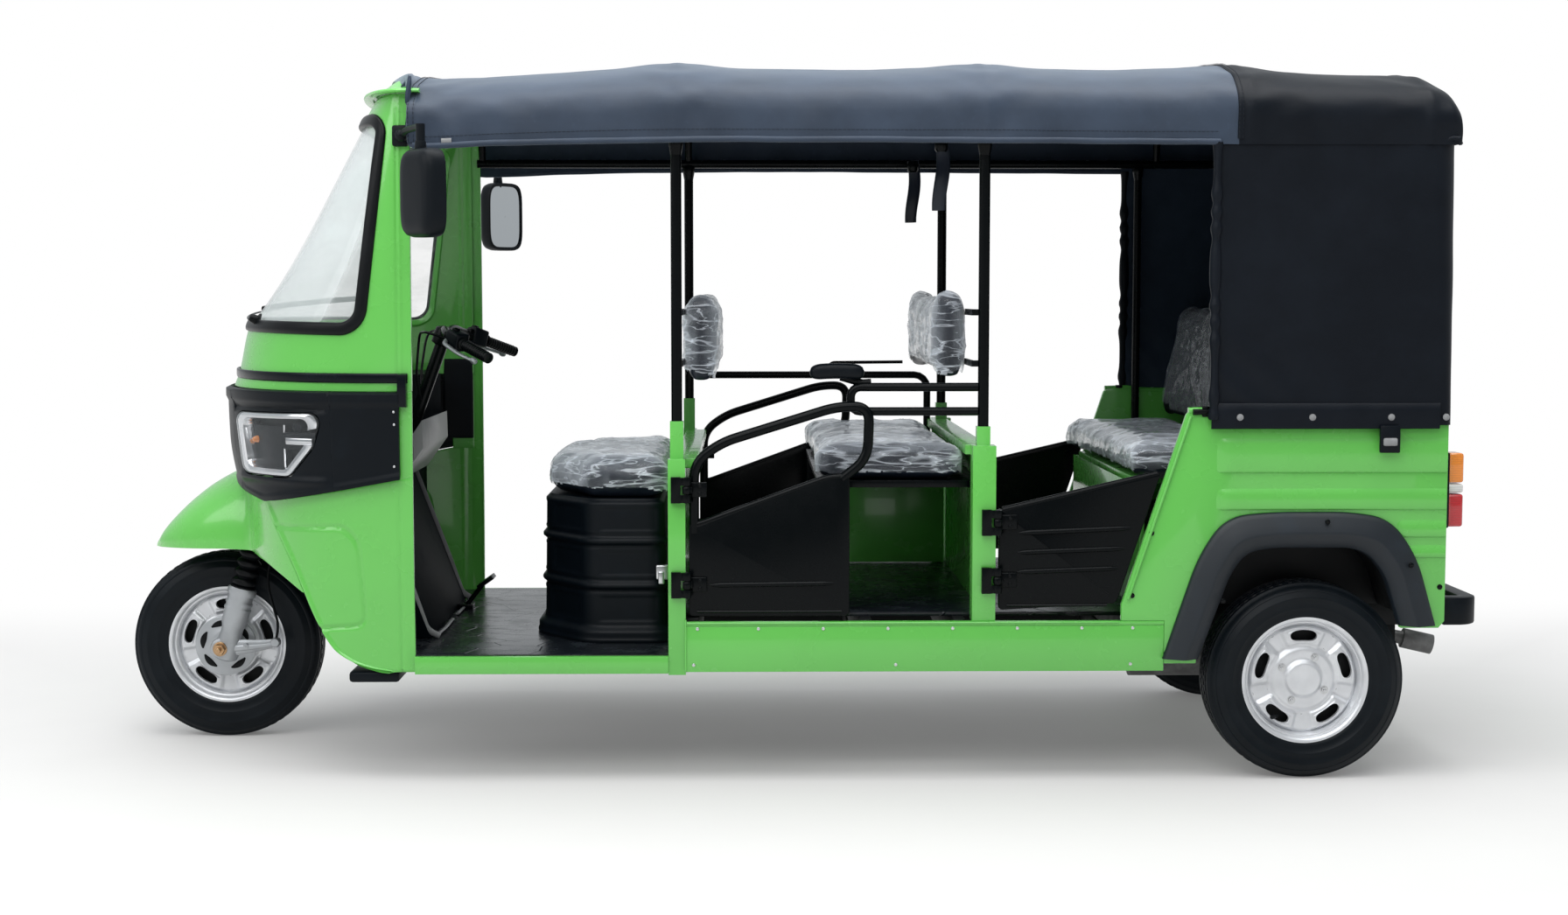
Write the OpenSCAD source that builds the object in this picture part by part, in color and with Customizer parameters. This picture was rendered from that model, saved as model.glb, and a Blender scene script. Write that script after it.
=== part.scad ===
// Passenger tricycle: one front wheel, two rear wheels, a half-round cab,
// two passenger benches and a fabric canopy on a tube frame.
// Millimetres. +X points rearward, +Y to the driver's right, +Z up.
// The origin is on the ground, on the centreline, at half the overall length.

/* [Lengths] */
// Front axle ahead of the rear edge of the cab
front_reach = 618; // [590:1:650]
// Driver's doorway, from the rear edge of the cab to the front posts
doorway_len = 668; // [600:1:760]
// Middle bay, from the front posts to the rear posts
middle_bay_len = 781; // [740:1:900]
// Rear bay, from the rear posts to the rear axle
rear_bay_len = 833; // [800:1:900]
// Rear axle to the outer face of the tail panel
rear_overhang = 348; // [335:1:420]
// How far the bumper stands behind the tail panel
bumper_reach = 100; // [80:1:140]

/* [Heights] */
// Underside of the sills above the ground
sill_z = 282; // [270:1:310]
// Driver's floor above the underside of the sills
floor_rise = 46; // [44:1:60]
// Step from the driver's floor up to the passenger floor
floor_step = 100; // [90:1:120]
// Seat pans above the passenger floor
seat_rise = 340; // [320:1:370]
// Top edge of the rear body side above the seat pans
body_rise = 177; // [150:1:200]
// Top of the lamp fascia above the driver's floor
fascia_rise = 672; // [650:1:700]
// Top of the canopy at its bows, above the ground
roof_z = 1868; // [1800:1:1960]
// Height of the canopy from its hem to its top
canopy_drop = 250; // [230:1:280]
// Top of the cab wall below the top of the canopy
cab_drop = 120; // [110:1:140]

/* [Widths] */
// Half the width over the body sides
body_half = 640; // [600:1:680]
// How far the cab wall stands inside the body sides
cab_inset = 18; // [10:1:30]
// How far the canopy hangs outside the body sides
canopy_out = 22; // [16:1:40]
// How far the centres of the post tubes stand inside the body sides
post_inset = 48; // [44:1:56]
// How far the middles of the rear tyres stand inside the body sides
track_inset = 80; // [74:1:95]

/* [Wheels] */
// Radius of the front tyre
front_tyre_r = 262; // [250:1:270]
// Width of the front tyre
front_tyre_w = 112; // [95:1:125]
// Radius of the rear tyres
rear_tyre_r = 255; // [245:1:265]
// Width of the rear tyres
rear_tyre_w = 140; // [120:1:150]
// Radius of the rim flange
rim_r = 172; // [168:1:180]
// Number of slots in the wheel disc
rim_slots = 5; // [4:1:8]

/* [Steering] */
// Lean of the fork from the vertical, in degrees
fork_lean = 15; // [10:1:20]
// Lean of the handlebar column, in degrees
column_lean = 20; // [15:1:25]
// Half the distance between the fork legs
fork_half = 92; // [86:1:105]
// Distance from the centreline to a grip's end
grip_end = 320; // [290:1:350]

/* [Sheet and tube] */
// Thickness of the body panels
panel_t = 22; // [16:1:28]
// Thickness of the cab walls
cab_wall = 16; // [10:1:20]
// Radius of the post tubes
post_r = 14; // [11:0.5:16]
// Radius of the door hoops
hoop_r = 13; // [10:0.5:14]
// Radius of the guard rails
rail_r = 11; // [8:0.5:12]
// Thickness of the canopy cloth with its lining
cloth_t = 6; // [4:0.5:10]
// Thickness of the doors
door_t = 24; // [18:1:28]

/* [Doors] */
// Gap between a door and the body round it
door_gap = 9; // [8:1:14]
// Radius of the hinge pins
hinge_pin_r = 6; // [5:0.5:8]
// Running clearance of a pin in its bore
run_gap = 0.05; // [0.02:0.01:0.08]
// Gap between pieces that are seated on each other
seat_gap = 0.3; // [0.2:0.1:0.5]

/* [Hidden] */
$fn = 48;

// Colours
green = "#5cc455";
black = "#1b1e24";
plastic = "#23272e";
cloth = "#2a2e38";
silver = "#c3c8cc";
grey = "#8d9296";
glass = "#cfe3e6";
vinyl = "#30343c";

// Stations along the vehicle, on the shared origin
overall_len = front_tyre_r + front_reach + doorway_len + middle_bay_len
    + rear_bay_len + rear_overhang + bumper_reach;
cab_rear_x = front_tyre_r + front_reach - overall_len / 2;
front_axle_x = cab_rear_x - front_reach;
b_post_x = cab_rear_x + doorway_len;
c_post_x = b_post_x + middle_bay_len;
rear_axle_x = c_post_x + rear_bay_len;
tail_x = rear_axle_x + rear_overhang;
bumper_x = tail_x + bumper_reach;

// Heights above the ground
driver_floor_z = sill_z + floor_rise;
passenger_floor_z = driver_floor_z + floor_step;
seat_pan_z = passenger_floor_z + seat_rise;
body_top_z = seat_pan_z + body_rise;
fascia_top = driver_floor_z + fascia_rise;
belt_z = fascia_top + 40;
hem_z = roof_z - canopy_drop;
cowl_top = roof_z - cab_drop;

// Half widths
cab_half = body_half - cab_inset;
canopy_half = body_half + canopy_out;
post_half = body_half - post_inset;
track_half = body_half - track_inset;

// Generic shapes

module both_sides() {
    children();
    mirror([0, 1, 0]) children();
}

// A side-view outline (X, Z) made a plate from y0 to y1
module side_plate(y0, y1) {
    translate([0, y1, 0]) rotate([90, 0, 0]) linear_extrude(y1 - y0) children();
}

// A plan outline (X, Y) made a plate from z0 to z1
module flat_plate(z0, z1) {
    translate([0, 0, z0]) linear_extrude(z1 - z0) children();
}

module block(lo, hi) {
    translate(lo) cube(hi - lo);
}

module rod(p, q, r) {
    d = q - p;
    translate(p) rotate([0, acos(d.z / norm(d)), atan2(d.y, d.x)]) cylinder(h = norm(d), r = r);
}

function unit(v) = v / norm(v);
function turn(a, b) = atan2(a.x * b.y - a.y * b.x, a * b);

// A flat path with its inner corners rounded to one radius
function rounded(path, bend, steps = 5) = [
    for (i = [0 : len(path) - 1])
        if (i == 0 || i == len(path) - 1) path[i]
        else let (
            d = unit(path[i] - path[i - 1]),
            e = unit(path[i + 1] - path[i]),
            angle = turn(d, e),
            from = path[i] - d * bend * tan(abs(angle) / 2),
            centre = from + sign(angle) * bend * [-d.y, d.x],
            start = atan2(from.y - centre.y, from.x - centre.x)
        ) each [for (k = [0 : steps]) centre + bend * [cos(start + angle * k / steps),
            sin(start + angle * k / steps)]]
];

// A round bar along a flat path
module bent_bar(path, bend, r, sides = 10, steps = 4) {
    line = rounded(path, bend, steps);
    last = len(line) - 1;
    way = [for (i = [0 : last]) unit(line[min(i + 1, last)] - line[max(i - 1, 0)])];
    points = [for (i = [0 : last]) for (k = [0 : sides - 1]) let (a = 360 * k / sides)
        [line[i].x - way[i].y * r * cos(a), line[i].y + way[i].x * r * cos(a), r * sin(a)]];
    skin = [for (i = [0 : last - 1]) for (k = [0 : sides - 1]) let (n = (k + 1) % sides)
        each [[i * sides + k, (i + 1) * sides + k, (i + 1) * sides + n],
            [i * sides + k, (i + 1) * sides + n, i * sides + n]]];
    caps = [[for (k = [0 : sides - 1]) k], [for (k = [0 : sides - 1]) last * sides + sides - 1 - k]];
    polyhedron(points, concat(skin, caps));
}

// The same bar in a side view (X, Z) at one distance from the centreline
module side_bar(path, bend, r, y) {
    translate([0, y, 0]) rotate([90, 0, 0]) bent_bar(path, bend, r);
}

// A closed sheet between two grids of points. Rows run along the sheet,
// columns run towards +Y, and the first grid is the outer face.
module sheet(outer, inner) {
    rows = len(outer);
    cols = len(outer[0]);
    points = [for (grid = [outer, inner]) for (row = grid) for (p = row) p];
    function at(g, i, k) = g * rows * cols + i * cols + k;
    skin = [for (i = [0 : rows - 2]) for (k = [0 : cols - 2])
        let (a = at(0, i, k), b = at(0, i, k + 1), c = at(0, i + 1, k + 1), d = at(0, i + 1, k))
        each [[a, b, c], [a, c, d]]];
    lining = [for (i = [0 : rows - 2]) for (k = [0 : cols - 2])
        let (a = at(1, i, k), b = at(1, i, k + 1), c = at(1, i + 1, k + 1), d = at(1, i + 1, k))
        each [[a, c, b], [a, d, c]]];
    ends = [for (k = [0 : cols - 2]) each [
        [at(0, 0, k + 1), at(0, 0, k), at(1, 0, k)],
        [at(0, 0, k + 1), at(1, 0, k), at(1, 0, k + 1)],
        [at(0, rows - 1, k), at(0, rows - 1, k + 1), at(1, rows - 1, k + 1)],
        [at(0, rows - 1, k), at(1, rows - 1, k + 1), at(1, rows - 1, k)]]];
    edges = [for (i = [0 : rows - 2]) each [
        [at(0, i, 0), at(0, i + 1, 0), at(1, i + 1, 0)],
        [at(0, i, 0), at(1, i + 1, 0), at(1, i, 0)],
        [at(0, i + 1, cols - 1), at(0, i, cols - 1), at(1, i, cols - 1)],
        [at(0, i + 1, cols - 1), at(1, i, cols - 1), at(1, i + 1, cols - 1)]]];
    polyhedron(points, concat(skin, lining, ends, edges));
}

// A box from lo to hi with its edges and corners cut back by r
module soft_box(lo, hi, r) {
    hull() for (cut = [[0, r, r], [r, 0, r], [r, r, 0]]) block(lo + cut, hi - cut);
}

// Chassis

rail_y = body_half - 310;
rail_w = 50;
rail_h = 60;
rail_top = driver_floor_z - 10;
rail_front_x = cab_rear_x - 90;
kick_x = rear_axle_x - 360;
kick_len = 160;
// room over the rear axle for the leaf springs
spring_room = 103;
kick_rise = 100;
kick_z = max(kick_rise, rear_tyre_r + spring_room - rail_top + rail_h);
bumper_t = 44;
rail_rear_x = bumper_x - bumper_t - seat_gap;

module chassis_rails() {
    path = [
        [rail_front_x, rail_top - rail_h], [kick_x, rail_top - rail_h],
        [kick_x + kick_len, rail_top - rail_h + kick_z], [rail_rear_x, rail_top - rail_h + kick_z],
        [rail_rear_x, rail_top + kick_z], [kick_x + kick_len, rail_top + kick_z],
        [kick_x, rail_top], [rail_front_x, rail_top]
    ];
    color(black) both_sides() side_plate(rail_y - rail_w / 2, rail_y + rail_w / 2) polygon(path);
}

// Cross members: place along X, height of the top, depth
cross_table = [
    [rail_front_x + 30, rail_top, 40],
    [b_post_x - 20, rail_top, 40],
    [c_post_x - 300, rail_top, 40],
    [c_post_x, rail_top, 40],
    [kick_x - 60, rail_top, 40],
    [tail_x - 120, rail_top + kick_z, 50]
];
member_w = 40;

module cross_members() {
    reach = rail_y - rail_w / 2 - seat_gap;
    color(black) {
        for (row = cross_table)
            block([row[0] - member_w / 2, -reach, row[1] - row[2]], [row[0] + member_w / 2, reach, row[1]]);
        // outriggers and floor bearers under the passenger floor
        for (x = [b_post_x + 40, c_post_x - 300, c_post_x - 60, kick_x - 60])
            block([x - 15, -body_half + panel_t + seat_gap, rail_top + seat_gap],
                [x + 15, body_half - panel_t - seat_gap, passenger_floor_z - floor_t - seat_gap]);
    }
}

// Fork axis and head

fork_dir = [sin(fork_lean), 0, cos(fork_lean)];
fork_trail = 31;
fork_foot = [front_axle_x + fork_trail, 0, front_tyre_r];
function on_fork(d) = fork_foot + fork_dir * d;
steerer_r = 19;
head_low = 470;
head_high = 640;

column_dir = [sin(column_lean), 0, cos(column_lean)];
column_foot = [cab_rear_x - 75, 0, fascia_top - 70];
function on_column(d) = column_foot + column_dir * d;
column_r = 20;
jacket_low = -170;
jacket_high = -80;

// Tube from the fork's head down to the chassis rail
down_foot = [rail_front_x + 8, rail_y, rail_top + 24];

module down_tube(r) {
    rod(on_fork(head_high - 60) + [10, 8, 0], down_foot, r);
}

// Brace from the column jacket to the top of the fork's head
module head_brace(r) {
    rod(on_column(jacket_low + 40) + [0, 10, 0], on_fork(head_high - 30) + [12, 12, 0], r);
}

module steering_head() {
    color(black) {
        difference() {
            union() {
                rod(on_fork(head_low), on_fork(head_high), steerer_r + 9);
                both_sides() down_tube(18);
                both_sides() head_brace(12);
                rod(on_column(jacket_low), on_column(jacket_high), column_r + 7);
                both_sides() block([down_foot.x - 24, rail_y - 19, rail_top + seat_gap],
                    [down_foot.x + 24, rail_y + 19, rail_top + 30]);
            }
            rod(on_fork(head_low - 50), on_fork(head_high + 50), steerer_r + run_gap);
            rod(on_column(jacket_low - 50), on_column(jacket_high + 50), column_r + run_gap);
        }
    }
}

// Floors, sills and posts

floor_t = 10;
doorway_x = cab_rear_x - 12;
b_post_w = 44;
b_step_z = seat_pan_z + 60;
b_green_z = b_step_z + 96;
c_post_w = 59;
c_box_z = seat_pan_z + 94;
c_green_z = c_box_z + 48;
sill_top = passenger_floor_z - 14;
front_sill_top = driver_floor_z - 2;
post_in = body_half - 65;
quarter_foot_x = rear_axle_x - 372;
quarter_top_x = rear_axle_x - 318;

module floor_plates() {
    front_x = rail_front_x - 60;
    color(plastic) {
        difference() {
            flat_plate(driver_floor_z - floor_t, driver_floor_z) {
                intersection() {
                    polygon([for (k = [0 : cab_steps]) let (q = cab_point(driver_floor_z, 180 *
                        k / cab_steps - 90, -cab_wall - 2)) [q.x, q.y]]);
                    translate([front_x, -900]) square([600, 1800]);
                }
                translate([cab_rear_x - 20, -cab_half + 50])
                    square([40, 2 * (cab_half - 50)]);
                translate([cab_rear_x + seat_gap, -body_half + panel_t + 2])
                    square([b_post_x - b_post_w / 2 - 4 - cab_rear_x, 2 * (body_half - panel_t - 2)]);
            }
            // the wheel housing takes the middle of the front edge
            block([front_x - 5, -shield_half - 8 - seat_gap, driver_floor_z - 40],
                [shield_low.x - 30, shield_half + 8 + seat_gap, driver_floor_z + 5]);
            // clearance for the drive unit under the seat
            block([unit_lo.x - 12, unit_lo.y - 12, driver_floor_z - 40],
                [unit_hi.x + 12, unit_hi.y + 12, driver_floor_z + 5]);
        }
        block([b_post_x + 18, -post_in + 8, passenger_floor_z - floor_t],
            [bench_front_x + 20, post_in - 8, passenger_floor_z]);
    }
}

module side_sills() {
    color(green) both_sides() {
        block([cab_rear_x + 2, -body_half, sill_z],
            [b_post_x - b_post_w / 2 - seat_gap, -body_half + panel_t, front_sill_top]);
        difference() {
            block([b_post_x + b_post_w / 2 + seat_gap, -body_half, sill_z + 4],
                [quarter_foot_x - seat_gap, -body_half + panel_t, sill_top]);
            // pressed line along the sill
            block([b_post_x, -body_half - 1, sill_top - 12],
                [quarter_foot_x + 1, -body_half + 1.2, sill_top - 9]);
        }
    }
}

module posts() {
    color(green) both_sides() {
        // front post: box, shoulder and stub
        difference() {
            union() {
                block([b_post_x - b_post_w / 2, -body_half + 4, sill_z - 4],
                    [b_post_x + b_post_w / 2, -post_in, b_step_z]);
                block([b_post_x - 17, -post_half - 17, b_step_z],
                    [b_post_x + 17, -post_half + 17, b_green_z]);
            }
            translate([b_post_x, -post_half, b_green_z - 40]) cylinder(h = 50, r = post_r + run_gap);
        }
        // rear post: box and stub
        difference() {
            union() {
                block([c_post_x - c_post_w / 2, -body_half + 4, sill_top + seat_gap],
                    [c_post_x + c_post_w / 2, -post_in, c_box_z]);
                block([c_post_x - 17, -post_half - 17, c_box_z],
                    [c_post_x + 17, -post_half + 17, c_green_z]);
            }
            translate([c_post_x, -post_half, c_green_z - 40]) cylinder(h = 50, r = post_r + run_gap);
        }
    }
}

partition_t = 14;
side_panel_y = body_half - 190;

module partitions() {
    ledge = 46;
    reach = post_in - seat_gap;
    color(green) {
        // walls between the posts, each with a rolled top ledge facing the bench
        for (row = [[b_post_x - 8, b_step_z, 1], [c_post_x + 2, c_box_z, -1]]) {
            x0 = row[0];
            low = row[2] > 0 ? driver_floor_z + seat_gap : passenger_floor_z + seat_gap;
            block([x0, -reach, low], [x0 + partition_t, reach, row[1]]);
            block([row[2] > 0 ? x0 + partition_t - 1 : x0 - ledge, -reach, row[1] - 26],
                [row[2] > 0 ? x0 + partition_t + ledge : x0 + 1, reach, row[1]]);
        }
        // side panel under the middle bench, on the right only
        block([bench_leg_x + 60, side_panel_y, passenger_floor_z + seat_gap],
            [c_post_x - 2 - seat_gap, side_panel_y + 10, seat_pan_z - pan_t - seat_gap]);
    }
}

// Canopy

hoop_x = rear_axle_x - 172;
last_bow_x = tail_x - 65;
bow_x = [cab_rear_x + 35, b_post_x, c_post_x, hoop_x, last_bow_x];
roof_rail_z = hem_z + 26;
roof_rail_r = 13;
bow_r = 11;
stay_r = 12;
stay_x = [quarter_top_x + 90, tail_x - 60];

module canopy_frame() {
    tops = [for (row = canopy_table) [row[0], row[1]]];
    color(black) {
        both_sides() {
            for (p = [[b_post_x, b_green_z], [c_post_x, c_green_z]])
                translate([p[0], -post_half, p[1] - 40 + seat_gap])
                    cylinder(h = roof_rail_z - roof_rail_r - p[1] + 40 - 2 * seat_gap, r = post_r);
            rod([cab_rear_x + 20, -post_half, roof_rail_z], [tail_x - 40, -post_half, roof_rail_z],
                roof_rail_r);
            // rear stays from the body side to the roof rail
            for (x = stay_x) {
                rod([x, -post_half, body_top_z - 160],
                    [x, -post_half, roof_rail_z - roof_rail_r - seat_gap], stay_r);
                block([x - 10, -body_half + panel_t + seat_gap, body_top_z - 150],
                    [x + 10, -post_half, body_top_z - 120]);
            }
        }
        for (x = bow_x) {
            top = lookup(x, tops) - cloth_t - bow_r - 14;
            translate([x, 0, 0]) rotate([90, 0, 90])
                bent_bar([[-post_half, roof_rail_z + roof_rail_r + 0.8], [-post_half + 24, top - 60],
                    [-post_half + 150, top], [post_half - 150, top],
                    [post_half - 24, top - 60], [post_half, roof_rail_z + roof_rail_r + 0.8]],
                        60, bow_r, 8, 3);
        }
    }
}

// A station part of the way from one X to another
function between(from, to, share) = from + (to - from) * share;

// Canopy stations: X, top height, hem height, half width, how far the edge is drawn back at the sides
canopy_table = [
    [cab_rear_x - 140, roof_z - 38, roof_z - 96, cab_half - 16, 172],
    [cab_rear_x - 105, roof_z - 30, roof_z - 100, cab_half - 6, 136],
    [cab_rear_x - 35, roof_z - 30, roof_z - 130, cab_half + 12, 64],
    [cab_rear_x + 20, roof_z - 34, hem_z - 6, canopy_half - 10, 12],
    [cab_rear_x + 35, roof_z - 33, hem_z - 10, canopy_half - 6, 0],
    [between(cab_rear_x, b_post_x, 0.367), roof_z - 26, hem_z - 2, canopy_half, 0],
    [between(cab_rear_x, b_post_x, 0.726), roof_z - 12, hem_z + 4, canopy_half, 0],
    [b_post_x, roof_z, hem_z + 6, canopy_half, 0],
    [between(b_post_x, c_post_x, 0.2), roof_z - 10, hem_z + 8, canopy_half, 0],
    [between(b_post_x, c_post_x, 0.5), roof_z - 14, hem_z + 8, canopy_half, 0],
    [between(b_post_x, c_post_x, 0.79), roof_z - 9, hem_z + 7, canopy_half, 0],
    [c_post_x, roof_z, hem_z + 6, canopy_half, 0],
    [between(c_post_x, hoop_x, 0.27), roof_z - 10, hem_z + 5, canopy_half, 0],
    [between(c_post_x, hoop_x, 0.51), roof_z - 13, hem_z + 4, canopy_half, 0],
    [between(c_post_x, hoop_x, 0.78), roof_z - 8, hem_z + 3, canopy_half, 0],
    [hoop_x, roof_z, hem_z + 2, canopy_half, 0],
    [between(hoop_x, last_bow_x, 0.32), roof_z - 10, hem_z + 2, canopy_half, 0],
    [between(hoop_x, last_bow_x, 0.69), roof_z - 18, hem_z + 2, canopy_half, 0],
    [last_bow_x, roof_z - 26, hem_z + 2, canopy_half - 1, 0],
    [tail_x + 5, roof_z - 46, hem_z + 2, canopy_half - 1, 0],
    [tail_x + 51, roof_z - 92, hem_z + 2, canopy_half - 12, -10],
    [tail_x + 71, roof_z - 150, hem_z + 2, canopy_half - 24, -16],
    [tail_x + 79, roof_z - 200, hem_z + 2, canopy_half - 34, -22],
    [tail_x + 79, hem_z + 14, hem_z + 2, canopy_half - 38, -24]
];
canopy_cols = 20;

// One point of a canopy section: a straight skirt, then a squarish arch
function canopy_point(row, k, inset) =
    let (
        s = 2 * k / canopy_cols - 1,
        a = abs(s),
        w = row[3] - inset,
        shoulder = row[2] + 70 * min(1, (row[1] - row[2]) / 240),
        angle = 90 * min(1, (1 - a) / 0.9),
        y = a > 0.9 ? w : w * pow(cos(angle), 0.5),
        z = a > 0.9 ? row[2] + (shoulder - row[2]) * (1 - a) / 0.1
            : shoulder + (row[1] - inset - shoulder) * pow(sin(angle), 0.5)
    )
    [row[0] - (row[0] > tail_x ? inset : 0) + row[4] * pow(y / row[3], 2), sign(s) * y, z];

module canopy_roof() {
    outer = [for (row = canopy_table) [for (k = [0 : canopy_cols]) canopy_point(row, k, 0)]];
    inner = [for (row = canopy_table) [for (k = [0 : canopy_cols]) canopy_point(row, k, cloth_t)]];
    color(cloth) sheet(outer, inner);
}

curtain_front_x = hoop_x - 87;
curtain_low = body_top_z - 30;
curtain_corner = 70;
curtain_foot_corner = 24;
curtain_steps = 6;

// Plan of the curtains from the left front edge round the back to the right, at one height
function curtain_line(z, inset) =
    let (
        rise = (z - curtain_low) / (hem_z - curtain_low),
        y = canopy_half - cloth_t - seat_gap - 2 - inset,
        back = tail_x + 12 + 36 * rise - inset,
        r = curtain_foot_corner + (curtain_corner - curtain_foot_corner) * rise - inset,
        corner = [for (k = [0 : curtain_steps]) let (a = 90 * k / curtain_steps) [back - r + r *
            sin(a), y - r + r * cos(a)]]
    )
    concat(
        [[curtain_front_x + 12 * (1 - rise), -y, z]],
        [for (q = corner) [q.x, -q.y, z]],
        [for (k = [curtain_steps : -1 : 0]) [corner[k].x, corner[k].y, z]],
        [[curtain_front_x + 12 * (1 - rise), y, z]]
    );

module canopy_curtains() {
    levels = [hem_z + 34, between(hem_z, curtain_low, 0.31), between(hem_z, curtain_low, 0.65),
        curtain_low];
    color(cloth) sheet([for (z = levels) curtain_line(z, 0)], [for (z = levels) curtain_line(z, cloth_t)]);
}

// Cab

// Front of the cab on the centreline: height, X ahead of the doorway edge
cab_profile = [
    [sill_z - 2, 515], [fascia_top - 310, 528], [fascia_top - 260, 575], [fascia_top - 130, 604],
    [fascia_top - 10, 608], [fascia_top + 35, 602], [fascia_top + 175, 562], [fascia_top + 190, 546],
    [cowl_top - 28, 245], [cowl_top - 3, 205], [cowl_top + 52, 150]
];
// Half width of the cab: height, half width
cab_width = [
    [sill_z - 2, cab_half - 12], [fascia_top - 400, cab_half], [fascia_top + 200, cab_half - 2],
    [cowl_top - 3, cab_half - 20], [cowl_top + 52, cab_half - 30]
];
cab_square = 0.88;
cab_steps = 26;

function power(v, e) = sign(v) * pow(abs(v), e);
function cab_point(z, t, out) = [
    cab_rear_x - (lookup(z, cab_profile) + out) * power(cos(t), cab_square),
    (lookup(z, cab_width) + out) * power(sin(t), cab_square),
    z
];
function cab_grid(levels, out, reach) =
    [for (z = levels) [for (k = [0 : cab_steps]) cab_point(z, reach * (2 * k / cab_steps - 1), out)]];

// A band of the cab wall: heights of its rings, outer and inner offset from the cab's surface
module cab_band(levels, out, in, reach = 90) {
    sheet(cab_grid(levels, out, reach), cab_grid(levels, in, reach));
}

// Side view of the line between the lamp fascia and the apron
fascia_low_rear = fascia_top - 223;
fascia_low_side = fascia_top - 293;
fascia_low_front = fascia_top - 252;
far_front = cab_rear_x - 900;

module below_fascia(drop) {
    polygon([[far_front, sill_z - 60], [cab_rear_x + 20, sill_z - 60],
        [cab_rear_x + 20, fascia_low_rear + 8 - drop],
        [cab_rear_x - 38, fascia_low_rear - drop], [cab_rear_x - 418, fascia_low_side - drop],
            [cab_rear_x - 500, fascia_low_side + 18 - drop],
        [cab_rear_x - 570, fascia_low_front - drop], [far_front, fascia_low_front - drop]]);
}

// Side view of the wheel arch and of the seam between apron and fender
arch_edge = [[40, -80], [60, 2], [108, 10], [165, 26], [212, 55], [255, 118], [322, 259], [418, 425],
    [445, 480]];

module arch_view(grow = 0) {
    polygon(concat([[far_front, sill_z - 80]],
        [for (q = arch_edge) [cab_rear_x - q.x - grow, sill_z + q.y]], [[far_front, sill_z + 480]]));
}

apron_levels = concat([for (share = [0, 0.12, 0.29, 0.53, 0.77]) between(sill_z, fascia_top - 310, share)],
    [fascia_top - 310, fascia_top - 260, fascia_top - 210, fascia_top - 130, fascia_top - 60, fascia_top]);
fascia_levels = [for (drop = [360, 310, 260, 200, 130, 60, 0]) fascia_top - drop];

return_w = 52;

module apron() {
    color(green) difference() {
        cab_band(apron_levels, 0, -cab_wall);
        side_plate(-900, 900) difference() {
            translate([0, -1000]) square([2 * 2000, 4000], center = true);
            union() {
                below_fascia(seat_gap);
                // strip behind the fascia up to the cowl
                translate([cab_rear_x - return_w, fascia_low_rear - 40])
                    square([return_w + 20, fascia_top - fascia_low_rear + 40]);
            }
        }
        side_plate(-900, 900) arch_view();
    }
}

module lamp_fascia() {
    color(plastic) difference() {
        cab_band(fascia_levels, 20, -cab_wall + 4, 86);
        side_plate(-900, 900) below_fascia(0);
        both_sides() lamp_cut(seat_gap);
    }
}

// Windscreen opening in side view, grown or shrunk by a margin
screen_low = fascia_top + 168;
screen_high = cowl_top - 58;

module screen_view(grow) {
    head_r = 40;
    foot_r = 62;
    nose_r = 60;
    hull() {
        translate([far_front, screen_low + nose_r])
            circle(nose_r + grow, $fn = 24);
        translate([cab_rear_x - 185, screen_low - 13 + foot_r])
            circle(foot_r + grow, $fn = 24);
        translate([cab_rear_x - 71 - head_r, screen_high - head_r])
            circle(head_r + grow, $fn = 24);
        translate([far_front, screen_high + 40 - nose_r])
            circle(nose_r + grow, $fn = 24);
    }
}

// Rings of the windscreen, from its foot to the top of the cab
bend_z = fascia_top + 190;
pillar_z = cowl_top - 28;
screen_levels = concat([fascia_top + 175, bend_z],
    [for (share = [0.21, 0.43, 0.66, 0.85]) between(bend_z, pillar_z, share)], [pillar_z]);
cowl_levels = concat([fascia_top + seat_gap, belt_z, belt_z + 70], screen_levels, [cowl_top]);

module cowl() {
    color(green) difference() {
        cab_band(cowl_levels, 0, -cab_wall);
        side_plate(-900, 900) screen_view(0);
    }
}

module windscreen_seal() {
    color(black) difference() {
        intersection() {
            cab_band(concat([belt_z + 80], screen_levels, [cowl_top - 4]), 9, seat_gap);
            side_plate(-900, 900) screen_view(14);
        }
        side_plate(-900, 900) screen_view(-20);
    }
}

module windscreen() {
    color(glass, 0.4) intersection() {
        cab_band(concat([belt_z + 90], screen_levels, [cowl_top - 6]), -4, -10);
        side_plate(-900, 900) screen_view(-seat_gap);
    }
}

// Brim and dome over the windscreen
function cab_plan(z, out) = [for (k = [0 : cab_steps]) let (q = cab_point(z, 180 * k / cab_steps - 90,
    out)) [q.x, q.y]];

module roof_cap() {
    brim_t = 10;
    color(green) {
        flat_plate(cowl_top + seat_gap, cowl_top + brim_t) polygon(cab_plan(cowl_top, 24));
        hull() {
            flat_plate(cowl_top + brim_t - 1, cowl_top + brim_t) polygon(cab_plan(cowl_top, 0));
            flat_plate(cowl_top + 40, cowl_top + 41) polygon(cab_plan(cowl_top, -70));
        }
    }
}

// Fender: X ahead of the axle, half width, lower edge, top
fender_table = [
    [192, 36, 541, 556], [170, 74, 543, 590], [130, 120, 546, 634], [80, 162, 549, 680],
        [20, 196, 552, 724],
    [-50, 222, 552, 760], [-110, 240, 540, 778], [-160, 250, 524, 786], [-210, 258, 505, 786]
];
fender_cols = 14;
nose_levels = [for (drop = [500, 400, 310, 260, 200]) fascia_top - drop];

// the tip keeps to the wheel and the rear edge to the cab
fender_tip = fender_table[0][0];
fender_long = fender_tip - fender_table[len(fender_table) - 1][0];
fender_rear_x = cab_rear_x - 408;

function fender_x(row) =
    between(front_axle_x - fender_tip, fender_rear_x, (fender_tip - row[0]) / fender_long);

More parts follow.
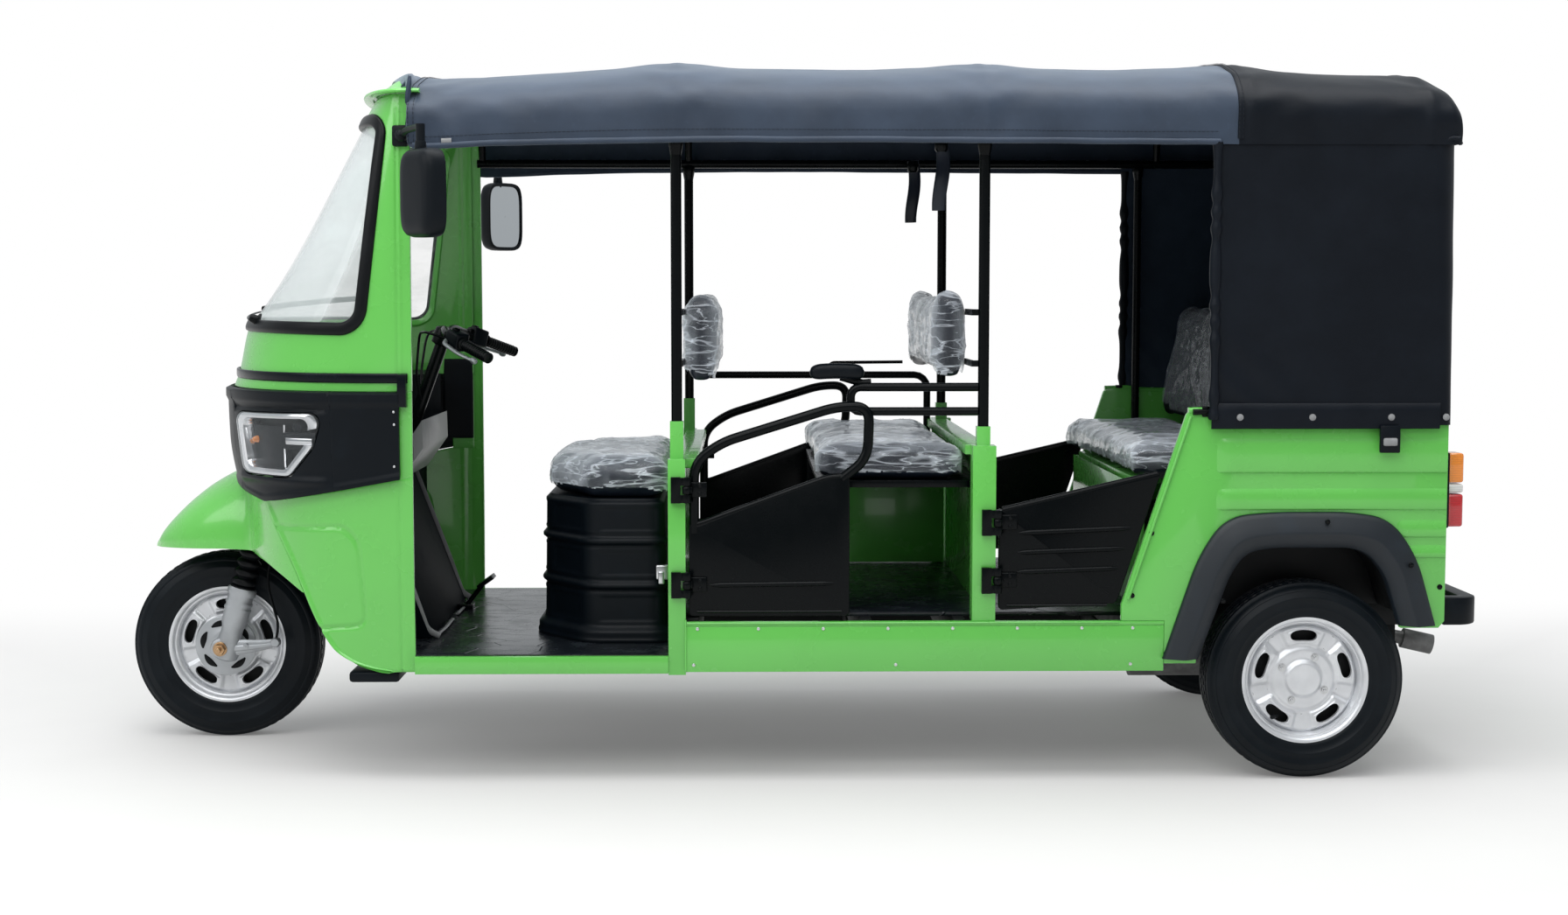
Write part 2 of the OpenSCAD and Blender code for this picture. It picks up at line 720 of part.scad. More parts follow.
function fender_point(row, k, inset) =
    let (a = 180 * k / fender_cols - 90)
    [fender_x(row), (row[1] - inset) * power(sin(a), 0.9),
        row[2] + (row[3] - inset - row[2]) * power(cos(a), 0.8)];

module front_fender() {
    wall = 7;
    beak_open = 205;
    outer = [for (row = fender_table) [for (k = [0 : fender_cols]) fender_point(row, k, 0)]];
    inner = [for (row = fender_table) [for (k = [0 : fender_cols]) fender_point(row, k, wall)]];
    low_edge = [[310, 250], [330, 261], [420, 272], [900, 272]];
    color(green) intersection() {
        union() {
            difference() {
                sheet(outer, inner);
                cab_band(nose_levels, -4, -400);
            }
            // nose skin between the apron's seam and the beak
            difference() {
                cab_band(nose_levels, 0, -8);
                // open under the beak, for the fork
                block([far_front, -beak_open, 0], [cab_rear_x, beak_open, fascia_low_front - 12]);
                side_plate(-900, 900)
                    polygon(concat([for (q = low_edge) [cab_rear_x - q.x, sill_z + q.y]],
                        [[far_front, 0], [cab_rear_x, 0]]));
            }
        }
        side_plate(-900, 900) intersection() {
            below_fascia(0.3);
            union() {
                arch_view(0.5);
                translate([far_front - 200, 0]) square([cab_rear_x - 480 - far_front + 200, 1000]);
            }
        }
    }
}

// Headlamps in the corners of the fascia, drawn in side view
lamp_low = fascia_top - 222;
lamp_high = fascia_top - 56;
lamp_front_x = cab_rear_x - 520;
lamp_rear_x = cab_rear_x - 268;

module lamp_view(grow) {
    r = 26;
    hull() for (p = [[lamp_front_x + r, lamp_high - r - 4], [lamp_rear_x - r, lamp_high - r],
        [lamp_rear_x - 14 - r, lamp_low + 66 + r],
        [lamp_rear_x - 70 - r, lamp_low + r], [lamp_front_x + 16 + r, lamp_low + r]])
        translate(p) circle(r + grow, $fn = 32);
}

module lamp_cut(grow) {
    side_plate(-800, -60) lamp_view(grow);
}

module headlamps() {
    color(silver) both_sides() intersection() {
        cab_band([lamp_low - 30, lamp_low + 40, lamp_low + 92, lamp_high - 34, lamp_high + 30],
            22, -14, 86);
        lamp_cut(0);
    }
}

// Driver's place

dash_low = fascia_top - 200;

module dashboard() {
    levels = [dash_low, dash_low + 70, fascia_top + 12];
    inside = cab_wall + 4;
    color(black) difference() {
        intersection() {
            sheet(cab_grid(levels, -inside, 80), cab_grid(levels, -inside - 330, 80));
            block([far_front, -body_half, dash_low], [cab_rear_x - 10, body_half, fascia_top + 12]);
        }
        rod(on_column(-400), on_column(400), column_r + 18);
        rod(on_fork(head_low - 60), on_fork(head_high + 400), steerer_r + 20);
        both_sides() {
            head_brace(14);
            down_tube(20);
        }
    }
}

bin_half = body_half - 400;

module dash_bin() {
    x0 = column_foot.x - 90;
    x1 = column_foot.x + 44;
    color(grey) difference() {
        side_plate(-bin_half, bin_half) polygon([
            [x0 - 60, dash_low - 30], [x1 - 60, dash_low - 55], [x1, dash_low + 30],
                [x1 - 2, dash_low + 105],
            [x0 + 60, dash_low - seat_gap], [x0 - 60, dash_low - seat_gap]
        ]);
        rod(on_column(-400), on_column(400), column_r + 8);
        rod(on_column(jacket_low - 8), on_column(jacket_high + 8), column_r + 14);
        both_sides() head_brace(15);
    }
}

shield_half = body_half - 290;
shield_t = 10;
shield_low = [cab_rear_x - 8, driver_floor_z + seat_gap];
shield_high = [cab_rear_x - 165, dash_low - 58];

module leg_shield() {
    side_x = rail_front_x - 190;
    color(plastic) {
        side_plate(-shield_half, shield_half) polygon([shield_low, shield_low + [shield_t, 0],
            shield_high + [shield_t, 0], shield_high]);
        both_sides() side_plate(-shield_half - 8, -shield_half - seat_gap)
            polygon([shield_low + [shield_t, 0], shield_high + [shield_t, 0], [side_x, shield_high.y],
                [side_x, driver_floor_z + 192], [rail_front_x - 20, driver_floor_z + seat_gap]]);
        // closing walls between the wheel housing and the cab side
        both_sides() block([rail_front_x - 58, -shield_half - 8 - 190, driver_floor_z + seat_gap],
            [rail_front_x - 50, -shield_half - 8 - seat_gap, shield_high.y]);
    }
}

module brake_pedal() {
    base = [cab_rear_x + 2, 190, driver_floor_z + seat_gap];
    color(black) {
        block(base + [0, -22, 0], base + [44, 22, 14]);
        rod(base + [22, 0, 8], base + [70, 0, 70], 7);
        translate(base + [70, 0, 72]) rotate([0, -35, 0]) translate([-12, -36, -6]) cube([52, 72, 12]);
    }
}

// Seat box plan: X behind its front, half width
box_front_x = b_post_x - b_post_w / 2 - 360;
box_rear_x = b_post_x - b_post_w / 2 - 6;
box_half = body_half - 208;
box_nose_half = box_half - 182;

module box_plan(grow) {
    polygon([[box_front_x - grow, -box_nose_half - grow / 2],
        [box_front_x + 140 - grow / 2, -box_half - grow], [box_rear_x, -box_half - grow],
        [box_rear_x, box_half + grow], [box_front_x + 140 - grow / 2, box_half + grow],
            [box_front_x - grow, box_nose_half + grow / 2]]);
}

// Tiers of the seat box: bottom, top, how far each stands out
box_tiers = [[0, 38, 16], [38, 150, 4], [150, 156, 0], [156, 268, 2], [268, 274, -3], [274, 380, 0]];

module seat_box() {
    color(plastic) difference() {
        union() for (row = box_tiers)
            flat_plate(driver_floor_z + seat_gap + row[0],
                driver_floor_z + seat_gap + row[1]) box_plan(row[2]);
        flat_plate(driver_floor_z - 10, driver_floor_z + 368) box_plan(-12);
        block([box_rear_x - 40, -box_half + 60, driver_floor_z - 1],
            [box_rear_x + 5, box_half - 60, driver_floor_z + 300]);
    }
}

unit_half = 170;
unit_lo = [box_front_x + 70, -unit_half, sill_z - 60];
unit_hi = [box_rear_x - 50, unit_half, driver_floor_z + 272];
shaft_z = rear_tyre_r - 11;
nose_len = 128;

// Engine and gearbox as one plain block, hung between the rails under the seat
module drive_unit() {
    color(grey) {
        difference() {
            block(unit_lo, unit_hi);
            for (z = [unit_lo.z + 158 : 40 : unit_hi.z - 20])
                block([unit_lo.x - 1, unit_lo.y - 1, z], [unit_lo.x + 14, unit_hi.y + 1, z + 14]);
        }
        both_sides() block([unit_lo.x + 30, unit_hi.y + seat_gap, rail_top - 40],
            [unit_lo.x + 90, rail_y - rail_w / 2 - seat_gap, rail_top - 4]);
        // propeller shaft to the rear axle
        rod([unit_hi.x + seat_gap, 0, shaft_z], [rear_axle_x - nose_len - 2 - seat_gap, 0, shaft_z], 24);
    }
}

seat_z = driver_floor_z + 380 + 2 * seat_gap;

module driver_cushion() {
    color(vinyl) hull() {
        flat_plate(seat_z, seat_z + 20) box_plan(-6);
        flat_plate(seat_z + 40, seat_z + 80) box_plan(2);
        translate([0, 0, seat_z + 128]) linear_extrude(2) box_plan(-60);
    }
}

// Middle bench

bench_leg_x = c_post_x - 406;
bench_front_x = rear_axle_x - 424;
pan_t = 18;
pan_half = body_half - 84;

module mid_bench_frame() {
    pan_rear = c_post_x + 2 - seat_gap;
    color(black) {
        block([bench_leg_x - 14, -pan_half, seat_pan_z - pan_t], [pan_rear, pan_half, seat_pan_z]);
        both_sides() block([bench_leg_x - 12, -pan_half + 8, passenger_floor_z + seat_gap],
            [bench_leg_x + 24, -pan_half + 44, seat_pan_z - pan_t - seat_gap]);
    }
}

module mid_cushion() {
    color(vinyl)
        soft_box([bench_leg_x - 20, -pan_half, seat_pan_z + seat_gap],
            [c_post_x - 46, pan_half, seat_pan_z + 94], 20);
}

back_low = seat_pan_z + 262;
back_high = back_low + 220;
back_half = body_half - 170;
back_t = 86;
mid_back_x = c_post_x - 117;
front_back_x = b_post_x + 16;

module backrests() {
    color(vinyl) {
        soft_box([mid_back_x, -back_half, back_low], [mid_back_x + back_t, back_half, back_high], 20);
        soft_box([front_back_x, -back_half, back_low - 10],
            [front_back_x + back_t, back_half, back_high - 10], 20);
        translate([rear_axle_x - 150, 0, seat_pan_z + 110]) rotate([0, 12, 0])
            soft_box([-60, -back_half - 70, 0], [50, back_half + 70, 340], 26);
    }
}

rail_up = seat_pan_z + 242;
rail_low = rail_up - 62;
rail_end_x = bench_leg_x + 68;

module guard_rails() {
    reach_c = c_post_x - post_r - seat_gap;
    color(black) {
        // left: two rails from the rear post, closed by an upright at the front
        side_bar([[reach_c, rail_up], [rail_end_x, rail_up], [rail_end_x, rail_low],
            [reach_c, rail_low]], 24, rail_r, -post_half);
        // right: one long rail from the front post, bent down to the bench behind
        side_bar([[b_post_x + post_r + seat_gap, rail_up - 14], [c_post_x - 44, rail_up - 14],
            [c_post_x - 44, seat_pan_z - 10]], 40, rail_r, post_half);
        side_bar([[rail_end_x - 30, rail_up - 14 + rail_r + seat_gap], [rail_end_x, rail_up + 24],
            [c_post_x - 120, rail_up + 26]], 20, 5, post_half);
        // brackets that carry the backrests
        both_sides() for (z = [back_low + 40, back_high - 50]) {
            pad = mid_back_x + back_t + seat_gap;
            block([pad, -post_half - 5, z - 8], [reach_c, -post_half + 5, z + 8]);
            block([pad, -post_half - 5, z - 8], [pad + 6, -back_half + 60, z + 8]);
            block([b_post_x + 8, -post_half + post_r - 2, z - 8],
                [front_back_x - seat_gap, -back_half + 60, z + 8]);
        }
    }
}

module armrest() {
    color(plastic) {
        soft_box([rail_end_x - 106, -post_half - 20, rail_up + rail_r + 6],
            [rail_end_x + 36, -post_half + 34, rail_up + rail_r + 48], 12);
        block([rail_end_x + 30, -post_half - 8, rail_up + rail_r + seat_gap],
            [rail_end_x + 44, -post_half + 8, rail_up + rail_r + 22]);
    }
}

strap_in = 120;

module hand_straps() {
    color(black) both_sides() translate([c_post_x - 100, -post_half + strap_in, 0]) {
        difference() {
            block([-14, 0, hem_z - 160], [14, 12, hem_z + 30]);
            block([-7, -1, hem_z - 148], [7, 13, hem_z - 20]);
        }
        // bar that carries the strap from the roof rail
        block([-7, roof_rail_r + seat_gap - strap_in, hem_z + 22], [7, 12, hem_z + 30]);
    }
}

// Rear body

module rear_bench() {
    color(green) {
        block([bench_front_x, -body_half + panel_t + 60, passenger_floor_z + seat_gap],
            [bench_front_x + 14, body_half - panel_t - 60, seat_pan_z - pan_t]);
        block([bench_front_x, -well_in + 2, seat_pan_z - pan_t + seat_gap],
            [tail_x - panel_t - 2, well_in - 2, seat_pan_z]);
    }
}

module rear_cushion() {
    color(vinyl)
        soft_box([bench_front_x - 24, -pan_half, seat_pan_z + seat_gap],
            [rear_axle_x - 100, pan_half, seat_pan_z + 96], 22);
}

// Wheel arch in side view: a flat-topped arch
arch_top = 2 * rear_tyre_r + 92;

module arch_outline(grow) {
    low = sill_z - 40;
    polygon([
        [rear_axle_x - 284 - grow, low], [rear_axle_x - 284 - grow, sill_z + 36],
        [rear_axle_x - 205 - grow * 0.9, arch_top - 67 + grow * 0.5],
        [rear_axle_x - 165 - grow * 0.6, arch_top - 12 + grow],
        [rear_axle_x - 100, arch_top + grow], [rear_axle_x + 100, arch_top + grow],
        [rear_axle_x + 146 + grow * 0.6, arch_top - 17 + grow],
        [rear_axle_x + 188 + grow * 0.9, arch_top - 67 + grow * 0.5],
        [rear_axle_x + 230 + grow, sill_z + 120], [rear_axle_x + 230 + grow, low]
    ]);
}

rib_z = [for (drop = [75, 139, 183, 229]) body_top_z - drop];

module quarter_panels() {
    low_rear = sill_z + 112;
    color(green) both_sides() {
        difference() {
            side_plate(-body_half, -body_half + panel_t) difference() {
                polygon([[quarter_foot_x, sill_z + 22], [quarter_foot_x, sill_top + seat_gap],
                    [quarter_foot_x - 110, sill_top + seat_gap], [quarter_foot_x - 110, sill_top + 42],
                    [quarter_top_x - 4, body_top_z - 4],
                    [quarter_top_x + 6, body_top_z + 8], [quarter_top_x + 78, body_top_z + 8],
                        [quarter_top_x + 90, body_top_z], [tail_x, body_top_z - 12],
                    [tail_x, low_rear + 86], [tail_x - 50, low_rear], [quarter_foot_x + 40, low_rear],
                        [quarter_foot_x + 40, sill_z + 22]]);
                arch_outline(4);
            }
            // pressed grooves along the side
            for (z = rib_z) block([quarter_top_x + 70, -body_half - 1, z - 4],
                [tail_x + 1, -body_half + 3, z + 4]);
        }
    }
}

bumper_low = sill_z + 116;
bumper_high = bumper_low + 72;

module tail_panel() {
    color(green) difference() {
        block([tail_x - panel_t, -body_half + panel_t + seat_gap, bumper_high],
            [tail_x, body_half - panel_t - seat_gap, body_top_z - 12]);
        for (z = rib_z) block([tail_x - 3, -body_half + 100, z - 4], [tail_x + 1, body_half - 100, z + 4]);
    }
}

flare_out = 36;

module wheel_flares() {
    color(plastic) both_sides() side_plate(-body_half - flare_out, -body_half - seat_gap) intersection() {
        difference() {
            arch_outline(92);
            arch_outline(0);
        }
        union() {
            translate([rear_axle_x - 460, sill_z + 36]) square([460, 900]);
            translate([rear_axle_x - 10, sill_z + 120]) square([460, 900]);
        }
    }
}

well_in = track_half - rear_tyre_w / 2 - 38;

module wheel_wells() {
    color(black) both_sides() {
        side_plate(-body_half + panel_t + seat_gap, -well_in - 8 - seat_gap) intersection() {
            difference() {
                arch_outline(12);
                arch_outline(6);
            }
            translate([rear_axle_x - 400, sill_z + 150]) square([800, 900]);
        }
        side_plate(-well_in - 8, -well_in) intersection() {
            arch_outline(12);
            translate([rear_axle_x - 400, sill_z + 150]) square([800, 900]);
        }
    }
}

module bumper_plan(inset) {
    r = 60 - inset;
    hull() {
        for (s = [-1, 1]) translate([bumper_x - 60, s * (body_half - 20 - 60)]) circle(r);
        translate([tail_x - 18 - 300, -body_half + 20 + inset]) square([300, 2 * (body_half - 20 - inset)]);
    }
}

module rear_bumper() {
    color(plastic) difference() {
        flat_plate(bumper_low, bumper_high) bumper_plan(0);
        flat_plate(bumper_low - 1, bumper_high + 1) bumper_plan(bumper_t);
        block([0, -900, 0], [tail_x - 18, 900, 900]);
        block([0, -body_half - 40, 0], [tail_x + seat_gap, body_half + 40, 900]);
    }
}

lamp_y = body_half - 65;
tail_lamp_low = body_top_z - 297;
tail_lamp_high = body_top_z - 103;

module tail_lamps() {
    color("firebrick") both_sides() {
        translate([tail_x + seat_gap, -lamp_y, 0]) {
            block([0, -38, tail_lamp_low], [10, 38, tail_lamp_high]);
            soft_box([8, -34, tail_lamp_low + 6], [52, 34, tail_lamp_high - 6], 10);
        }
    }
}

pipe_y = rail_y - 68;
pipe_r = 18;
can_r = 58;

module tail_pipe() {
    can_x = rear_axle_x - 380;
    can_y = pipe_y - 82;
    over_z = rear_tyre_r + 81;
    rise = [rear_axle_x - 60, -pipe_y + 10, over_z];
    fall = [rear_axle_x + 180, -pipe_y + 6, over_z];
    strap_x = tail_x - 134;
    color(grey) {
        // front pipe, silencer can and the pipe that rises over the axle
        rod([unit_hi.x + 2, -can_y + 30, 246], [can_x + 20, -can_y, 248], pipe_r);
        rod([can_x, -can_y, 250], [can_x + 235, -can_y, 250], can_r);
        rod([can_x + 195, -can_y, 250], rise, pipe_r);
        rod(rise, fall, pipe_r);
        rod(fall, [tail_x + 24, -pipe_y, 306], pipe_r);
        // welded bends, and the wider tip under the bumper
        for (bend = [rise, fall])
            translate(bend)
                sphere(r = pipe_r + 4, $fn = 24);
        rod([tail_x + 8, -pipe_y, 308], [tail_x + 88, -pipe_y - 6, 290], pipe_r + 9);
        // strap to the cross member behind the axle
        block([strap_x, -pipe_y - 8, over_z - 10],
            [strap_x + 28, -pipe_y + 8, rail_top + kick_z - 50 - seat_gap]);
    }
}

stub_r = 15;
drum_r = 105;

module rear_axle() {
    reach = track_half - 30;
    color(black) {
        rod([rear_axle_x, -reach + 12, rear_tyre_r], [rear_axle_x, reach - 12, rear_tyre_r], 34);
        translate([rear_axle_x, 0, rear_tyre_r]) sphere(105);
        rod([rear_axle_x - nose_len, 0, shaft_z], [rear_axle_x, 0, shaft_z], 44);
        both_sides() {
            rod([rear_axle_x, -reach - 6, rear_tyre_r], [rear_axle_x, -reach + 40, rear_tyre_r], drum_r);
            rod([rear_axle_x, -track_half - 24, rear_tyre_r], [rear_axle_x, -reach, rear_tyre_r], stub_r);
        }
    }
}

spring_y = rail_y;

module leaf_springs() {
    base = rear_tyre_r + 34 + seat_gap;
    rail_low_z = rail_top - rail_h + kick_z;
    color(black) both_sides() translate([0, -spring_y, 0]) {
        for (row = [[0, 110, 150], [8, 170, 230], [16, 230, 312]])
            block([rear_axle_x - row[1], -26, base + row[0]], [rear_axle_x + row[2],
                26, base + row[0] + 8]);
        block([rear_axle_x - 228, -22, base + 23], [rear_axle_x - 204, 22, rail_low_z - 20]);
        block([rear_axle_x + 286, -22, base + 23], [rear_axle_x + 310, 22, rail_low_z - seat_gap]);
        // clamp plate over the axle
        block([rear_axle_x - 46, -30, base + 23], [rear_axle_x + 46, 30, base + 34]);
    }
}

// Mirrors

mirror_z = cowl_top - 258;
mirror_x = cab_rear_x + 62;
mirror_y = body_half + 180;

module mirrors() {
    arm_z = cowl_top - 108;
    wall_y = lookup(arm_z, cab_width);
    color(plastic) both_sides() {
        block([cab_rear_x - 34, -wall_y - 10, arm_z - 18],
            [cab_rear_x - 6, -wall_y - seat_gap, arm_z + 18]);
        rod([cab_rear_x - 20, -wall_y - 4, arm_z], [mirror_x - 20, -mirror_y + 60, arm_z + 10], 9);
        rod([mirror_x - 22, -mirror_y + 62, arm_z + 10], [mirror_x, -mirror_y, mirror_z + 90], 9);
        translate([mirror_x, -mirror_y, mirror_z]) rotate([0, 0, 38]) soft_box([-26, -75, -108],
            [28, 75, 106], 16);
    }
}

// Door hinges: pin axis, heights of the two hinges

hinge_y = body_half + 8;
front_hinge_x = b_post_x + b_post_w / 2 + 4;
rear_hinge_x = c_post_x + c_post_w / 2 + 4;
front_hinge_z = [sill_top + 96, sill_top + 338];
rear_hinge_z = [sill_top + 106, sill_top + 254];
knuckle_r = hinge_pin_r + 5;
knuckle_h = 22;

module hinge_leaf(x, z) {
    // leaf on the post, with the pin that the door's knuckle turns on
    translate([x, -hinge_y, z]) {
        cylinder(h = 3 * knuckle_h, r = hinge_pin_r, center = true);
        for (s = [-1, 1]) translate([0, 0, s * knuckle_h])
            cylinder(h = knuckle_h - 2, r = knuckle_r, center = true);
        for (s = [-1, 1]) block([-38, -6, s * knuckle_h - 10], [0, 2, s * knuckle_h + 10]);
        block([-40, -6, -1.5 * knuckle_h], [-16, hinge_y - body_half + 4 - seat_gap, 1.5 * knuckle_h]);
    }
}

module door_hinges() {
    color(black) both_sides() {
        for (z = front_hinge_z) hinge_leaf(front_hinge_x, z);
        for (z = rear_hinge_z) hinge_leaf(rear_hinge_x, z);
    }
}

module door_knuckle(x, z) {
    difference() {
        translate([x, -hinge_y, z]) {
            cylinder(h = knuckle_h - 4, r = knuckle_r, center = true);
            block([0, -6, -knuckle_h / 2 + 2], [34, hinge_y - door_out + 2, knuckle_h / 2 - 2]);
        }
        translate([x, -hinge_y, z]) cylinder(h = 3 * knuckle_h, r = hinge_pin_r + run_gap, center = true);
    }
}

// Doors

door_out = body_half - 8;
front_door_x = b_post_x + b_post_w / 2 + door_gap;
front_door_rear = c_post_x - 342;
front_door_low = sill_top + 14;
front_door_top = seat_pan_z + 18;
hoop_top = seat_pan_z + 194;

module front_door() {
    hoop = [
        [front_door_x + hoop_r, front_door_top - 146], [front_door_x + hoop_r, front_door_top + 32],
        [front_door_x + 80, front_door_top + 84], [front_door_rear - 32, hoop_top],
        [front_door_rear + 50, hoop_top], [front_door_rear + 46, front_door_top + 44],
        [front_door_rear - 20, front_door_top - 8]
    ];
    color(black) {
        side_plate(-door_out, -door_out + door_t) polygon([
            [front_door_x, front_door_low], [front_door_rear, front_door_low],
            [front_door_rear, front_door_top], [front_door_rear - 56, front_door_top - 2],
            [front_door_x + 18, front_door_top - 128], [front_door_x, front_door_top - 122]
        ]);
        side_bar(hoop, 44, hoop_r, -door_out + door_t / 2);
        for (z = front_hinge_z)
            door_knuckle(front_hinge_x, z);
    }
}

rear_door_x = c_post_x + c_post_w / 2 + door_gap;

module rear_door() {
    slope_x = quarter_foot_x - 110;
    foot = [slope_x - door_gap - 2, sill_top + 42];
    dir = unit([quarter_top_x - 4 - slope_x, body_top_z - 4 - sill_top - 42]);
    head = foot + dir * 355;
    color(black) {
        side_plate(-door_out, -door_out + door_t)
            polygon([[rear_door_x, sill_top + 28], foot - [4, -2], foot + dir * 20, head,
                [rear_door_x + 8, sill_top + 284], [rear_door_x, sill_top + 288]]);
        for (z = rear_hinge_z) door_knuckle(rear_hinge_x, z);
    }
}

module door_front_left() { front_door(); }
module door_front_right() { mirror([0, 1, 0]) front_door(); }
module door_rear_left() { rear_door(); }
module door_rear_right() { mirror([0, 1, 0]) rear_door(); }

// Fork, handlebar and wheels

leg_ahead = 16;

module fork() {
    leg = [-leg_ahead, fork_half, 0];
    color(black) {
        rod(on_fork(400), on_fork(head_high + 30), steerer_r);
        hull() both_sides() rod(on_fork(398) + leg, on_fork(426) + leg, 30);
        both_sides() {
            rod(on_fork(236) + leg, on_fork(399) + leg, 27);
            for (d = [246 : 30 : 380]) rod(on_fork(d) + leg, on_fork(d + 16) + leg, 33);
        }
    }
}

axle_r = 10;
axle_reach = fork_half + 26;

module fork_sliders() {
    leg = [-leg_ahead, fork_half, 0];
    axle = [front_axle_x, 0, front_tyre_r];
    color(silver) {
        both_sides() {
            rod(on_fork(-6) + leg, on_fork(235.7) + leg, 29);
            rod(on_fork(205) + leg, on_fork(228) + leg, 35);
            rod(axle + [0, fork_half - 18, 0], axle + [0, fork_half + 22, 0], 28);
        }
        rod(axle + [0, -axle_reach, 0], axle + [0, axle_reach, 0], axle_r);
        // brake lever arm on the left leg
        rod(axle + [30, -fork_half - 4, 4], axle + [170, -fork_half - 4, 24], 11);
        rod(axle + [170, -fork_half - 16, 24], axle + [170, -fork_half + 8, 24], 15);
    }
}

grip_len = 120;
grip_r = 16;
bar_r = 11;

module handlebar() {
    clamp = on_column(212);
    tip = [cab_rear_x + 160, -grip_end, clamp.z - 54];
    grip_dir = unit([78, -84, -35]);
    grip_start = tip - grip_dir * grip_len;
    color(black) {
        rod(on_column(jacket_low - 16), on_column(206), column_r);
        rod(on_column(150), on_column(214), 34);
        rod(clamp + [0, -70, -4], clamp + [0, 70, -4], 17);
        both_sides() {
            rod(clamp + [0, -60, -4], grip_start - grip_dir * 30, bar_r);
            rod(grip_start - grip_dir * 34, grip_start + grip_dir * 20, bar_r);
            rod(grip_start, tip, grip_r);
            // brake lever
            rod(grip_start - grip_dir * 12, grip_start + [-52, -10, -12], 6);
            rod(grip_start + [-50, -8, -12], tip + [-54, -6, -14], 6);
        }
    }
}

bead_r = rim_r - 20;
rim_ratio = 0.36;

// Half section of a tyre: radius, distance from the middle plane
// Height of a point between the rim's edge and the tread
function tyre_up(r, share) = between(rim_r, r, share);

module tyre_section(r, w) {
    crown = w * 0.40;
    bead_w = w * rim_ratio - 6;
    half_section = [
        [bead_r + seat_gap, bead_w], [rim_r + 0.8, bead_w + 2], [tyre_up(r, 0.06), w * 0.42],
        [tyre_up(r, 0.45), w * 0.5], [tyre_up(r, 0.64), w * 0.485], [tyre_up(r, 0.855), w * 0.44],
        [tyre_up(r, 0.964), crown - 4], [r, w * 0.2]
    ];
    half_hollow = [
        [bead_r + 16, w * 0.26], [tyre_up(r, 0.5), w * 0.38], [tyre_up(r, 0.735), w * 0.34]
    ];
    last = len(half_section) - 1;
    polygon(concat([for (q = half_section) [q.x, -q.y]], [for (k = [0 : last]) half_section[last - k]],
        half_hollow, [[tyre_up(r, 0.83), 0]],
        [for (k = [0 : 2]) [half_hollow[2 - k].x, -half_hollow[2 - k].y]]));
}

module tyre(r, w) {
    rotate([90, 0, 0]) rotate_extrude($fn = 72) tyre_section(r, w);
}

// Pressed steel wheel: barrel with flanges, dished disc and hub in one section
module rim(w, bore, hub_r, hub_y0, hub_y1, disc_y) {
    half = w * rim_ratio;
    t = 5;
    well = bead_r - 14;
    rotate([-90, 0, 0]) difference() {
        rotate_extrude($fn = 72) union() {
            polygon([
                [rim_r, -half - 2], [rim_r, -half + 3], [bead_r, -half + 5], [bead_r, -half + 16],
                    [well, -half + 24],
                [well, half - 24], [bead_r, half - 16], [bead_r, half - 5], [rim_r, half - 3],
                    [rim_r, half + 2],
                [rim_r - 6, half + 2], [bead_r - t, half - 2], [bead_r - t, half - 16],
                    [well - t, half - 24],
                [well - t, -half + 24], [bead_r - t, -half + 16], [bead_r - t, -half + 2],
                    [rim_r - 6, -half - 2]
            ]);
            polygon([
                [hub_r - 2, disc_y - 4], [72, disc_y - 4], [84, disc_y - 14], [104, disc_y - 16],
                    [122, disc_y - 6],
                [well - 2, disc_y + 4], [well - 2, disc_y + 10], [120, disc_y + 3], [104, disc_y - 8],
                [86, disc_y - 6], [74, disc_y + 4], [hub_r - 2, disc_y + 4]
            ]);
            translate([bore + run_gap, hub_y0]) square([hub_r - bore - run_gap, hub_y1 - hub_y0]);
        }
        for (i = [0 : rim_slots - 1]) rotate(i * 360 / rim_slots + 18) translate([108, 0, disc_y - 60]) {
            translate([-8.6, -18, 0]) cube([17.2, 36, 120]);
            for (s = [-1, 1]) translate([0, 18 * s, 0]) cylinder(h = 120, r = 9);
        }
    }
}

front_centre = [front_axle_x, 0, front_tyre_r];
rear_left_centre = [rear_axle_x, -track_half, rear_tyre_r];

module front_tyre() { color(black) translate(front_centre) tyre(front_tyre_r, front_tyre_w); }
module front_rim() {
    color(silver) translate(front_centre)
        rim(front_tyre_w, axle_r, 46, -fork_half + 35, fork_half - 35, -14);
}
module rear_left_tyre() { color(black) translate(rear_left_centre) tyre(rear_tyre_r, rear_tyre_w); }
module rear_left_rim() {
    color(silver) translate(rear_left_centre) rim(rear_tyre_w, stub_r, 44, -34, 17, -22);
}
module rear_right_tyre() { mirror([0, 1, 0]) rear_left_tyre(); }
module rear_right_rim() { mirror([0, 1, 0]) rear_left_rim(); }

chassis_rails();
cross_members();
steering_head();
floor_plates();
side_sills();
posts();
partitions();
canopy_frame();
canopy_roof();
canopy_curtains();
apron();
lamp_fascia();
cowl();
roof_cap();
windscreen();
windscreen_seal();
front_fender();
headlamps();
dashboard();
dash_bin();
leg_shield();
brake_pedal();
seat_box();
drive_unit();
driver_cushion();
mid_bench_frame();
mid_cushion();
backrests();
guard_rails();
armrest();
hand_straps();
rear_bench();
rear_cushion();
quarter_panels();
tail_panel();
wheel_flares();
wheel_wells();
rear_bumper();
tail_lamps();
tail_pipe();
rear_axle();
leaf_springs();
mirrors();
door_hinges();
fork();
fork_sliders();
handlebar();
front_tyre();
front_rim();
rear_left_tyre();
rear_left_rim();
rear_right_tyre();
rear_right_rim();
door_front_left();
door_front_right();
door_rear_left();
door_rear_right();
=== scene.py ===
"""Passenger tricycle: paint, canopy, cushions, wheels and trim built round the packed model."""
from math import acos, atan2, copysign, cos, exp, hypot, pi, radians, sin, tau

import bmesh
import bpy
from mathutils import Matrix, Vector, noise


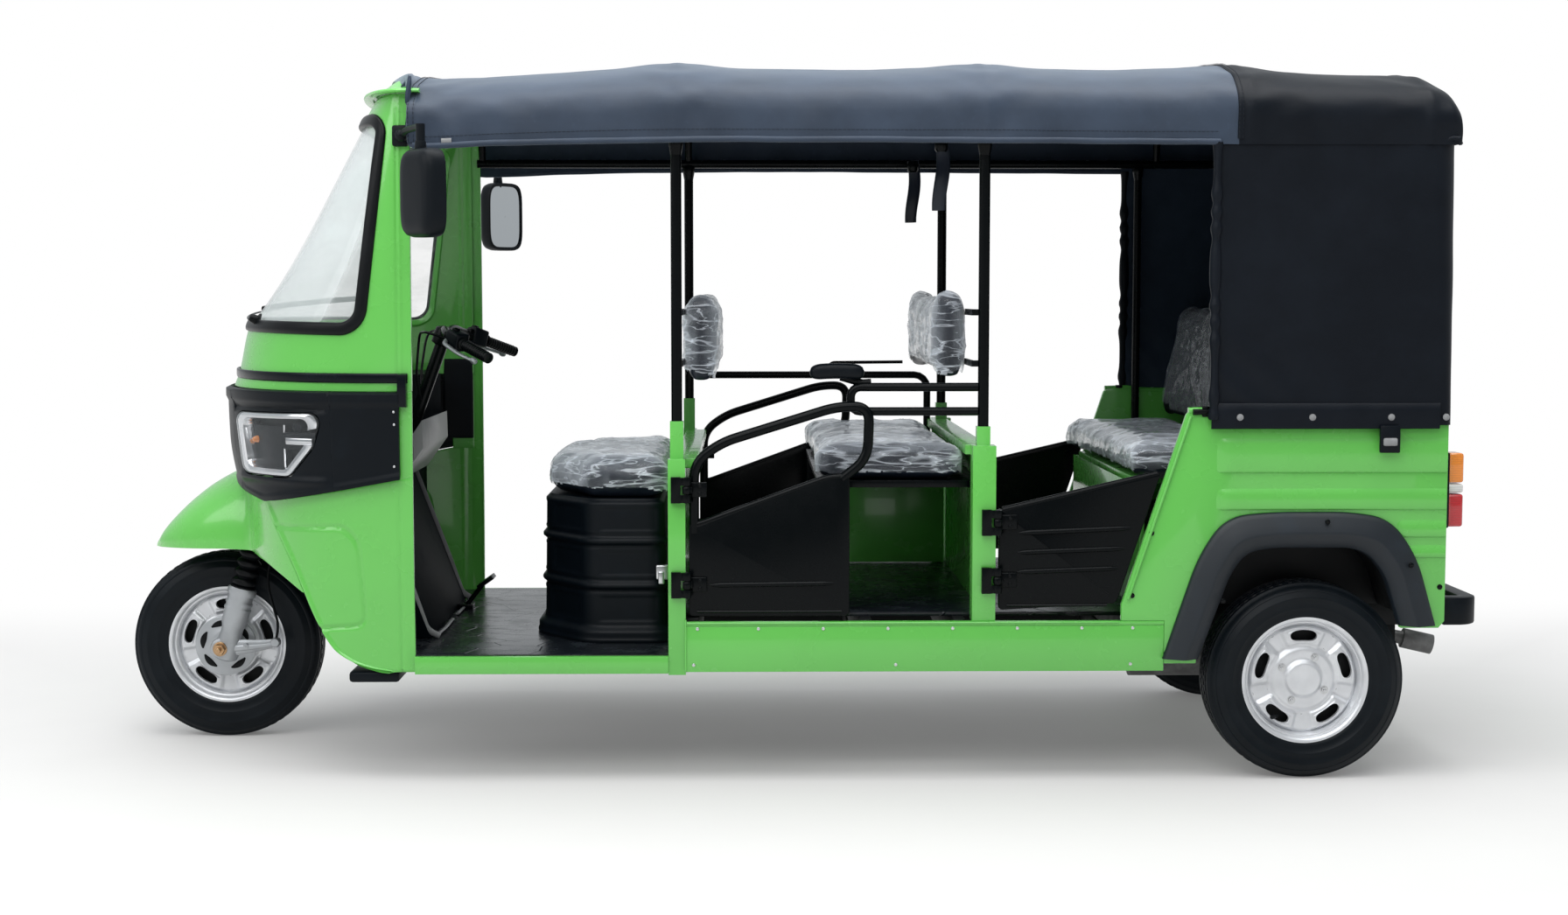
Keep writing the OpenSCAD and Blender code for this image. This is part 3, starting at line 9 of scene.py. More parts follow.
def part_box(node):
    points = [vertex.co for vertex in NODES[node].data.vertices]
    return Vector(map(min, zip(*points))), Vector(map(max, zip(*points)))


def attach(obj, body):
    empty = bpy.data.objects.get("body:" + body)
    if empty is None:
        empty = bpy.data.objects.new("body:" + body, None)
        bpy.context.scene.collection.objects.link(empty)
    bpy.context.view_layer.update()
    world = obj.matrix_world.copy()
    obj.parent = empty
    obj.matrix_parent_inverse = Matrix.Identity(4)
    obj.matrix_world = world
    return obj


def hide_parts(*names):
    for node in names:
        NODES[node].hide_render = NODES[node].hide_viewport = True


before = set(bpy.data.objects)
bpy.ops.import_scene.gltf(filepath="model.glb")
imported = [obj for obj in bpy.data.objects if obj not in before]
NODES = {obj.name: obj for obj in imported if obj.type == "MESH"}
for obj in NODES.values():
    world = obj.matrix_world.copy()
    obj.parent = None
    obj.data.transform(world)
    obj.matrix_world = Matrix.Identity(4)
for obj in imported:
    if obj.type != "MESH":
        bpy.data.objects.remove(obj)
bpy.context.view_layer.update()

bl_info = {
    "name": "Passenger tricycle",
    "version": (1, 0, 0),
    "blender": (4, 5, 0),
    "location": "View3D > Sidebar > Tricycle",
    "description": "Dresses the packed tricycle with paint, canopy cloth, cushions, wheels and trim",
    "category": "Object",
}

NOISE_SEED = 11
noise.seed_set(NOISE_SEED)  # noise_vector would start from the clock
SIDES = (-1, 1)
QUARTER = pi / 2

# Stations of the vehicle in metres
FRONT_AXLE = sum(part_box("front_tyre"), Vector()) / 2
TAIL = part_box("tail_panel")[1].x
CAB_REAR, SILL, FASCIA_TOP, COWL_TOP = -0.925, 0.282, 1.0, 1.748
BODY, DOOR_FACE = 0.64, 0.632
B_POST, C_POST, HOOP_X = -0.257, 0.524, 1.185


def colour_setting(name, note, default):
    return bpy.props.FloatVectorProperty(
        name=name, description=note, subtype="COLOR", size=3, min=0, max=1, default=default)


def length_setting(name, note, default):
    return bpy.props.FloatProperty(
        name=name, description=note, subtype="DISTANCE", unit="LENGTH", default=default)


class TricycleColours(bpy.types.PropertyGroup):
    """Colours of the paint, cloth and plastics"""

    green: colour_setting("Body green", "Gloss paint of the body panels", (0.116, 0.478, 0.078))
    cloth: colour_setting("Canopy", "Coated cloth of the canopy", (0.023, 0.034, 0.054))
    plastic: colour_setting("Black plastic", "Fascia, flares, bumper and mirrors", (0.0016, 0.0034, 0.0056))
    enamel: colour_setting("Black enamel", "Tubes, rails and doors", (0.001, 0.0019, 0.0024))
    vinyl: colour_setting("Seat vinyl", "Covers under the clear film", (0.007, 0.0105, 0.018))
    silver: colour_setting("Wheel silver", "Sprayed steel wheels", (0.72, 0.735, 0.76))


class TricycleCanopy(bpy.types.PropertyGroup):
    """Sizes of the canopy cloth"""

    cloth: length_setting("Cloth", "Thickness of the coated cloth", 0.004)
    wrinkle: length_setting("Wrinkle", "Depth of the drawn wrinkles", 0.003)
    stitch: length_setting("Stitch", "Distance between two stitches", 0.011)


class TricycleWheels(bpy.types.PropertyGroup):
    """Sizes of the tyres' tread"""

    blocks: bpy.props.IntProperty(
        name="Blocks", description="Tread blocks round a tyre", default=64, min=24, max=120)
    depth: length_setting("Tread depth", "Height of the tread blocks", 0.006)


class TricycleSeats(bpy.types.PropertyGroup):
    """Sizes of the cushions and their film"""

    voxel: length_setting("Voxel", "Grid of the cushions before they are inflated", 0.013)
    swell: length_setting("Swell", "How far a cushion's skin may move", 0.016)
    lift: length_setting("Film lift", "Distance of the clear film from the cover", 0.0035)
    crinkle: length_setting("Crinkle", "Height of the film's folds", 0.007)


class TricycleStage(bpy.types.PropertyGroup):
    """Light and floor of the studio"""

    floor: colour_setting("Floor", "Pale studio floor", (0.56, 0.553, 0.545))
    sky: bpy.props.FloatProperty(name="Sky", description="Strength of the soft dome", default=0.8, min=0)
    key: bpy.props.FloatProperty(
        name="Key", description="Power of the overhead soft box", subtype="POWER", default=330, min=0)


SETTINGS = {"tricycle_colours": TricycleColours, "tricycle_canopy": TricycleCanopy, "tricycle_wheels": TricycleWheels,
            "tricycle_seats": TricycleSeats, "tricycle_stage": TricycleStage}


def settings(name):
    return getattr(bpy.context.scene, "tricycle_" + name)


# Shader maths


class Value:
    """One output of a finish, so that sums and products of values add Math nodes."""

    def __init__(self, finish, socket):
        self.finish, self.socket = finish, socket

    def maths(self, operation, other=0.0):
        return self.finish.node("Math", {"operation": operation}, {0: self, 1: other})[0]

    def __add__(self, other):
        return self.maths("ADD", other)

    def __mul__(self, other):
        return self.maths("MULTIPLY", other)

    def __sub__(self, other):
        return self.maths("SUBTRACT", other)

    def __pow__(self, other):
        return self.maths("POWER", other)

    def above(self, low, high):
        """0 under low, 1 over high and a soft step between"""
        ends = {"Value": self, "From Min": low, "From Max": high}
        return self.finish.node("MapRange", {"interpolation_type": "SMOOTHSTEP"}, ends)[0]


class Outputs:
    def __init__(self, finish, node):
        self.finish, self.node = finish, node

    def __getitem__(self, key):
        return Value(self.finish, self.node.outputs[key])


class Finish:
    """A material and the one method that adds a node to it"""

    def __init__(self, name):
        self.material = bpy.data.materials.new(name)
        self.material.use_nodes = True
        self.tree = self.material.node_tree
        self.tree.nodes.clear()
        self.end = self.tree.nodes.new("ShaderNodeOutputMaterial")

    def node(self, kind, set_first=None, sockets=None):
        node = self.tree.nodes.new("ShaderNode" + kind)
        for key, value in (set_first or {}).items():
            setattr(node, key, value)
        for key, value in (sockets or {}).items():
            if isinstance(value, Value):
                self.tree.links.new(value.socket, node.inputs[key])
            else:
                node.inputs[key].default_value = value
        return Outputs(self, node)

    def place(self, scale=(1, 1, 1), turn=(0, 0, 0)):
        at = self.node("TexCoord")["Object"]
        return self.node("Mapping", {}, {"Vector": at, "Scale": scale, "Rotation": turn})["Vector"]

    def noise(self, scale, detail=2.0, rough=0.5, at=None, warp=0.0):
        sockets = {"Scale": scale, "Detail": detail, "Roughness": rough, "Distortion": warp}
        return self.node("TexNoise", {}, {"Vector": at or self.place(), **sockets})["Fac"]

    def cells(self, scale, at=None, feature="F1"):
        sockets = {"Scale": scale, "Vector": at or self.place()}
        return self.node("TexVoronoi", {"feature": feature}, sockets)["Distance"]

    def wave(self, direction, scale, warp=0.0):
        sockets = {"Vector": self.place(), "Scale": scale, "Distortion": warp}
        return self.node("TexWave", {"bands_direction": direction}, sockets)["Fac"]

    def blend(self, share, first, second):
        return self.node("Mix", {"data_type": "RGBA"}, {0: share, 6: first, 7: second})[2]

    def bump(self, height, strength, depth):
        return self.node("Bump", {}, {"Height": height, "Strength": strength, "Distance": depth})["Normal"]

    def close(self, shader):
        self.tree.links.new(shader.socket, self.end.inputs["Surface"])
        return self.material

    def surface(self, **sockets):
        names = {key.replace("_", " "): value for key, value in sockets.items()}
        return self.node("BsdfPrincipled", {}, names)["BSDF"]


def scaled(colour, gain):
    return tuple(min(1.0, c * gain) for c in colour)


def rgba(colour, gain=1.0):
    return (*scaled(colour, gain), 1.0)


def worn(name, colour, second, mask, edge, rough, grain, relief, **more):
    """Finish with two tones: a noise mask mixes them and roughens the second; grain gives the relief"""
    f = Finish(name)
    mark = f.noise(*mask).above(*edge)
    tone = f.blend(mark, rgba(colour), rgba(second))
    return f.close(f.surface(Base_Color=tone, Roughness=mark * rough[1] + rough[0],
                             Normal=f.bump(grain(f), *relief), **more))


def moulded_plastic(name, colour, rough=0.42, shine=0.15):
    """Grained moulding with paler handling marks"""
    return worn(name, colour, scaled(colour, 1.9), (7, 5, 0.65), (0.5, 0.85), (rough, 0.1),
                lambda f: f.cells(900) * 0.7 + f.noise(1500, 1) * 0.5, (0.16, 0.0006), Specular_IOR_Level=shine)


def seat_cover(name, colour):
    """Leather-grained vinyl"""
    return worn(name, colour, scaled(colour, 1.8), (6, 4), (0.3, 0.8), (0.34, 0.08),
                lambda f: f.cells(420) + f.noise(700, 2) * 0.4, (0.35, 0.0008), Specular_IOR_Level=0.35)


def tyre_rubber(name):
    """Black rubber with ozone bloom and fine mould lines"""
    return worn(name, (0.0024, 0.0044, 0.0066), (0.005, 0.008, 0.011), (9, 5, 0.6), (0.35, 0.8), (0.4, 0.1),
                lambda f: f.noise(520, 2) + f.noise(40, 3) * 0.5, (0.1, 0.0008), Specular_IOR_Level=0.16)


def sprayed_metal(name, colour, metal=0.55, rough=0.34, grain=600.0):
    """Silver lacquer on steel, or a rougher casting when the grain is coarse"""
    return worn(name, colour, scaled(colour, 0.82), (14, 4), (0.3, 0.8), (rough, 0.1),
                lambda f: f.noise(grain, 3), (0.12, 0.0008), Metallic=metal)


def bare_steel(name, colour, rough):
    """Dull chassis steel with road film"""
    return worn(name, colour, scaled(colour, 1.8), (18, 6, 0.65), (0.4, 0.75), (rough, 0.15),
                lambda f: f.noise(260, 4), (0.15, 0.001), Metallic=0.15, Specular_IOR_Level=0.25)


def floor_mat(name):
    """Black rubber mat with lying creases and trodden dust"""
    def relief(f):
        crease = f.cells(7.5, f.place((1, 1.6, 1), (0, 0, 0.4)), "DISTANCE_TO_EDGE").above(0.03, 0.0)
        return crease * 0.8 + f.noise(6, 3) + f.noise(300, 2) * 0.08

    return worn(name, (0.006, 0.008, 0.011), (0.02, 0.025, 0.032), (12, 5, 0.6), (0.42, 0.8), (0.24, 0.12),
                relief, (0.35, 0.004), Specular_IOR_Level=0.6)


def gloss_paint(name, colour):
    """Sprayed gloss paint with a little orange peel and a breath of dust"""
    f = Finish(name)
    tone = f.blend(f.noise(2.3, 3).above(0.35, 0.75), rgba(colour), rgba(colour, 0.94))
    dust = f.noise(12, 3).above(0.45, 0.8)
    return f.close(f.surface(
        Base_Color=tone, Roughness=dust * 0.05 + 0.26, Coat_Weight=0.4, Coat_Roughness=0.05,
        Normal=f.bump(f.noise(210, 1), 0.02, 0.0005)))


def coated_cloth(name, colour, sheen=0.0, shine=0.22):
    """Vinyl-coated canvas: fine weave, faint blotches, dull sheen on the ridges"""
    f = Finish(name)
    blotch = f.noise(5.5, 5, 0.6).above(0.3, 0.8)
    scuff = f.noise(60, 5, 0.7).above(0.55, 0.85)
    tone = f.blend(scuff * 0.25, f.blend(blotch, rgba(colour), rgba(colour, 1.45)), rgba(colour, 2.6))
    puckers = f.noise(16, 3, 0.55, f.place((1, 1, 2.2)))
    weave = f.wave("X", 190.0, 0.4) * f.wave("Z", 190.0, 0.4)
    return f.close(f.surface(
        Base_Color=tone, Roughness=blotch * 0.08 + 0.4, Specular_IOR_Level=shine, Sheen_Weight=sheen,
        Sheen_Roughness=0.45, Sheen_Tint=(0.72, 0.84, 1.0, 1),
        Normal=f.bump(weave * 0.35 + f.noise(420, 2) * 0.4 + puckers * 2, 0.22, 0.0012)))


def enamel(name, colour):
    """Gloss black enamel on tube and pressed sheet"""
    f = Finish(name)
    flow = f.noise(24, 3)
    tone = f.blend(f.noise(90, 5, 0.7).above(0.66, 0.8), rgba(colour), rgba(colour, 3.0))
    return f.close(f.surface(
        Base_Color=tone, Roughness=flow * 0.1 + 0.22, Specular_IOR_Level=0.12, Normal=f.bump(flow, 0.05, 0.001)))


def clear_film(name, milk=1.0):
    """Thin wrapping film: nearly clear where it lies flat, milky along its folds"""
    f = Finish(name)
    fold = f.node("Attribute", {"attribute_name": "fold"})["Fac"]
    slant = f.node("LayerWeight", {}, {"Blend": 0.5})["Facing"]
    fine = f.noise(9, 2, 0.45, f.place((0.55, 1.0, 3.2), (0.0, 0.32, 0.15)), 0.25)
    cross = f.noise(12, 2, 0.45, f.place((0.8, 0.8, 3.6), (0.3, -0.75, 0.5)), 0.25)
    streak = (fine - 0.5).maths("ABSOLUTE").above(0.05, 0.0)
    glint = (cross - 0.5).maths("ABSOLUTE").above(0.026, 0.0)
    # Painted reflection: the pale film colour shows more the further the film turns from the camera; streak and glint
    # add painted highlights along the creases
    milk_and_painted_reflection = slant ** 1.2 * 0.84 + streak * 0.38 + glint * 0.34 + fold.above(0.5, 0.95) * 0.08 + 0.03
    return f.close(f.surface(
        Base_Color=(0.78, 0.84, 0.92, 1), Roughness=streak * 0.1 + 0.1, Alpha=milk_and_painted_reflection * milk,
        Specular_IOR_Level=0.8, Normal=f.bump(fine + cross * 0.6, 0.6, 0.006)))


def bright_metal(name, colour, rough):
    """Plated or turned metal with fine wipe marks"""
    f = Finish(name)
    wipe = f.noise(150, 3, 0.6, f.place((1, 6, 1)))
    return f.close(f.surface(
        Base_Color=f.blend(wipe * 0.2, rgba(colour), rgba(colour, 0.7)), Metallic=1.0, Roughness=wipe * 0.08 + rough))


def pane(name, tint, clear, haze):
    """Clear pane: see-through face on, mirror-like at a slant"""
    f = Finish(name)
    slant = f.node("LayerWeight", {}, {"Blend": 0.35})["Fresnel"]
    smear = f.noise(3.2, 4, 0.6, f.place((1, 1, 2.5))).above(0.42, 0.8) * haze
    # Painted reflection: the alpha of the pale tint rises with the Fresnel slant
    return f.close(f.surface(
        Base_Color=rgba(tint), Roughness=smear * 0.2 + 0.03, Alpha=slant * 0.45 + smear + clear,
        Specular_IOR_Level=0.7))


def lamp_glass(name, colour):
    """Coloured ribbed lens"""
    f = Finish(name)
    ribs = f.wave("Z", 70.0)
    return f.close(f.surface(
        Base_Color=f.blend(ribs * 0.5, rgba(colour), rgba(colour, 0.62)), Roughness=f.noise(30, 2) * 0.06 + 0.16,
        Coat_Weight=0.8, Coat_Roughness=0.04, Normal=f.bump(ribs, 0.4, 0.002)))


def looking_glass(name):
    f = Finish(name)
    haze = f.noise(5, 3).above(0.4, 0.8)
    return f.close(f.surface(
        Base_Color=(0.82, 0.85, 0.87, 1), Metallic=1.0, Roughness=haze * 0.03 + 0.02))


FINISHES = {}


def mix_finishes():
    tone = settings("colours")
    FINISHES.update({
        "green": gloss_paint("body_green", tone.green),
        "cloth": coated_cloth("canopy_cloth", tone.cloth, 0.45),
        "rear_cloth": coated_cloth("curtain_cloth", scaled(tone.cloth, 0.16), 0.0, 0.12),
        "lining": coated_cloth("canopy_lining", scaled(tone.cloth, 0.95), 0.0, 0.1),
        "plastic": moulded_plastic("black_plastic", tone.plastic),
        "gloss_plastic": moulded_plastic("gloss_black_plastic", tone.plastic, 0.24),
        # Flares: black plastic made 2.2 times paler, a painted highlight for the light on their tops
        "flare": moulded_plastic("satin_black_plastic", scaled(tone.plastic, 2.2), 0.5, 0.45),
        "shield": moulded_plastic("matte_black_plastic", tone.plastic, 0.62, 0.03),
        "grey": moulded_plastic("grey_plastic", (0.235, 0.24, 0.245), 0.36),
        "rubber": moulded_plastic("seal_rubber", (0.0028, 0.0036, 0.0045), 0.34),
        "enamel": enamel("black_enamel", tone.enamel),
        "vinyl": seat_cover("seat_vinyl", tone.vinyl),
        # shaded_vinyl and shaded_film are painted shade for the rear backrest: darker vinyl and a thinner, less milky
        # film
        "shaded_vinyl": moulded_plastic("shaded_vinyl", tone.plastic, 0.6, 0.03),
        "film": clear_film("clear_film"),
        "shaded_film": clear_film("shaded_film", 0.22),
        "tyre": tyre_rubber("tyre_rubber"),
        "silver": sprayed_metal("wheel_silver", tone.silver),
        "casting": sprayed_metal("cast_alloy", (0.44, 0.46, 0.48), 0.75, 0.42, 170.0),
        "chrome": bright_metal("chrome_plate", (0.8, 0.81, 0.83), 0.09),
        "steel": bright_metal("zinc_screw", (0.62, 0.63, 0.64), 0.26),
        "brass": bright_metal("brass_nut", (0.56, 0.36, 0.2), 0.3),
        "pane": pane("window_pane", (0.8, 0.86, 0.86), 0.05, 0.16),
        "lens": pane("lamp_cover", (0.78, 0.83, 0.86), 0.02, 0.02),
        "amber": lamp_glass("amber_lens", (0.86, 0.26, 0.02)),
        "white_lens": lamp_glass("clear_lens", (0.72, 0.72, 0.7)),
        "red": lamp_glass("red_lens", (0.52, 0.012, 0.018)),
        "mat": floor_mat("floor_mat"),
        "under": bare_steel("chassis_black", (0.004, 0.0046, 0.0054), 0.52),
        "iron": bare_steel("engine_iron", (0.13, 0.13, 0.13), 0.48),
        "glass": looking_glass("mirror_glass"),
        "thread": moulded_plastic("seam_thread", (0.012, 0.015, 0.021), 0.6),
    })


# Shapes


def vec(*parts):
    return Vector(parts)


def mm(*rows):
    """Rows of a table given in millimetres"""
    return [tuple(c / 1000 for c in row) for row in rows]


def clamp(value, low=0.0, high=1.0):
    return max(low, min(high, value))


def mixed(a, b, share):
    return a + (b - a) * share


def soft_step(value, low, high):
    share = clamp((value - low) / (high - low))
    return share * share * (3 - 2 * share)


def bell(far, width):
    return exp(-(far / width) ** 2)


def signed(value, power):
    return copysign(abs(value) ** power, value)


def steps(low, high, count):
    return [mixed(low, high, i / (count - 1)) for i in range(count)]


def unit(count):
    return steps(0, 1, count)


def circle(count):
    return [tau * (i / count) for i in range(count)]


class Track:
    """Smooth curve without overshoot through the rows of a table given in millimetres"""

    def __init__(self, *rows):
        self.at, *columns = ([c / 1000 for c in column] for column in zip(*rows))
        self.columns = []
        for values in columns:
            rise = [(b - a) / (d - c) for a, b, c, d in zip(values, values[1:], self.at, self.at[1:])]
            slope = [2 * a * b / (a + b) if a * b > 0 else 0 for a, b in zip(rise, rise[1:])]
            self.columns.append((values, [rise[0], *slope, rise[-1]]))

    def __call__(self, place, column=0):
        values, slope = self.columns[column]
        place = clamp(place, self.at[0], self.at[-1])
        i = max(k for k in range(len(self.at) - 1) if k == 0 or self.at[k] <= place)
        width = self.at[i + 1] - self.at[i]
        s = (place - self.at[i]) / width
        return ((1 + 2 * s) * (1 - s) ** 2 * values[i] + s * (1 - s) ** 2 * width * slope[i]
                + s * s * (3 - 2 * s) * values[i + 1] + s * s * (s - 1) * width * slope[i + 1])


def straight(rows, place):
    """Value at a place on straight lines between rows given in metres"""
    if place <= rows[0][0]:
        return rows[0][1]
    for (a, b), (c, d) in zip(rows, rows[1:]):
        if place <= c:
            return mixed(b, d, (place - a) / (c - a))
    return rows[-1][1]


def bent(path, radius, count=6):
    """A path of points with its corners rounded"""
    path = [Vector(p) for p in path]
    points = [path[0]]
    for before, corner, after in zip(path, path[1:], path[2:]):
        inward, outward = before - corner, after - corner
        if inward.length < 1e-6 or outward.length < 1e-6:
            continue
        reach = min(radius, inward.length * 0.49, outward.length * 0.49)
        a, b = corner + inward.normalized() * reach, corner + outward.normalized() * reach
        points += [a * (1 - s) ** 2 + corner * 2 * s * (1 - s) + b * s * s for s in unit(count)]
    return points + [path[-1]]


def resampled(path, count, closed=False):
    """Evenly spaced points along a path"""
    path = [Vector(p) for p in path] + ([Vector(path[0])] if closed else [])
    far = [0.0]
    for a, b in zip(path, path[1:]):
        far.append(far[-1] + (b - a).length)
    result, i = [], 0
    for k in range(count):
        want = far[-1] * k / (count if closed else count - 1)
        while i < len(path) - 2 and far[i + 1] < want:
            i += 1
        span = far[i + 1] - far[i]
        result.append(path[i].lerp(path[i + 1], clamp((want - far[i]) / span) if span else 0.0))
    return result


def path_length(path):
    return sum((b - a).length for a, b in zip(path, path[1:]))


def mirrored(points):
    return [vec(p[0], -p[1], p[2]) for p in points]


class Maker:
    """Gathers the surfaces of one piece, each with the number of its finish"""

    def __init__(self):
        self.points, self.faces, self.kinds = [], [], []

    def add(self, points, faces, kind=0):
        first = len(self.points)
        self.points += [Vector(p) for p in points]
        self.faces += [tuple(first + i for i in face) for face in faces]
        self.kinds += [kind] * len(faces)
        return self

    def grid(self, rows, kind=0, closed=False, round_ends=False):
        """Skin over rows of points; closed joins the last point of a row to its first"""
        n, faces = len(rows[0]), []
        points = [p for row in rows for p in row]
        for r in range(len(rows) - 1):
            for c in range(n if closed else n - 1):
                d = (c + 1) % n
                faces.append((r * n + c, r * n + d, (r + 1) * n + d, (r + 1) * n + c))
        if round_ends:
            for row, flip in ((0, True), (len(rows) - 1, False)):
                ring = [row * n + c for c in range(n)]
                points.append(sum((Vector(p) for p in rows[row]), Vector()) / n)
                for a, b in zip(ring, ring[1:] + ring[:1]):
                    faces.append((b, a, len(points) - 1) if flip else (a, b, len(points) - 1))
        return self.add(points, faces, kind)

    def tube(self, path, radius, sides=16, kind=0, flat=1.0, up=None):
        """Tube along a path; radius may be a function of the share along it"""
        path = [Vector(p) for p in path]
        rows, side, last = [], None, len(path) - 1
        for i, point in enumerate(path):
            along = (path[min(i + 1, last)] - path[max(i - 1, 0)]).normalized()
            if side is None:
                side = along.cross(up or (vec(0, 0, 1) if abs(along.z) < 0.9 else vec(1, 0, 0)))
            side = (side - along * side.dot(along)).normalized()
            cross = along.cross(side)
            r = radius(i / max(1, last)) if callable(radius) else radius
            rows.append([point + side * (r * cos(a)) + cross * (r * flat * sin(a)) for a in circle(sides)])
        return self.grid(rows, kind, True, True)

    def lathe(self, profile, centre, axis, count=48, kind=0, closed=False):
        """Turns (radius, distance along the axis) points about an axis"""
        axis, centre = Vector(axis).normalized(), Vector(centre)
        side = vec(1, 0, 0) if abs(axis.y) > 0.99 else axis.orthogonal().normalized()
        cross = axis.cross(side)
        rows = [[centre + axis * far + (side * cos(a) + cross * sin(a)) * max(radius, 1e-5) for a in circle(count)]
                for radius, far in profile]
        return self.grid(rows + ([rows[0]] if closed else []), kind, True)

    def mesh(self, made, kind=0):
        """Takes the faces of a bmesh and frees it"""
        made.verts.ensure_lookup_table()
        made.verts.index_update()
        self.add([v.co.copy() for v in made.verts], [[v.index for v in f.verts] for f in made.faces], kind)
        made.free()
        return self

    def block(self, low, high, radius, count=2, kind=0, turn=None):
        """Rounded block between two corners"""
        made = bmesh.new()
        bmesh.ops.create_cube(made, size=1.0)
        for v in made.verts:
            v.co = Vector(mixed(a, b, c + 0.5) for a, b, c in zip(Vector(low), Vector(high), v.co))
        bmesh.ops.bevel(made, geom=made.edges[:], offset=radius, segments=count, profile=0.5, affect="EDGES")
        if turn is not None:
            bmesh.ops.transform(made, matrix=turn, verts=made.verts)
        return self.mesh(made, kind)

    def side_block(self, side, low, high, *more):
        """Block on one side of the vehicle, its corners given as on the right"""
        y0, y1 = sorted((side * low[1], side * high[1]))
        return self.block((low[0], y0, low[2]), (high[0], y1, high[2]), *more)

    def slab(self, outline, place, start, end, radius):
        """Flat piece cut to an outline; place turns (u, v, depth) into a point"""
        made = bmesh.new()
        ring = [made.verts.new(place(u, v, start)) for u, v in outline]
        edges = [made.edges.new(pair) for pair in zip(ring, ring[1:] + ring[:1])]
        face = bmesh.ops.triangle_fill(made, edges=edges, use_beauty=True, use_dissolve=False)["geom"]
        face = [g for g in face if isinstance(g, bmesh.types.BMFace)]
        grown = bmesh.ops.extrude_face_region(made, geom=face)["geom"]
        shift = Vector(place(0, 0, end)) - Vector(place(0, 0, start))
        bmesh.ops.translate(made, vec=shift, verts=[g for g in grown if isinstance(g, bmesh.types.BMVert)])
        bmesh.ops.recalc_face_normals(made, faces=made.faces)
        bmesh.ops.dissolve_limit(made, angle_limit=0.001, verts=made.verts, edges=made.edges)
        rim = [e for e in made.edges if len(e.link_faces) == 2 and e.calc_face_angle(0) > 1.0]
        bmesh.ops.bevel(made, geom=rim, offset=radius, segments=2, profile=0.5, affect="EDGES")
        return self.mesh(made)

    def piece(self, name, finishes, body="chassis", node=None, slot=None, angle=35, recalc=True):
        """Turns what was gathered into one object that rides on a body"""
        mesh = bpy.data.meshes.new(name)
        mesh.from_pydata(self.points, [], self.faces)
        for finish in finishes.split():
            mesh.materials.append(FINISHES[finish])
        mesh.polygons.foreach_set("material_index", self.kinds)
        obj = linked(name, mesh)
        made = bmesh.new()
        made.from_mesh(mesh)
        bmesh.ops.remove_doubles(made, verts=made.verts, dist=1e-5)
        bmesh.ops.dissolve_degenerate(made, edges=made.edges, dist=1e-6)
        if recalc:
            bmesh.ops.recalc_face_normals(made, faces=made.faces)
        made.to_mesh(mesh)
        made.free()
        smooth(mesh, angle)
        if body:
            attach(obj, body)
        if node:
            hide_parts(node)
        return obj


def linked(name, data):
    obj = bpy.data.objects.new(name, data)
    bpy.context.scene.collection.objects.link(obj)
    return obj


def smooth(mesh, angle):
    mesh.polygons.foreach_set("use_smooth", [True] * len(mesh.polygons))
    mesh.set_sharp_from_angle(angle=radians(angle))


def settle(obj):
    """Keeps the shape that the modifiers give as a plain mesh"""
    graph = bpy.context.evaluated_depsgraph_get()
    graph.update()
    mesh = bpy.data.meshes.new_from_object(obj.evaluated_get(graph))
    old, obj.data = obj.data, mesh
    obj.modifiers.clear()
    bpy.data.meshes.remove(old)
    mesh.name = obj.name
    return obj


def thicken(obj, depth, round_off, angle, lining=0):
    """Gives a skin its thickness, inward, and rounds its edges"""
    shell = obj.modifiers.new("thickness", "SOLIDIFY")
    shell.thickness, shell.offset, shell.material_offset = depth, -1.0, lining
    if round_off:
        rim = obj.modifiers.new("rim", "BEVEL")
        rim.width, rim.segments, rim.limit_method, rim.angle_limit = round_off, 2, "ANGLE", radians(50)
    settle(obj)
    smooth(obj.data, angle)


def outward(rows, centre):
    """Rows in the order that makes the skin face away from a point"""
    middle, across = len(rows) // 2, len(rows[0]) // 2
    a, b, c = rows[middle][across], rows[middle][across - 1], rows[middle - 1][across]
    return rows if (b - a).cross(c - a).dot(a - Vector(centre)) > 0 else [row[::-1] for row in rows]


# Repeats


def repeat_tree():
    """Node tree that sets a small part on every point of a mesh, turned by its facing"""
    tree = bpy.data.node_groups.new("Repeat part", "GeometryNodeTree")
    for name, kind in (("Geometry", "Geometry"), ("Part", "Object"), ("Finish", "Material"), ("Size", "Float")):
        tree.interface.new_socket(name, in_out="INPUT", socket_type="NodeSocket" + kind)
    tree.interface.new_socket("Geometry", in_out="OUTPUT", socket_type="NodeSocketGeometry")

    def node(kind, **given):
        made = tree.nodes.new(kind)
        for key, value in given.items():
            setattr(made, key, value)
        return made

    start, end = node("NodeGroupInput"), node("NodeGroupOutput")
    part = node("GeometryNodeObjectInfo", transform_space="ORIGINAL")
    points, setting = node("GeometryNodeMeshToPoints"), node("GeometryNodeInstanceOnPoints")
    facing, along = (node("GeometryNodeInputNamedAttribute", data_type="FLOAT_VECTOR") for _ in range(2))
    facing.inputs["Name"].default_value, along.inputs["Name"].default_value = "facing", "along"
    first = node("FunctionNodeAlignRotationToVector", axis="Z")
    second = node("FunctionNodeAlignRotationToVector", axis="X", pivot_axis="Z")
    realize, paint = node("GeometryNodeRealizeInstances"), node("GeometryNodeSetMaterial")
    for a, out, b, into in (
            (start, "Geometry", points, "Mesh"), (start, "Part", part, "Object"), (start, "Size", setting, "Scale"),
            (points, "Points", setting, "Points"), (part, "Geometry", setting, "Instance"),
            (facing, "Attribute", first, "Vector"), (first, "Rotation", second, "Rotation"),
            (along, "Attribute", second, "Vector"), (second, "Rotation", setting, "Rotation"),
            (setting, "Instances", realize, "Geometry"), (realize, "Geometry", paint, "Geometry"),
            (start, "Finish", paint, "Material"), (paint, "Geometry", end, "Geometry")):
        tree.links.new(a.outputs[out], b.inputs[into])
    return tree


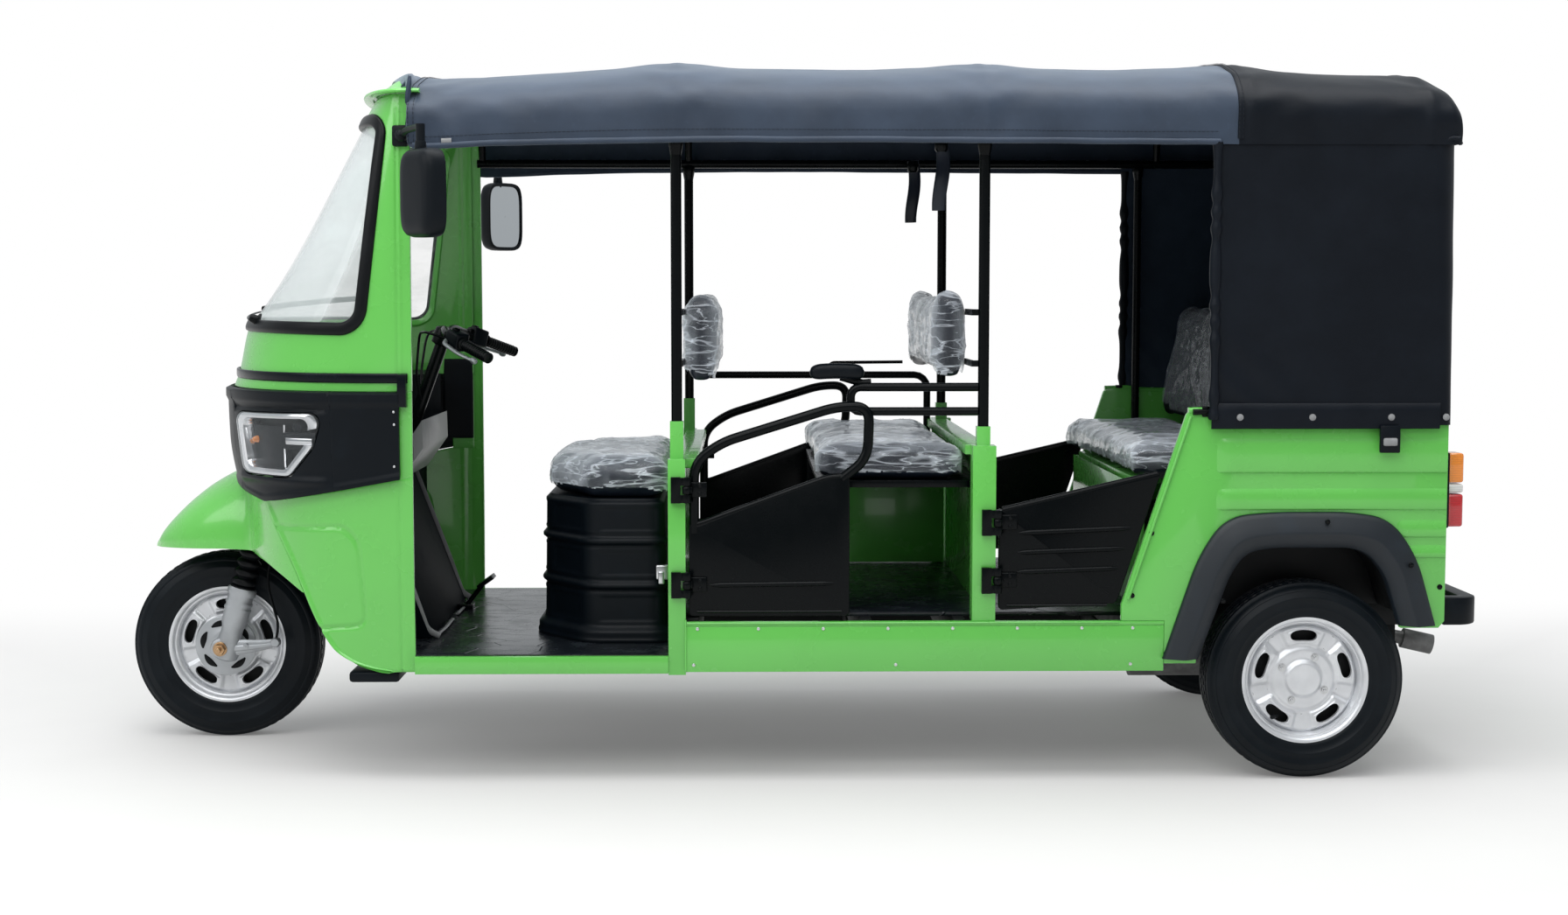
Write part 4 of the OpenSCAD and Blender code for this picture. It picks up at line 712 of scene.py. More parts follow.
PARTS = {}
SMALL_LATHES = {
    "screw": [(14, mm((0, 3.0), (3.5, 2.8), (5.8, 1.6), (6.4, 0), (6.4, -1), (0, -1)))],
    "button": [(20, mm((0, 4.2), (4, 4), (7.5, 2.6), (7.8, 1.6), (10.5, 1.2), (11, -1), (0, -1)))],
    "nut": [(6, mm((9.5, 9), (10.5, 8), (10.5, 0))),
            (12, mm((0, 15), (4.5, 14.5), (5.5, 13), (5.5, 9), (9.5, 9))),
            (16, mm((10.5, 2.5), (14, 2.2), (14.5, 0), (14.5, -1)))],
}
SMALL_BLOCKS = {
    "screw": ((-0.0042, -0.0007, 0.0026), (0.0042, 0.0007, 0.0034), 0.0003, 1),
    "block": ((-0.0085, -0.0065, -0.004), (0.0085, 0.0065, 0.0), 0.0012),
    "shoulder": ((-0.0075, -0.01, -0.004), (0.0075, 0.01, 0.0), 0.0014),
}


def small_part(name):
    """Parts that are repeated, made once: standing on the origin, facing +Z"""
    if name in PARTS:
        return PARTS[name]
    made = Maker()
    for count, profile in SMALL_LATHES.get(name, ()):
        made.lathe(profile, (0, 0, 0), (0, 0, 1), count)
    if name in SMALL_BLOCKS:
        made.block(*SMALL_BLOCKS[name])
    if name == "stitch":
        made.tube([(x, 0, 0.0006 - 0.0009 * (x / 0.004) ** 4) for x in steps(-0.004, 0.004, 7)], 0.0007, 6)
    obj = made.piece("part_" + name, "steel", body=None)
    obj.hide_render = True
    obj.hide_set(True)
    PARTS[name] = obj
    return obj


def repeat(name, part, spots, finish, body="chassis", size=1.0):
    """One mesh of a small part on every spot: (place, facing, along)"""
    mesh = bpy.data.meshes.new(name)
    mesh.from_pydata([Vector(s[0]) for s in spots], [], [])
    for k, key in ((1, "facing"), (2, "along")):
        layer = mesh.attributes.new(key, "FLOAT_VECTOR", "POINT")
        layer.data.foreach_set("vector", [c for s in spots for c in s[k]])
    obj = linked(name, mesh)
    tree = bpy.data.node_groups.get("Repeat part") or repeat_tree()
    modifier = obj.modifiers.new("repeat", "NODES")
    modifier.node_group = tree
    given = {"Part": small_part(part), "Finish": FINISHES[finish], "Size": size}
    for item in tree.interface.items_tree:
        if item.in_out == "INPUT" and item.name in given:
            modifier[item.identifier] = given[item.name]
    settle(obj)
    if not obj.data.polygons:
        raise RuntimeError("no parts were set for " + name)
    smooth(obj.data, 35)
    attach(obj, body)


def side_spots(side, y, places, slant):
    """Screws on one side face"""
    return [((x, side * y, z), (0, side, 0), (1, 0, slant)) for x, z in places]


# Cab skin

CAB_LENGTH = Track((280, 515), (690, 520), (740, 540), (870, 562), (990, 565), (1035, 550), (1175, 514), (1190, 499),
                   (1720, 164), (1745, 146), (1800, 104))
CAB_WIDTH = Track((280, 610), (600, 622), (1200, 620), (1745, 602), (1800, 592))
ARCH_EDGE = Track((202, 40), (284, 60), (292, 108), (308, 165), (337, 212), (400, 255), (541, 322), (707, 418),
                  (762, 445))
FASCIA_LOW = mm((-1700, 748), (-1460, 748), (-1395, 726), (-1320, 708), (-963, 777), (-905, 785))
CAB_ROUND = 0.88


def cab_point(z, turn, out=0.0):
    """Point of the cab's skin at a height; turn 0 is the nose, -90 degrees the left rear edge"""
    return vec(CAB_REAR - (CAB_LENGTH(z) + out) * signed(cos(turn), CAB_ROUND),
               (CAB_WIDTH(z) + out) * signed(sin(turn), CAB_ROUND), z)


def cab_turn(x, z):
    """Turn at which the skin stands at x, counted to the left"""
    return -acos(clamp(clamp((CAB_REAR - x) / CAB_LENGTH(z)) ** (1 / CAB_ROUND)))


def cab_facing(z, turn):
    across = cab_point(z, turn + 0.004) - cab_point(z, turn - 0.004)
    up = cab_point(z + 0.002, turn) - cab_point(z - 0.002, turn)
    facing = across.cross(up).normalized()
    return facing if facing.dot(cab_point(z, turn) - vec(CAB_REAR, 0, z)) > 0 else -facing


def cab_height(line, turn, start):
    """Height at which a line drawn in side view crosses a turn of the skin"""
    z = start
    for _ in range(12):
        z = mixed(z, straight(line, cab_point(z, turn).x), 0.8)
    return z


def screen_edge(grow=0.0, count=150):
    """Edge of the windscreen on the left side as (turn, height), from the nose's foot to its top"""
    corner, top = vec(-1.11, 1.217), vec(-1.036, 1.65)
    lean = (top - corner).normalized()
    low = [(-1.825, 1.168 - grow), (-1.11, 1.155 - grow)]
    high = [(-1.825, 1.73 + grow), (-1.036, 1.69 + grow)]
    points = [(turn, cab_height(low, turn, 1.16)) for turn in steps(0, cab_turn(-1.11, 1.155 - grow), 46)]
    side = atan2(-lean.x, lean.y)
    for centre, radius, arc in ((corner, 0.062, steps(-QUARTER, side, 12)[1:]),
                                (top, 0.04, steps(side, atan2(0.79, 0.04), 12))):
        for a in arc:
            p = centre + vec(cos(a), sin(a)) * (radius + grow)
            points.append((cab_turn(p.x, p.y), p.y))
    points += [(turn, cab_height(high, turn, 1.7)) for turn in steps(points[-1][0], 0, 40)[1:]]
    path = resampled([cab_point(z, t) for t, z in points], count)
    inner = [(cab_turn(p.x, p.z), p.z) for p in path[1:-1]]
    return [(0.0, path[0].z), *inner, (0.0, path[-1].z)]


def between(outer, inner, count, shape, ease=lambda s: s):
    """Rows of points from an outer edge to an inner one, both (turn, height)"""
    return [[shape(mixed(a[0], b[0], ease(s)), mixed(a[1], b[1], ease(s)), s) for a, b in zip(outer, inner)]
            for s in unit(count)]


def both_sides(rows):
    return rows, [mirrored(row)[::-1] for row in rows]


def skin_piece(name, patches, finish, depth, node=None, slot="green_paint", round_off=0.002):
    """Skin of the cab from patches that all face outward"""
    made = Maker()
    for rows in patches:
        made.grid(outward(rows, (CAB_REAR + 0.35, 0, sum(p[2] for p in rows[0]) / len(rows[0]))))
    thicken(made.piece(name, finish, node=node, slot=slot, angle=40, recalc=False), depth, round_off, 40)


def build_cowl():
    """Upper cab: green shell round the windscreen with a flange and crease at its rear edge"""
    inner = screen_edge()
    low, high = FASCIA_TOP + 0.0005, COWL_TOP
    foot = max(i for i, (t, z) in enumerate(inner) if z < 1.19)
    head = min(i for i, (t, z) in enumerate(inner) if z > 1.665 and i > foot)
    outer = [(t, low) for t in steps(0, -QUARTER, foot + 1)]
    outer += [(-QUARTER, z) for z in steps(low, high, head - foot + 1)[1:]]
    outer += [(t, high) for t in steps(-QUARTER, 0, len(inner) - head)[1:]]

    def shape(turn, z, share):
        back = CAB_REAR - cab_point(z, turn).x
        out = 0.0028 * (soft_step(back, 0.02, 0.028) - 1) - 0.003 * bell(back - 0.034, 0.004)
        return cab_point(z, turn, out - 0.0035 * bell(share - 0.965, 0.02))

    rows = between(outer, inner, 54, shape, lambda s: 1 - (1 - s) ** 1.25)
    skin_piece("cowl_shell", both_sides(rows), "green", 0.014, "cowl", round_off=0.003)


def build_screen():
    """Windscreen, its rubber and the wiper"""
    edge = screen_edge(0.0, 190)
    loop = edge + [(-t, z) for t, z in edge[-2:0:-1]]
    spots = [cab_point(z, t) for t, z in loop]
    middle, rows = vec(-1.3, 0, 1.43), []
    for i, (t, z) in enumerate(loop):
        facing = cab_facing(z, t)
        along = (spots[(i + 1) % len(spots)] - spots[i - 1]).normalized()
        wide = facing.cross(along).normalized()
        if wide.dot(middle - spots[i]) < 0 and abs(spots[i].y) < 0.2:
            wide = -wide
        row = []
        for a in circle(20):
            u, v = signed(cos(a), 0.75), signed(sin(a), 0.8)
            lip = 0.0016 * bell(u - 0.25, 0.16) if v > 0 else 0
            row.append(spots[i] + wide * (0.003 + 0.0165 * u) + facing * (0.0008 + 0.0092 * v - lip))
        rows.append(row)
    made = Maker().grid(rows + [rows[0]], 0, True)
    made.piece("screen_rubber", "rubber", node="windscreen_seal", slot="rubber", angle=60)

    inner = screen_edge(-0.002, 190)
    half = len(inner) // 2
    patch = [[cab_point(mixed(low[1], high[1], s), mixed(low[0], high[0], s), -0.006) for s in unit(34)]
             for low, high in zip(inner[:half], inner[-1:-half - 1:-1])]
    patch = [mirrored(row) for row in patch[:0:-1]] + patch
    made = Maker().grid(outward(patch, (CAB_REAR, 0, 1.4)))
    thicken(made.piece("screen_pane", "pane", node="windscreen", slot="glass", recalc=False), 0.004, 0, 35)

    def sweep(low, high, start, end, out, count):
        return [cab_point(mixed(low, high, s), mixed(radians(start), radians(end), s), out) for s in unit(count)]

    made = Maker()
    root_turn, root_z = -33, 1.176
    made.tube(sweep(root_z, 1.212, root_turn, 22, 0.016, 24), lambda s: 0.0045 - 0.002 * s, 10, flat=0.7)
    blade = sweep(1.205, 1.232, -4, 48, 0.01, 30)
    made.tube(blade, 0.0042, 8, 1, flat=1.9)
    made.tube([b + vec(0, 0, 0.006) for b in blade[4:-4]], 0.0022, 8)
    made.lathe(mm((0, 26), (8, 25), (11, 20), (13, 6), (20, 3), (21, 0)), cab_point(root_z, radians(root_turn), 0.001),
               cab_facing(root_z, radians(root_turn)), 20)
    made.piece("wiper", "enamel rubber", slot="black_plastic", angle=45)


def lamp_edge(grow=0.0, count=120):
    """Outline of the left headlamp as (turn, height)"""
    pegs = [Vector(p) for p in mm((-1383, 914), (-1183, 918), (-1197, 870), (-1253, 804), (-1367, 804))]
    middle = sum(pegs, vec(0, 0)) / len(pegs)
    ring = []
    for i, p in enumerate(pegs):
        one, two = (p - pegs[i - 1]).normalized(), (pegs[(i + 1) % len(pegs)] - p).normalized()
        a, b = atan2(one.x, -one.y), atan2(two.x, -two.y)
        if vec(cos(a), sin(a)).dot(p - middle) < 0:
            a, b = a + pi, b + pi
        b -= tau * round((b - a) / tau)
        ring += [p + vec(cos(s), sin(s)) * (0.026 + grow) for s in steps(a, b, 8)]
    ring = resampled([q.to_3d() for q in ring], count, True)
    start = min(range(count), key=lambda i: ring[i].x - ring[i].y)
    return [(cab_turn(q.x, q.y), q.y) for q in ring[start:] + ring[:start]]


def build_fascia():
    """Black lamp band with a raised lip, belt strip above it, cheeks, flanges and screws"""
    lamp = lamp_edge(0.003)
    front_turn = min(abs(t) for t, z in lamp) - 0.05
    rear_turn = max(abs(t) for t, z in lamp) + 0.05

    def low(turn):
        return cab_height(FASCIA_LOW, turn, 0.75)

    def shape(turn, z, share):
        foot = low(turn)
        lip = 0.006 * soft_step(z, 0.962, 0.972) - 0.012 * soft_step(z, 0.9965, 1.0005)
        lower = 0.004 * soft_step(z, foot + 0.02, foot + 0.01)
        beside = soft_step(abs(turn), front_turn - 0.03, front_turn + 0.06)
        beside *= soft_step(-abs(turn), -rear_turn - 0.04, -rear_turn + 0.08)
        brow = beside * (0.0075 * bell(z - 0.768, 0.01) - 0.006 * bell(z - 0.953, 0.006))
        return cab_point(z, turn, 0.016 + lip + lower + brow)

    def strip(start, end, count):
        return [[shape(t, mixed(low(t), FASCIA_TOP, s), s) for s in unit(40)] for t in steps(start, end, count)]

    ring = [(-front_turn, mixed(low(-front_turn), FASCIA_TOP, s)) for s in unit(25)]
    ring += [(t, FASCIA_TOP) for t in steps(-front_turn, -rear_turn, 37)[1:]]
    ring += [(-rear_turn, mixed(FASCIA_TOP, low(-rear_turn), s)) for s in unit(25)[1:]]
    ring += [(t, low(t)) for t in steps(-rear_turn, -front_turn, 37)[1:-1]]
    centre_turn, centre_z = (sum(c) / len(lamp) for c in zip(*lamp))

    def angle(p):
        return atan2((p[1] - centre_z) / 0.09, (p[0] - centre_turn) / 0.25)

    start = min(range(len(lamp)), key=lambda i: abs(angle(lamp[i]) - angle(ring[0])))
    hole = lamp[start:] + lamp[:start]
    if abs(angle(hole[4]) - angle(ring[6])) > abs(angle(hole[-4]) - angle(ring[6])):
        hole = [hole[0]] + hole[:0:-1]
    hole = [hole[int(i * len(hole) / len(ring))] for i in range(len(ring))]
    around = between(ring + ring[:1], hole + hole[:1], 18, shape)
    patches = [*both_sides(strip(0, -front_turn, 30)), *both_sides(strip(-rear_turn, cab_turn(-0.955, 0.9), 26)),
               *both_sides(around)]
    skin_piece("fascia_band", patches, "plastic", 0.012, "lamp_fascia", "black_plastic", 0.0025)

    belt = []
    for t in steps(radians(-89.5), radians(89.5), 140):
        base, out = cab_point(1.034, t), cab_facing(1.034, t)
        belt.append([base + out * (0.0075 * signed(cos(a), 0.5)) + vec(0, 0, 0.0125 * signed(sin(a), 0.5))
                     for a in steps(-QUARTER, QUARTER, 13)])
    made = Maker().grid(belt)
    turns = steps(cab_turn(-0.958, 1.0), cab_turn(-0.936, 1.0), 7)
    tab = [[cab_point(z, turns[0], -0.002), *(cab_point(z, t, 0.0195 * edge) for t in turns),
            cab_point(z, turns[-1], -0.002)]
           for z, edge in ((0.961, 0.1), (0.962, 0.9), (0.966, 1.0), (1.035, 1.0), (1.044, 0.9), (1.047, 0.1))]
    for rows in both_sides(tab):
        made.grid(outward(rows, (CAB_REAR + 0.35, 0, 1.0)))
    made.piece("belt_strip", "gloss_plastic", slot="black_plastic", angle=50)

    rows = [[cab_point(z, t, -0.002) for z in steps(0.768, FASCIA_TOP, 12)]
            for t in steps(cab_turn(-0.995, 0.9), -QUARTER, 14)]
    skin_piece("cab_return", both_sides(rows), "green", 0.01)
    rows = [[vec(x, CAB_WIDTH(z) - 0.006 - dip, z)
             for x, dip in mm((-935, 0), (-910, 0), (-899, 2), (-896, 8), (-897, 14))] for z in steps(0.3, 1.735, 40)]
    skin_piece("door_flange", [rows], "green", 0.005, round_off=0.001)
    rows = [[cab_point(z, t, -0.0135) for z in steps(0.8, 1.046, 14)]
            for t in steps(cab_turn(-1.02, 0.9), cab_turn(-0.928, 0.9), 16)]
    skin_piece("cab_cheeks", both_sides(rows), "plastic", 0.004, None, "black_plastic")

    spots = []
    for x, z in mm((-967, 812), (-966, 918), (-967, 950)):
        t = cab_turn(x, z)
        pair = cab_point(z, t, 0.0175), cab_facing(z, t)
        spots += [(*pair, (0, 0, 1)), (*mirrored(pair), (0, 0, 1))]
    repeat("fascia_screws", "screw", spots, "steel", size=0.5)


def build_lamps():
    """Headlamps: bowl, chrome frame, bar with a bright insert, bulb and clear cover"""
    edge = lamp_edge()
    mid_turn, mid_z = (sum(c) / len(edge) for c in zip(*edge))

    def rings(*rows):
        rows = [[cab_point(mixed(mid_z, z, share), mixed(mid_turn, t, share), out) for t, z in edge]
                for share, out in rows]
        made = Maker()
        for patch in both_sides(rows):
            made.grid(patch, 0, True)
        return made

    dome = [(s, 0.0225 + 0.004 * (1 - s)) for s in (0.85, 0.65, 0.45, 0.25, 0.1, 0.01)]
    rings((1.0, 0.012), (0.995, 0.0185), (0.97, 0.021), *dome).piece("lamp_covers", "lens", slot="lamp", angle=50)
    bowl = rings((1.0, 0.015), (1.0, -0.015), (0.97, -0.045), (0.7, -0.075), (0.3, -0.085), (0.01, -0.086))
    open_at = [i for i, (t, z) in enumerate(edge) if 0.862 < z < 0.905 and cab_point(z, t).x > -1.224]
    path = edge[open_at[-1] + 1:] + edge[:open_at[0]]
    section = ((0.985, -0.03), (0.985, 0.008), (0.965, 0.0165), (0.89, 0.0185), (0.8, 0.014), (0.765, 0.004),
               (0.765, -0.03))
    shade = mm((-1389, -50), (-1384, -12), (-1334, -6), (-1286, -10), (-1276, -16), (-1275, -50))
    ends = [cab_turn(x, mid_z) for x in (-1.264, -1.169)]
    for side in SIDES:
        def place(u, v, out):
            p = cab_point(v, u, out)
            return p if side < 0 else vec(p.x, -p.y, p.z)

        def bar(start, end, count, sides, tall, grow, lift, deep, power):
            bowl.grid([[place(mixed(*ends, s), mid_z + 0.002 + (tall + grow * s) * signed(sin(a), power),
                              lift + deep * signed(cos(a), power)) for a in circle(sides)]
                       for s in steps(start, end, count)], 2 if grow else 1, True, True)

        bowl.grid([[place(mixed(mid_turn, t, share), mixed(mid_z, z, share), out) for share, out in section]
                   for t, z in path], 1, True, True)
        bowl.grid([[place(cab_turn(x, z), z, out) for z in steps(0.8, 0.905, 8)] for x, out in shade], 2)
        bowl.tube([place(cab_turn(-1.275, z), z, -0.008) for z in steps(0.8, 0.91, 8)], 0.0028, 8, 1)
        bar(0, 1, 12, 16, 0.021, 0.004, 0.004, 0.01, 0.5)
        bar(0.16, 0.92, 10, 12, 0.009, 0, 0.0125, 0.004, 0.6)
        for x, z, r, kind in ((-1.232, 0.905, 0.02, 0), (-1.369, 0.868, 0.01, 3)):
            t = cab_turn(x, z)
            facing = cab_facing(z, t)
            bowl.lathe([(0.001, 0.034), (r * 0.5, 0.033), (r * 0.8, 0.028), (r, 0.018), (r * 1.06, 0.0)],
                       place(t, z, -0.03), (facing.x, facing.y * -side, facing.z), 20, kind)
    bowl.piece("lamp_bowls", "gloss_plastic chrome plastic amber", node="headlamps", slot="lamp", angle=40)


def build_apron():
    """Lower cab sides with the pressed panel and the sill return"""
    corners = mm((-1300, 643.5, 0), (-1106, 655, 0), (-1069, 617, 0), (-1052, 403, 0), (-1200, 385, 0))
    panel = [p.xy for p in bent(corners, 0.03)]

    def far(p):
        """Distance from the line of the pressed panel"""
        best = 9.0
        for a, b in zip(panel, panel[1:]):
            s = clamp((p - a).dot(b - a) / max(1e-9, (b - a).length_squared))
            best = min(best, (p - a.lerp(b, s)).length)
        return best

    rows = []
    for v in unit(110):
        rise, row = v ** 1.35, []
        for u in unit(74):
            z = mixed(SILL, 0.77, rise)
            for _ in range(14):
                x = mixed(CAB_REAR, CAB_REAR - ARCH_EDGE(z), u)
                z = mixed(z, mixed(SILL, straight(FASCIA_LOW, x) - 0.0005, rise), 0.7)
            out = -0.0042 * bell(far(vec(x, z)), 0.0052) - 0.003 * bell(CAB_REAR - x - 0.034, 0.004)
            out += 0.004 * soft_step(CAB_REAR - ARCH_EDGE(z) - x, -0.016, -0.002)
            out -= 0.0045 * soft_step(z, SILL + 0.006, SILL)
            row.append(cab_point(z, cab_turn(x, z), out))
        rows.append(row)
    skin_piece("apron_sides", both_sides(rows), "green", 0.01, "apron", round_off=0.003)


# Station from the front axle, half width, lower edge and top of the fender
FENDER = Track((-192, 36, 541, 556), (-170, 74, 543, 590), (-130, 120, 546, 634), (-80, 162, 549, 680),
               (-20, 196, 552, 724), (50, 222, 552, 760), (110, 240, 540, 778), (160, 250, 524, 786),
               (210, 258, 505, 786))
FENDER_LOW = Track((-1735, 541), (-1673, 546), (-1563, 552), (-1500, 554), (-1430, 554), (-1360, 545), (-1290, 516),
                   (-1225, 478))


def build_fender():
    """Beaked front fender that runs into the nose, drawn as one sheet from its tip to the apron"""
    def half_width(x, z):
        """Beak and cab skin run into each other with a soft hollow"""
        half, low, top = (FENDER(x - FRONT_AXLE.x, k) for k in range(3))
        rise = clamp((z - low) / (top - low)) ** 1.25
        beak = half * max(0.0, 1 - rise * rise) ** 0.45
        skin = abs(cab_point(z, cab_turn(x, z), 0.0015).y)
        return (beak + skin + hypot(beak - skin, 0.045 * soft_step(x, -1.56, -1.44))) / 2

    tip = FRONT_AXLE.x - 0.192
    patch = []
    for v in unit(46):
        row = []
        for u in unit(96):
            z = mixed(0.5, 0.73, v)
            for _ in range(12):
                x = mixed(CAB_REAR - ARCH_EDGE(z) - 0.0045, tip, u)
                top = mixed(FENDER(x - FRONT_AXLE.x, 2), straight(FASCIA_LOW, x) - 0.0005, soft_step(x, -1.49, -1.435))
                z = mixed(z, mixed(FENDER_LOW(x), top, 1 - (1 - v) ** 1.5), 0.7)
            row.append(vec(x, -half_width(x, z), z))
        end = row[-1]
        patch.append(row + [vec(end.x - 0.004, end.y * 0.55, mixed(end.z, 0.546, 0.5))])
    skin_piece("front_beak", both_sides(patch), "green", 0.006, "front_fender")
    patch = [[cab_point(z, t, 0.0005) for t in steps(radians(-21), radians(21), 40)] for z in (0.728, 0.735, 0.7475)]
    skin_piece("nose_bridge", [patch], "green", 0.006, round_off=0.001)


def build_roof_cap():
    """Brim and low dome over the cab"""
    rows = []
    for z, out in mm((1748.5, 10), (1748.5, 31), (1750, 33.8), (1753.5, 35), (1756.5, 33.2), (1758, 29), (1760, 10),
                     (1764, -10), (1772, -26), (1781, -40), (1787, -52), (1789, -62)):
        row = [vec(*cab_point(1.7485, t, out).xy, z) for t in steps(-QUARTER, QUARTER, 121)]
        tail = vec(0.03 if z < 1.7605 else 0.0, 0, 0)
        rows.append([row[0] + tail, *row, row[-1] + tail])
    last = rows[-1]
    for s in unit(10)[1:]:
        rows.append([vec(mixed(p.x, CAB_REAR, s), p.y * (1 - s), 1.789 + 0.006 * sin(s * QUARTER)) for p in last])
    made = Maker().grid(outward(rows, (CAB_REAR, 0, 1.7)))
    thicken(made.piece("cab_cap", "green", node="roof_cap", slot="green_paint", recalc=False), 0.005, 0, 40)


# Canopy

# Station, ridge, hem, half width and how far the hem is drawn back
CANOPY = Track((-1036, 1804, 1766, 584, 100), (-1008, 1811, 1766, 600, 78), (-955, 1815, 1756, 630, 38),
               (-905, 1815, 1612, 652, -12), (-890, 1816, 1608, 656, 0), (-680, 1826, 1616, 662, 0),
               (-440, 1844, 1622, 662, 0), (-257, 1860, 1624, 662, 0), (-101, 1848, 1626, 662, 0),
               (134, 1844, 1626, 662, 0), (360, 1849, 1625, 662, 0), (524, 1859, 1624, 662, 0),
               (702, 1848, 1623, 662, 0), (861, 1845, 1622, 662, 0), (1040, 1850, 1621, 662, 0),
               (1185, 1858, 1620, 662, 0), (1331, 1841, 1620, 662, 0), (1499, 1832, 1620, 662, 0),
               (1640, 1828, 1620, 661, 0), (1690, 1808, 1620, 661, -2), (1722, 1766, 1620, 652, -8),
               (1734, 1712, 1620, 644, -14), (1738, 1668, 1620, 636, -20))
ARCH = 0.75
BOWS = (-0.89, B_POST, C_POST, HOOP_X, 1.64)


def canopy_point(x, share, out=0.0):
    """Point of the canopy; share runs from -1 at the left hem over the ridge to 1 at the right hem"""
    top, hem, half, draw = (CANOPY(x, k) for k in range(4))
    shoulder = hem + 0.07 * min(1.0, (top - hem) / 0.24)
    side, far = (1 if share > 0 else -1), abs(share)
    if far > 0.9:
        drop = (far - 0.9) / 0.1
        y, z = half - 0.0065 * soft_step(x, 1.09, 1.14) * drop, mixed(shoulder, hem, drop)
        facing = vec(0, side, 0)
    else:
        angle = QUARTER * (1 - far / 0.9)
        across, up = max(0.0, cos(angle)), max(0.0, sin(angle))
        y, z = half * across ** ARCH, shoulder + (top - shoulder) * up ** ARCH
        facing = vec(0, side * across ** (2 - ARCH) / half, up ** (2 - ARCH) / (top - shoulder)).normalized()
    return vec(x + draw * (y / half) ** 2, side * y, z) + facing * out


def canopy_crease(x, share):
    """Height of the drawn cloth: pinched over the bows, drawn in folds at the hem and the corners"""
    depth = settings("canopy").wrinkle
    far, rest = abs(share), 0.0
    for bow in BOWS:
        near = abs(x - bow)
        rest += 0.003 * bell(near, 0.016) + depth * 0.55 * bell(near, 0.1) * sin(far * 26 + near * 40 + bow * 9)
    side = 2.7 if share > 0 else 1.1
    waves = noise.noise(vec(x * 5.5, share * 4 + side, 0.3)) + 0.5 * noise.noise(vec(x * 14, share * 9, side))
    hem = soft_step(far, 0.55, 0.97)
    drawn = noise.noise(vec(x * 22 + share * 9, side * 3, share * 2))
    folds = sin(x * 34 - far * 22) * soft_step(-x, 0.55, 0.9) * soft_step(far, 0.5, 0.8) * 0.7
    hem_edge = 1 - soft_step(far, 0.985, 1.0) * 0.5
    return rest + depth * (waves * (0.55 + 0.5 * hem) + drawn * hem * 0.55 + folds) * hem_edge


def cloth_sheet(name, rows, centre, finishes, node, depth, split, flat, **held):
    """Sheet of cloth with a lining, declared by the size and area that it is built with"""
    made = Maker().grid(outward(rows, centre))
    cloth = made.piece(name, finishes, node=node, slot="canopy_cloth", angle=60, recalc=False)
    for face in cloth.data.polygons:
        face.material_index = 2 if face.center.x > split else 0
    area = sum(p.area for p in cloth.data.polygons)
    thicken(cloth, depth, 0, 60, 1)
    min(area, flat[0] * flat[1])


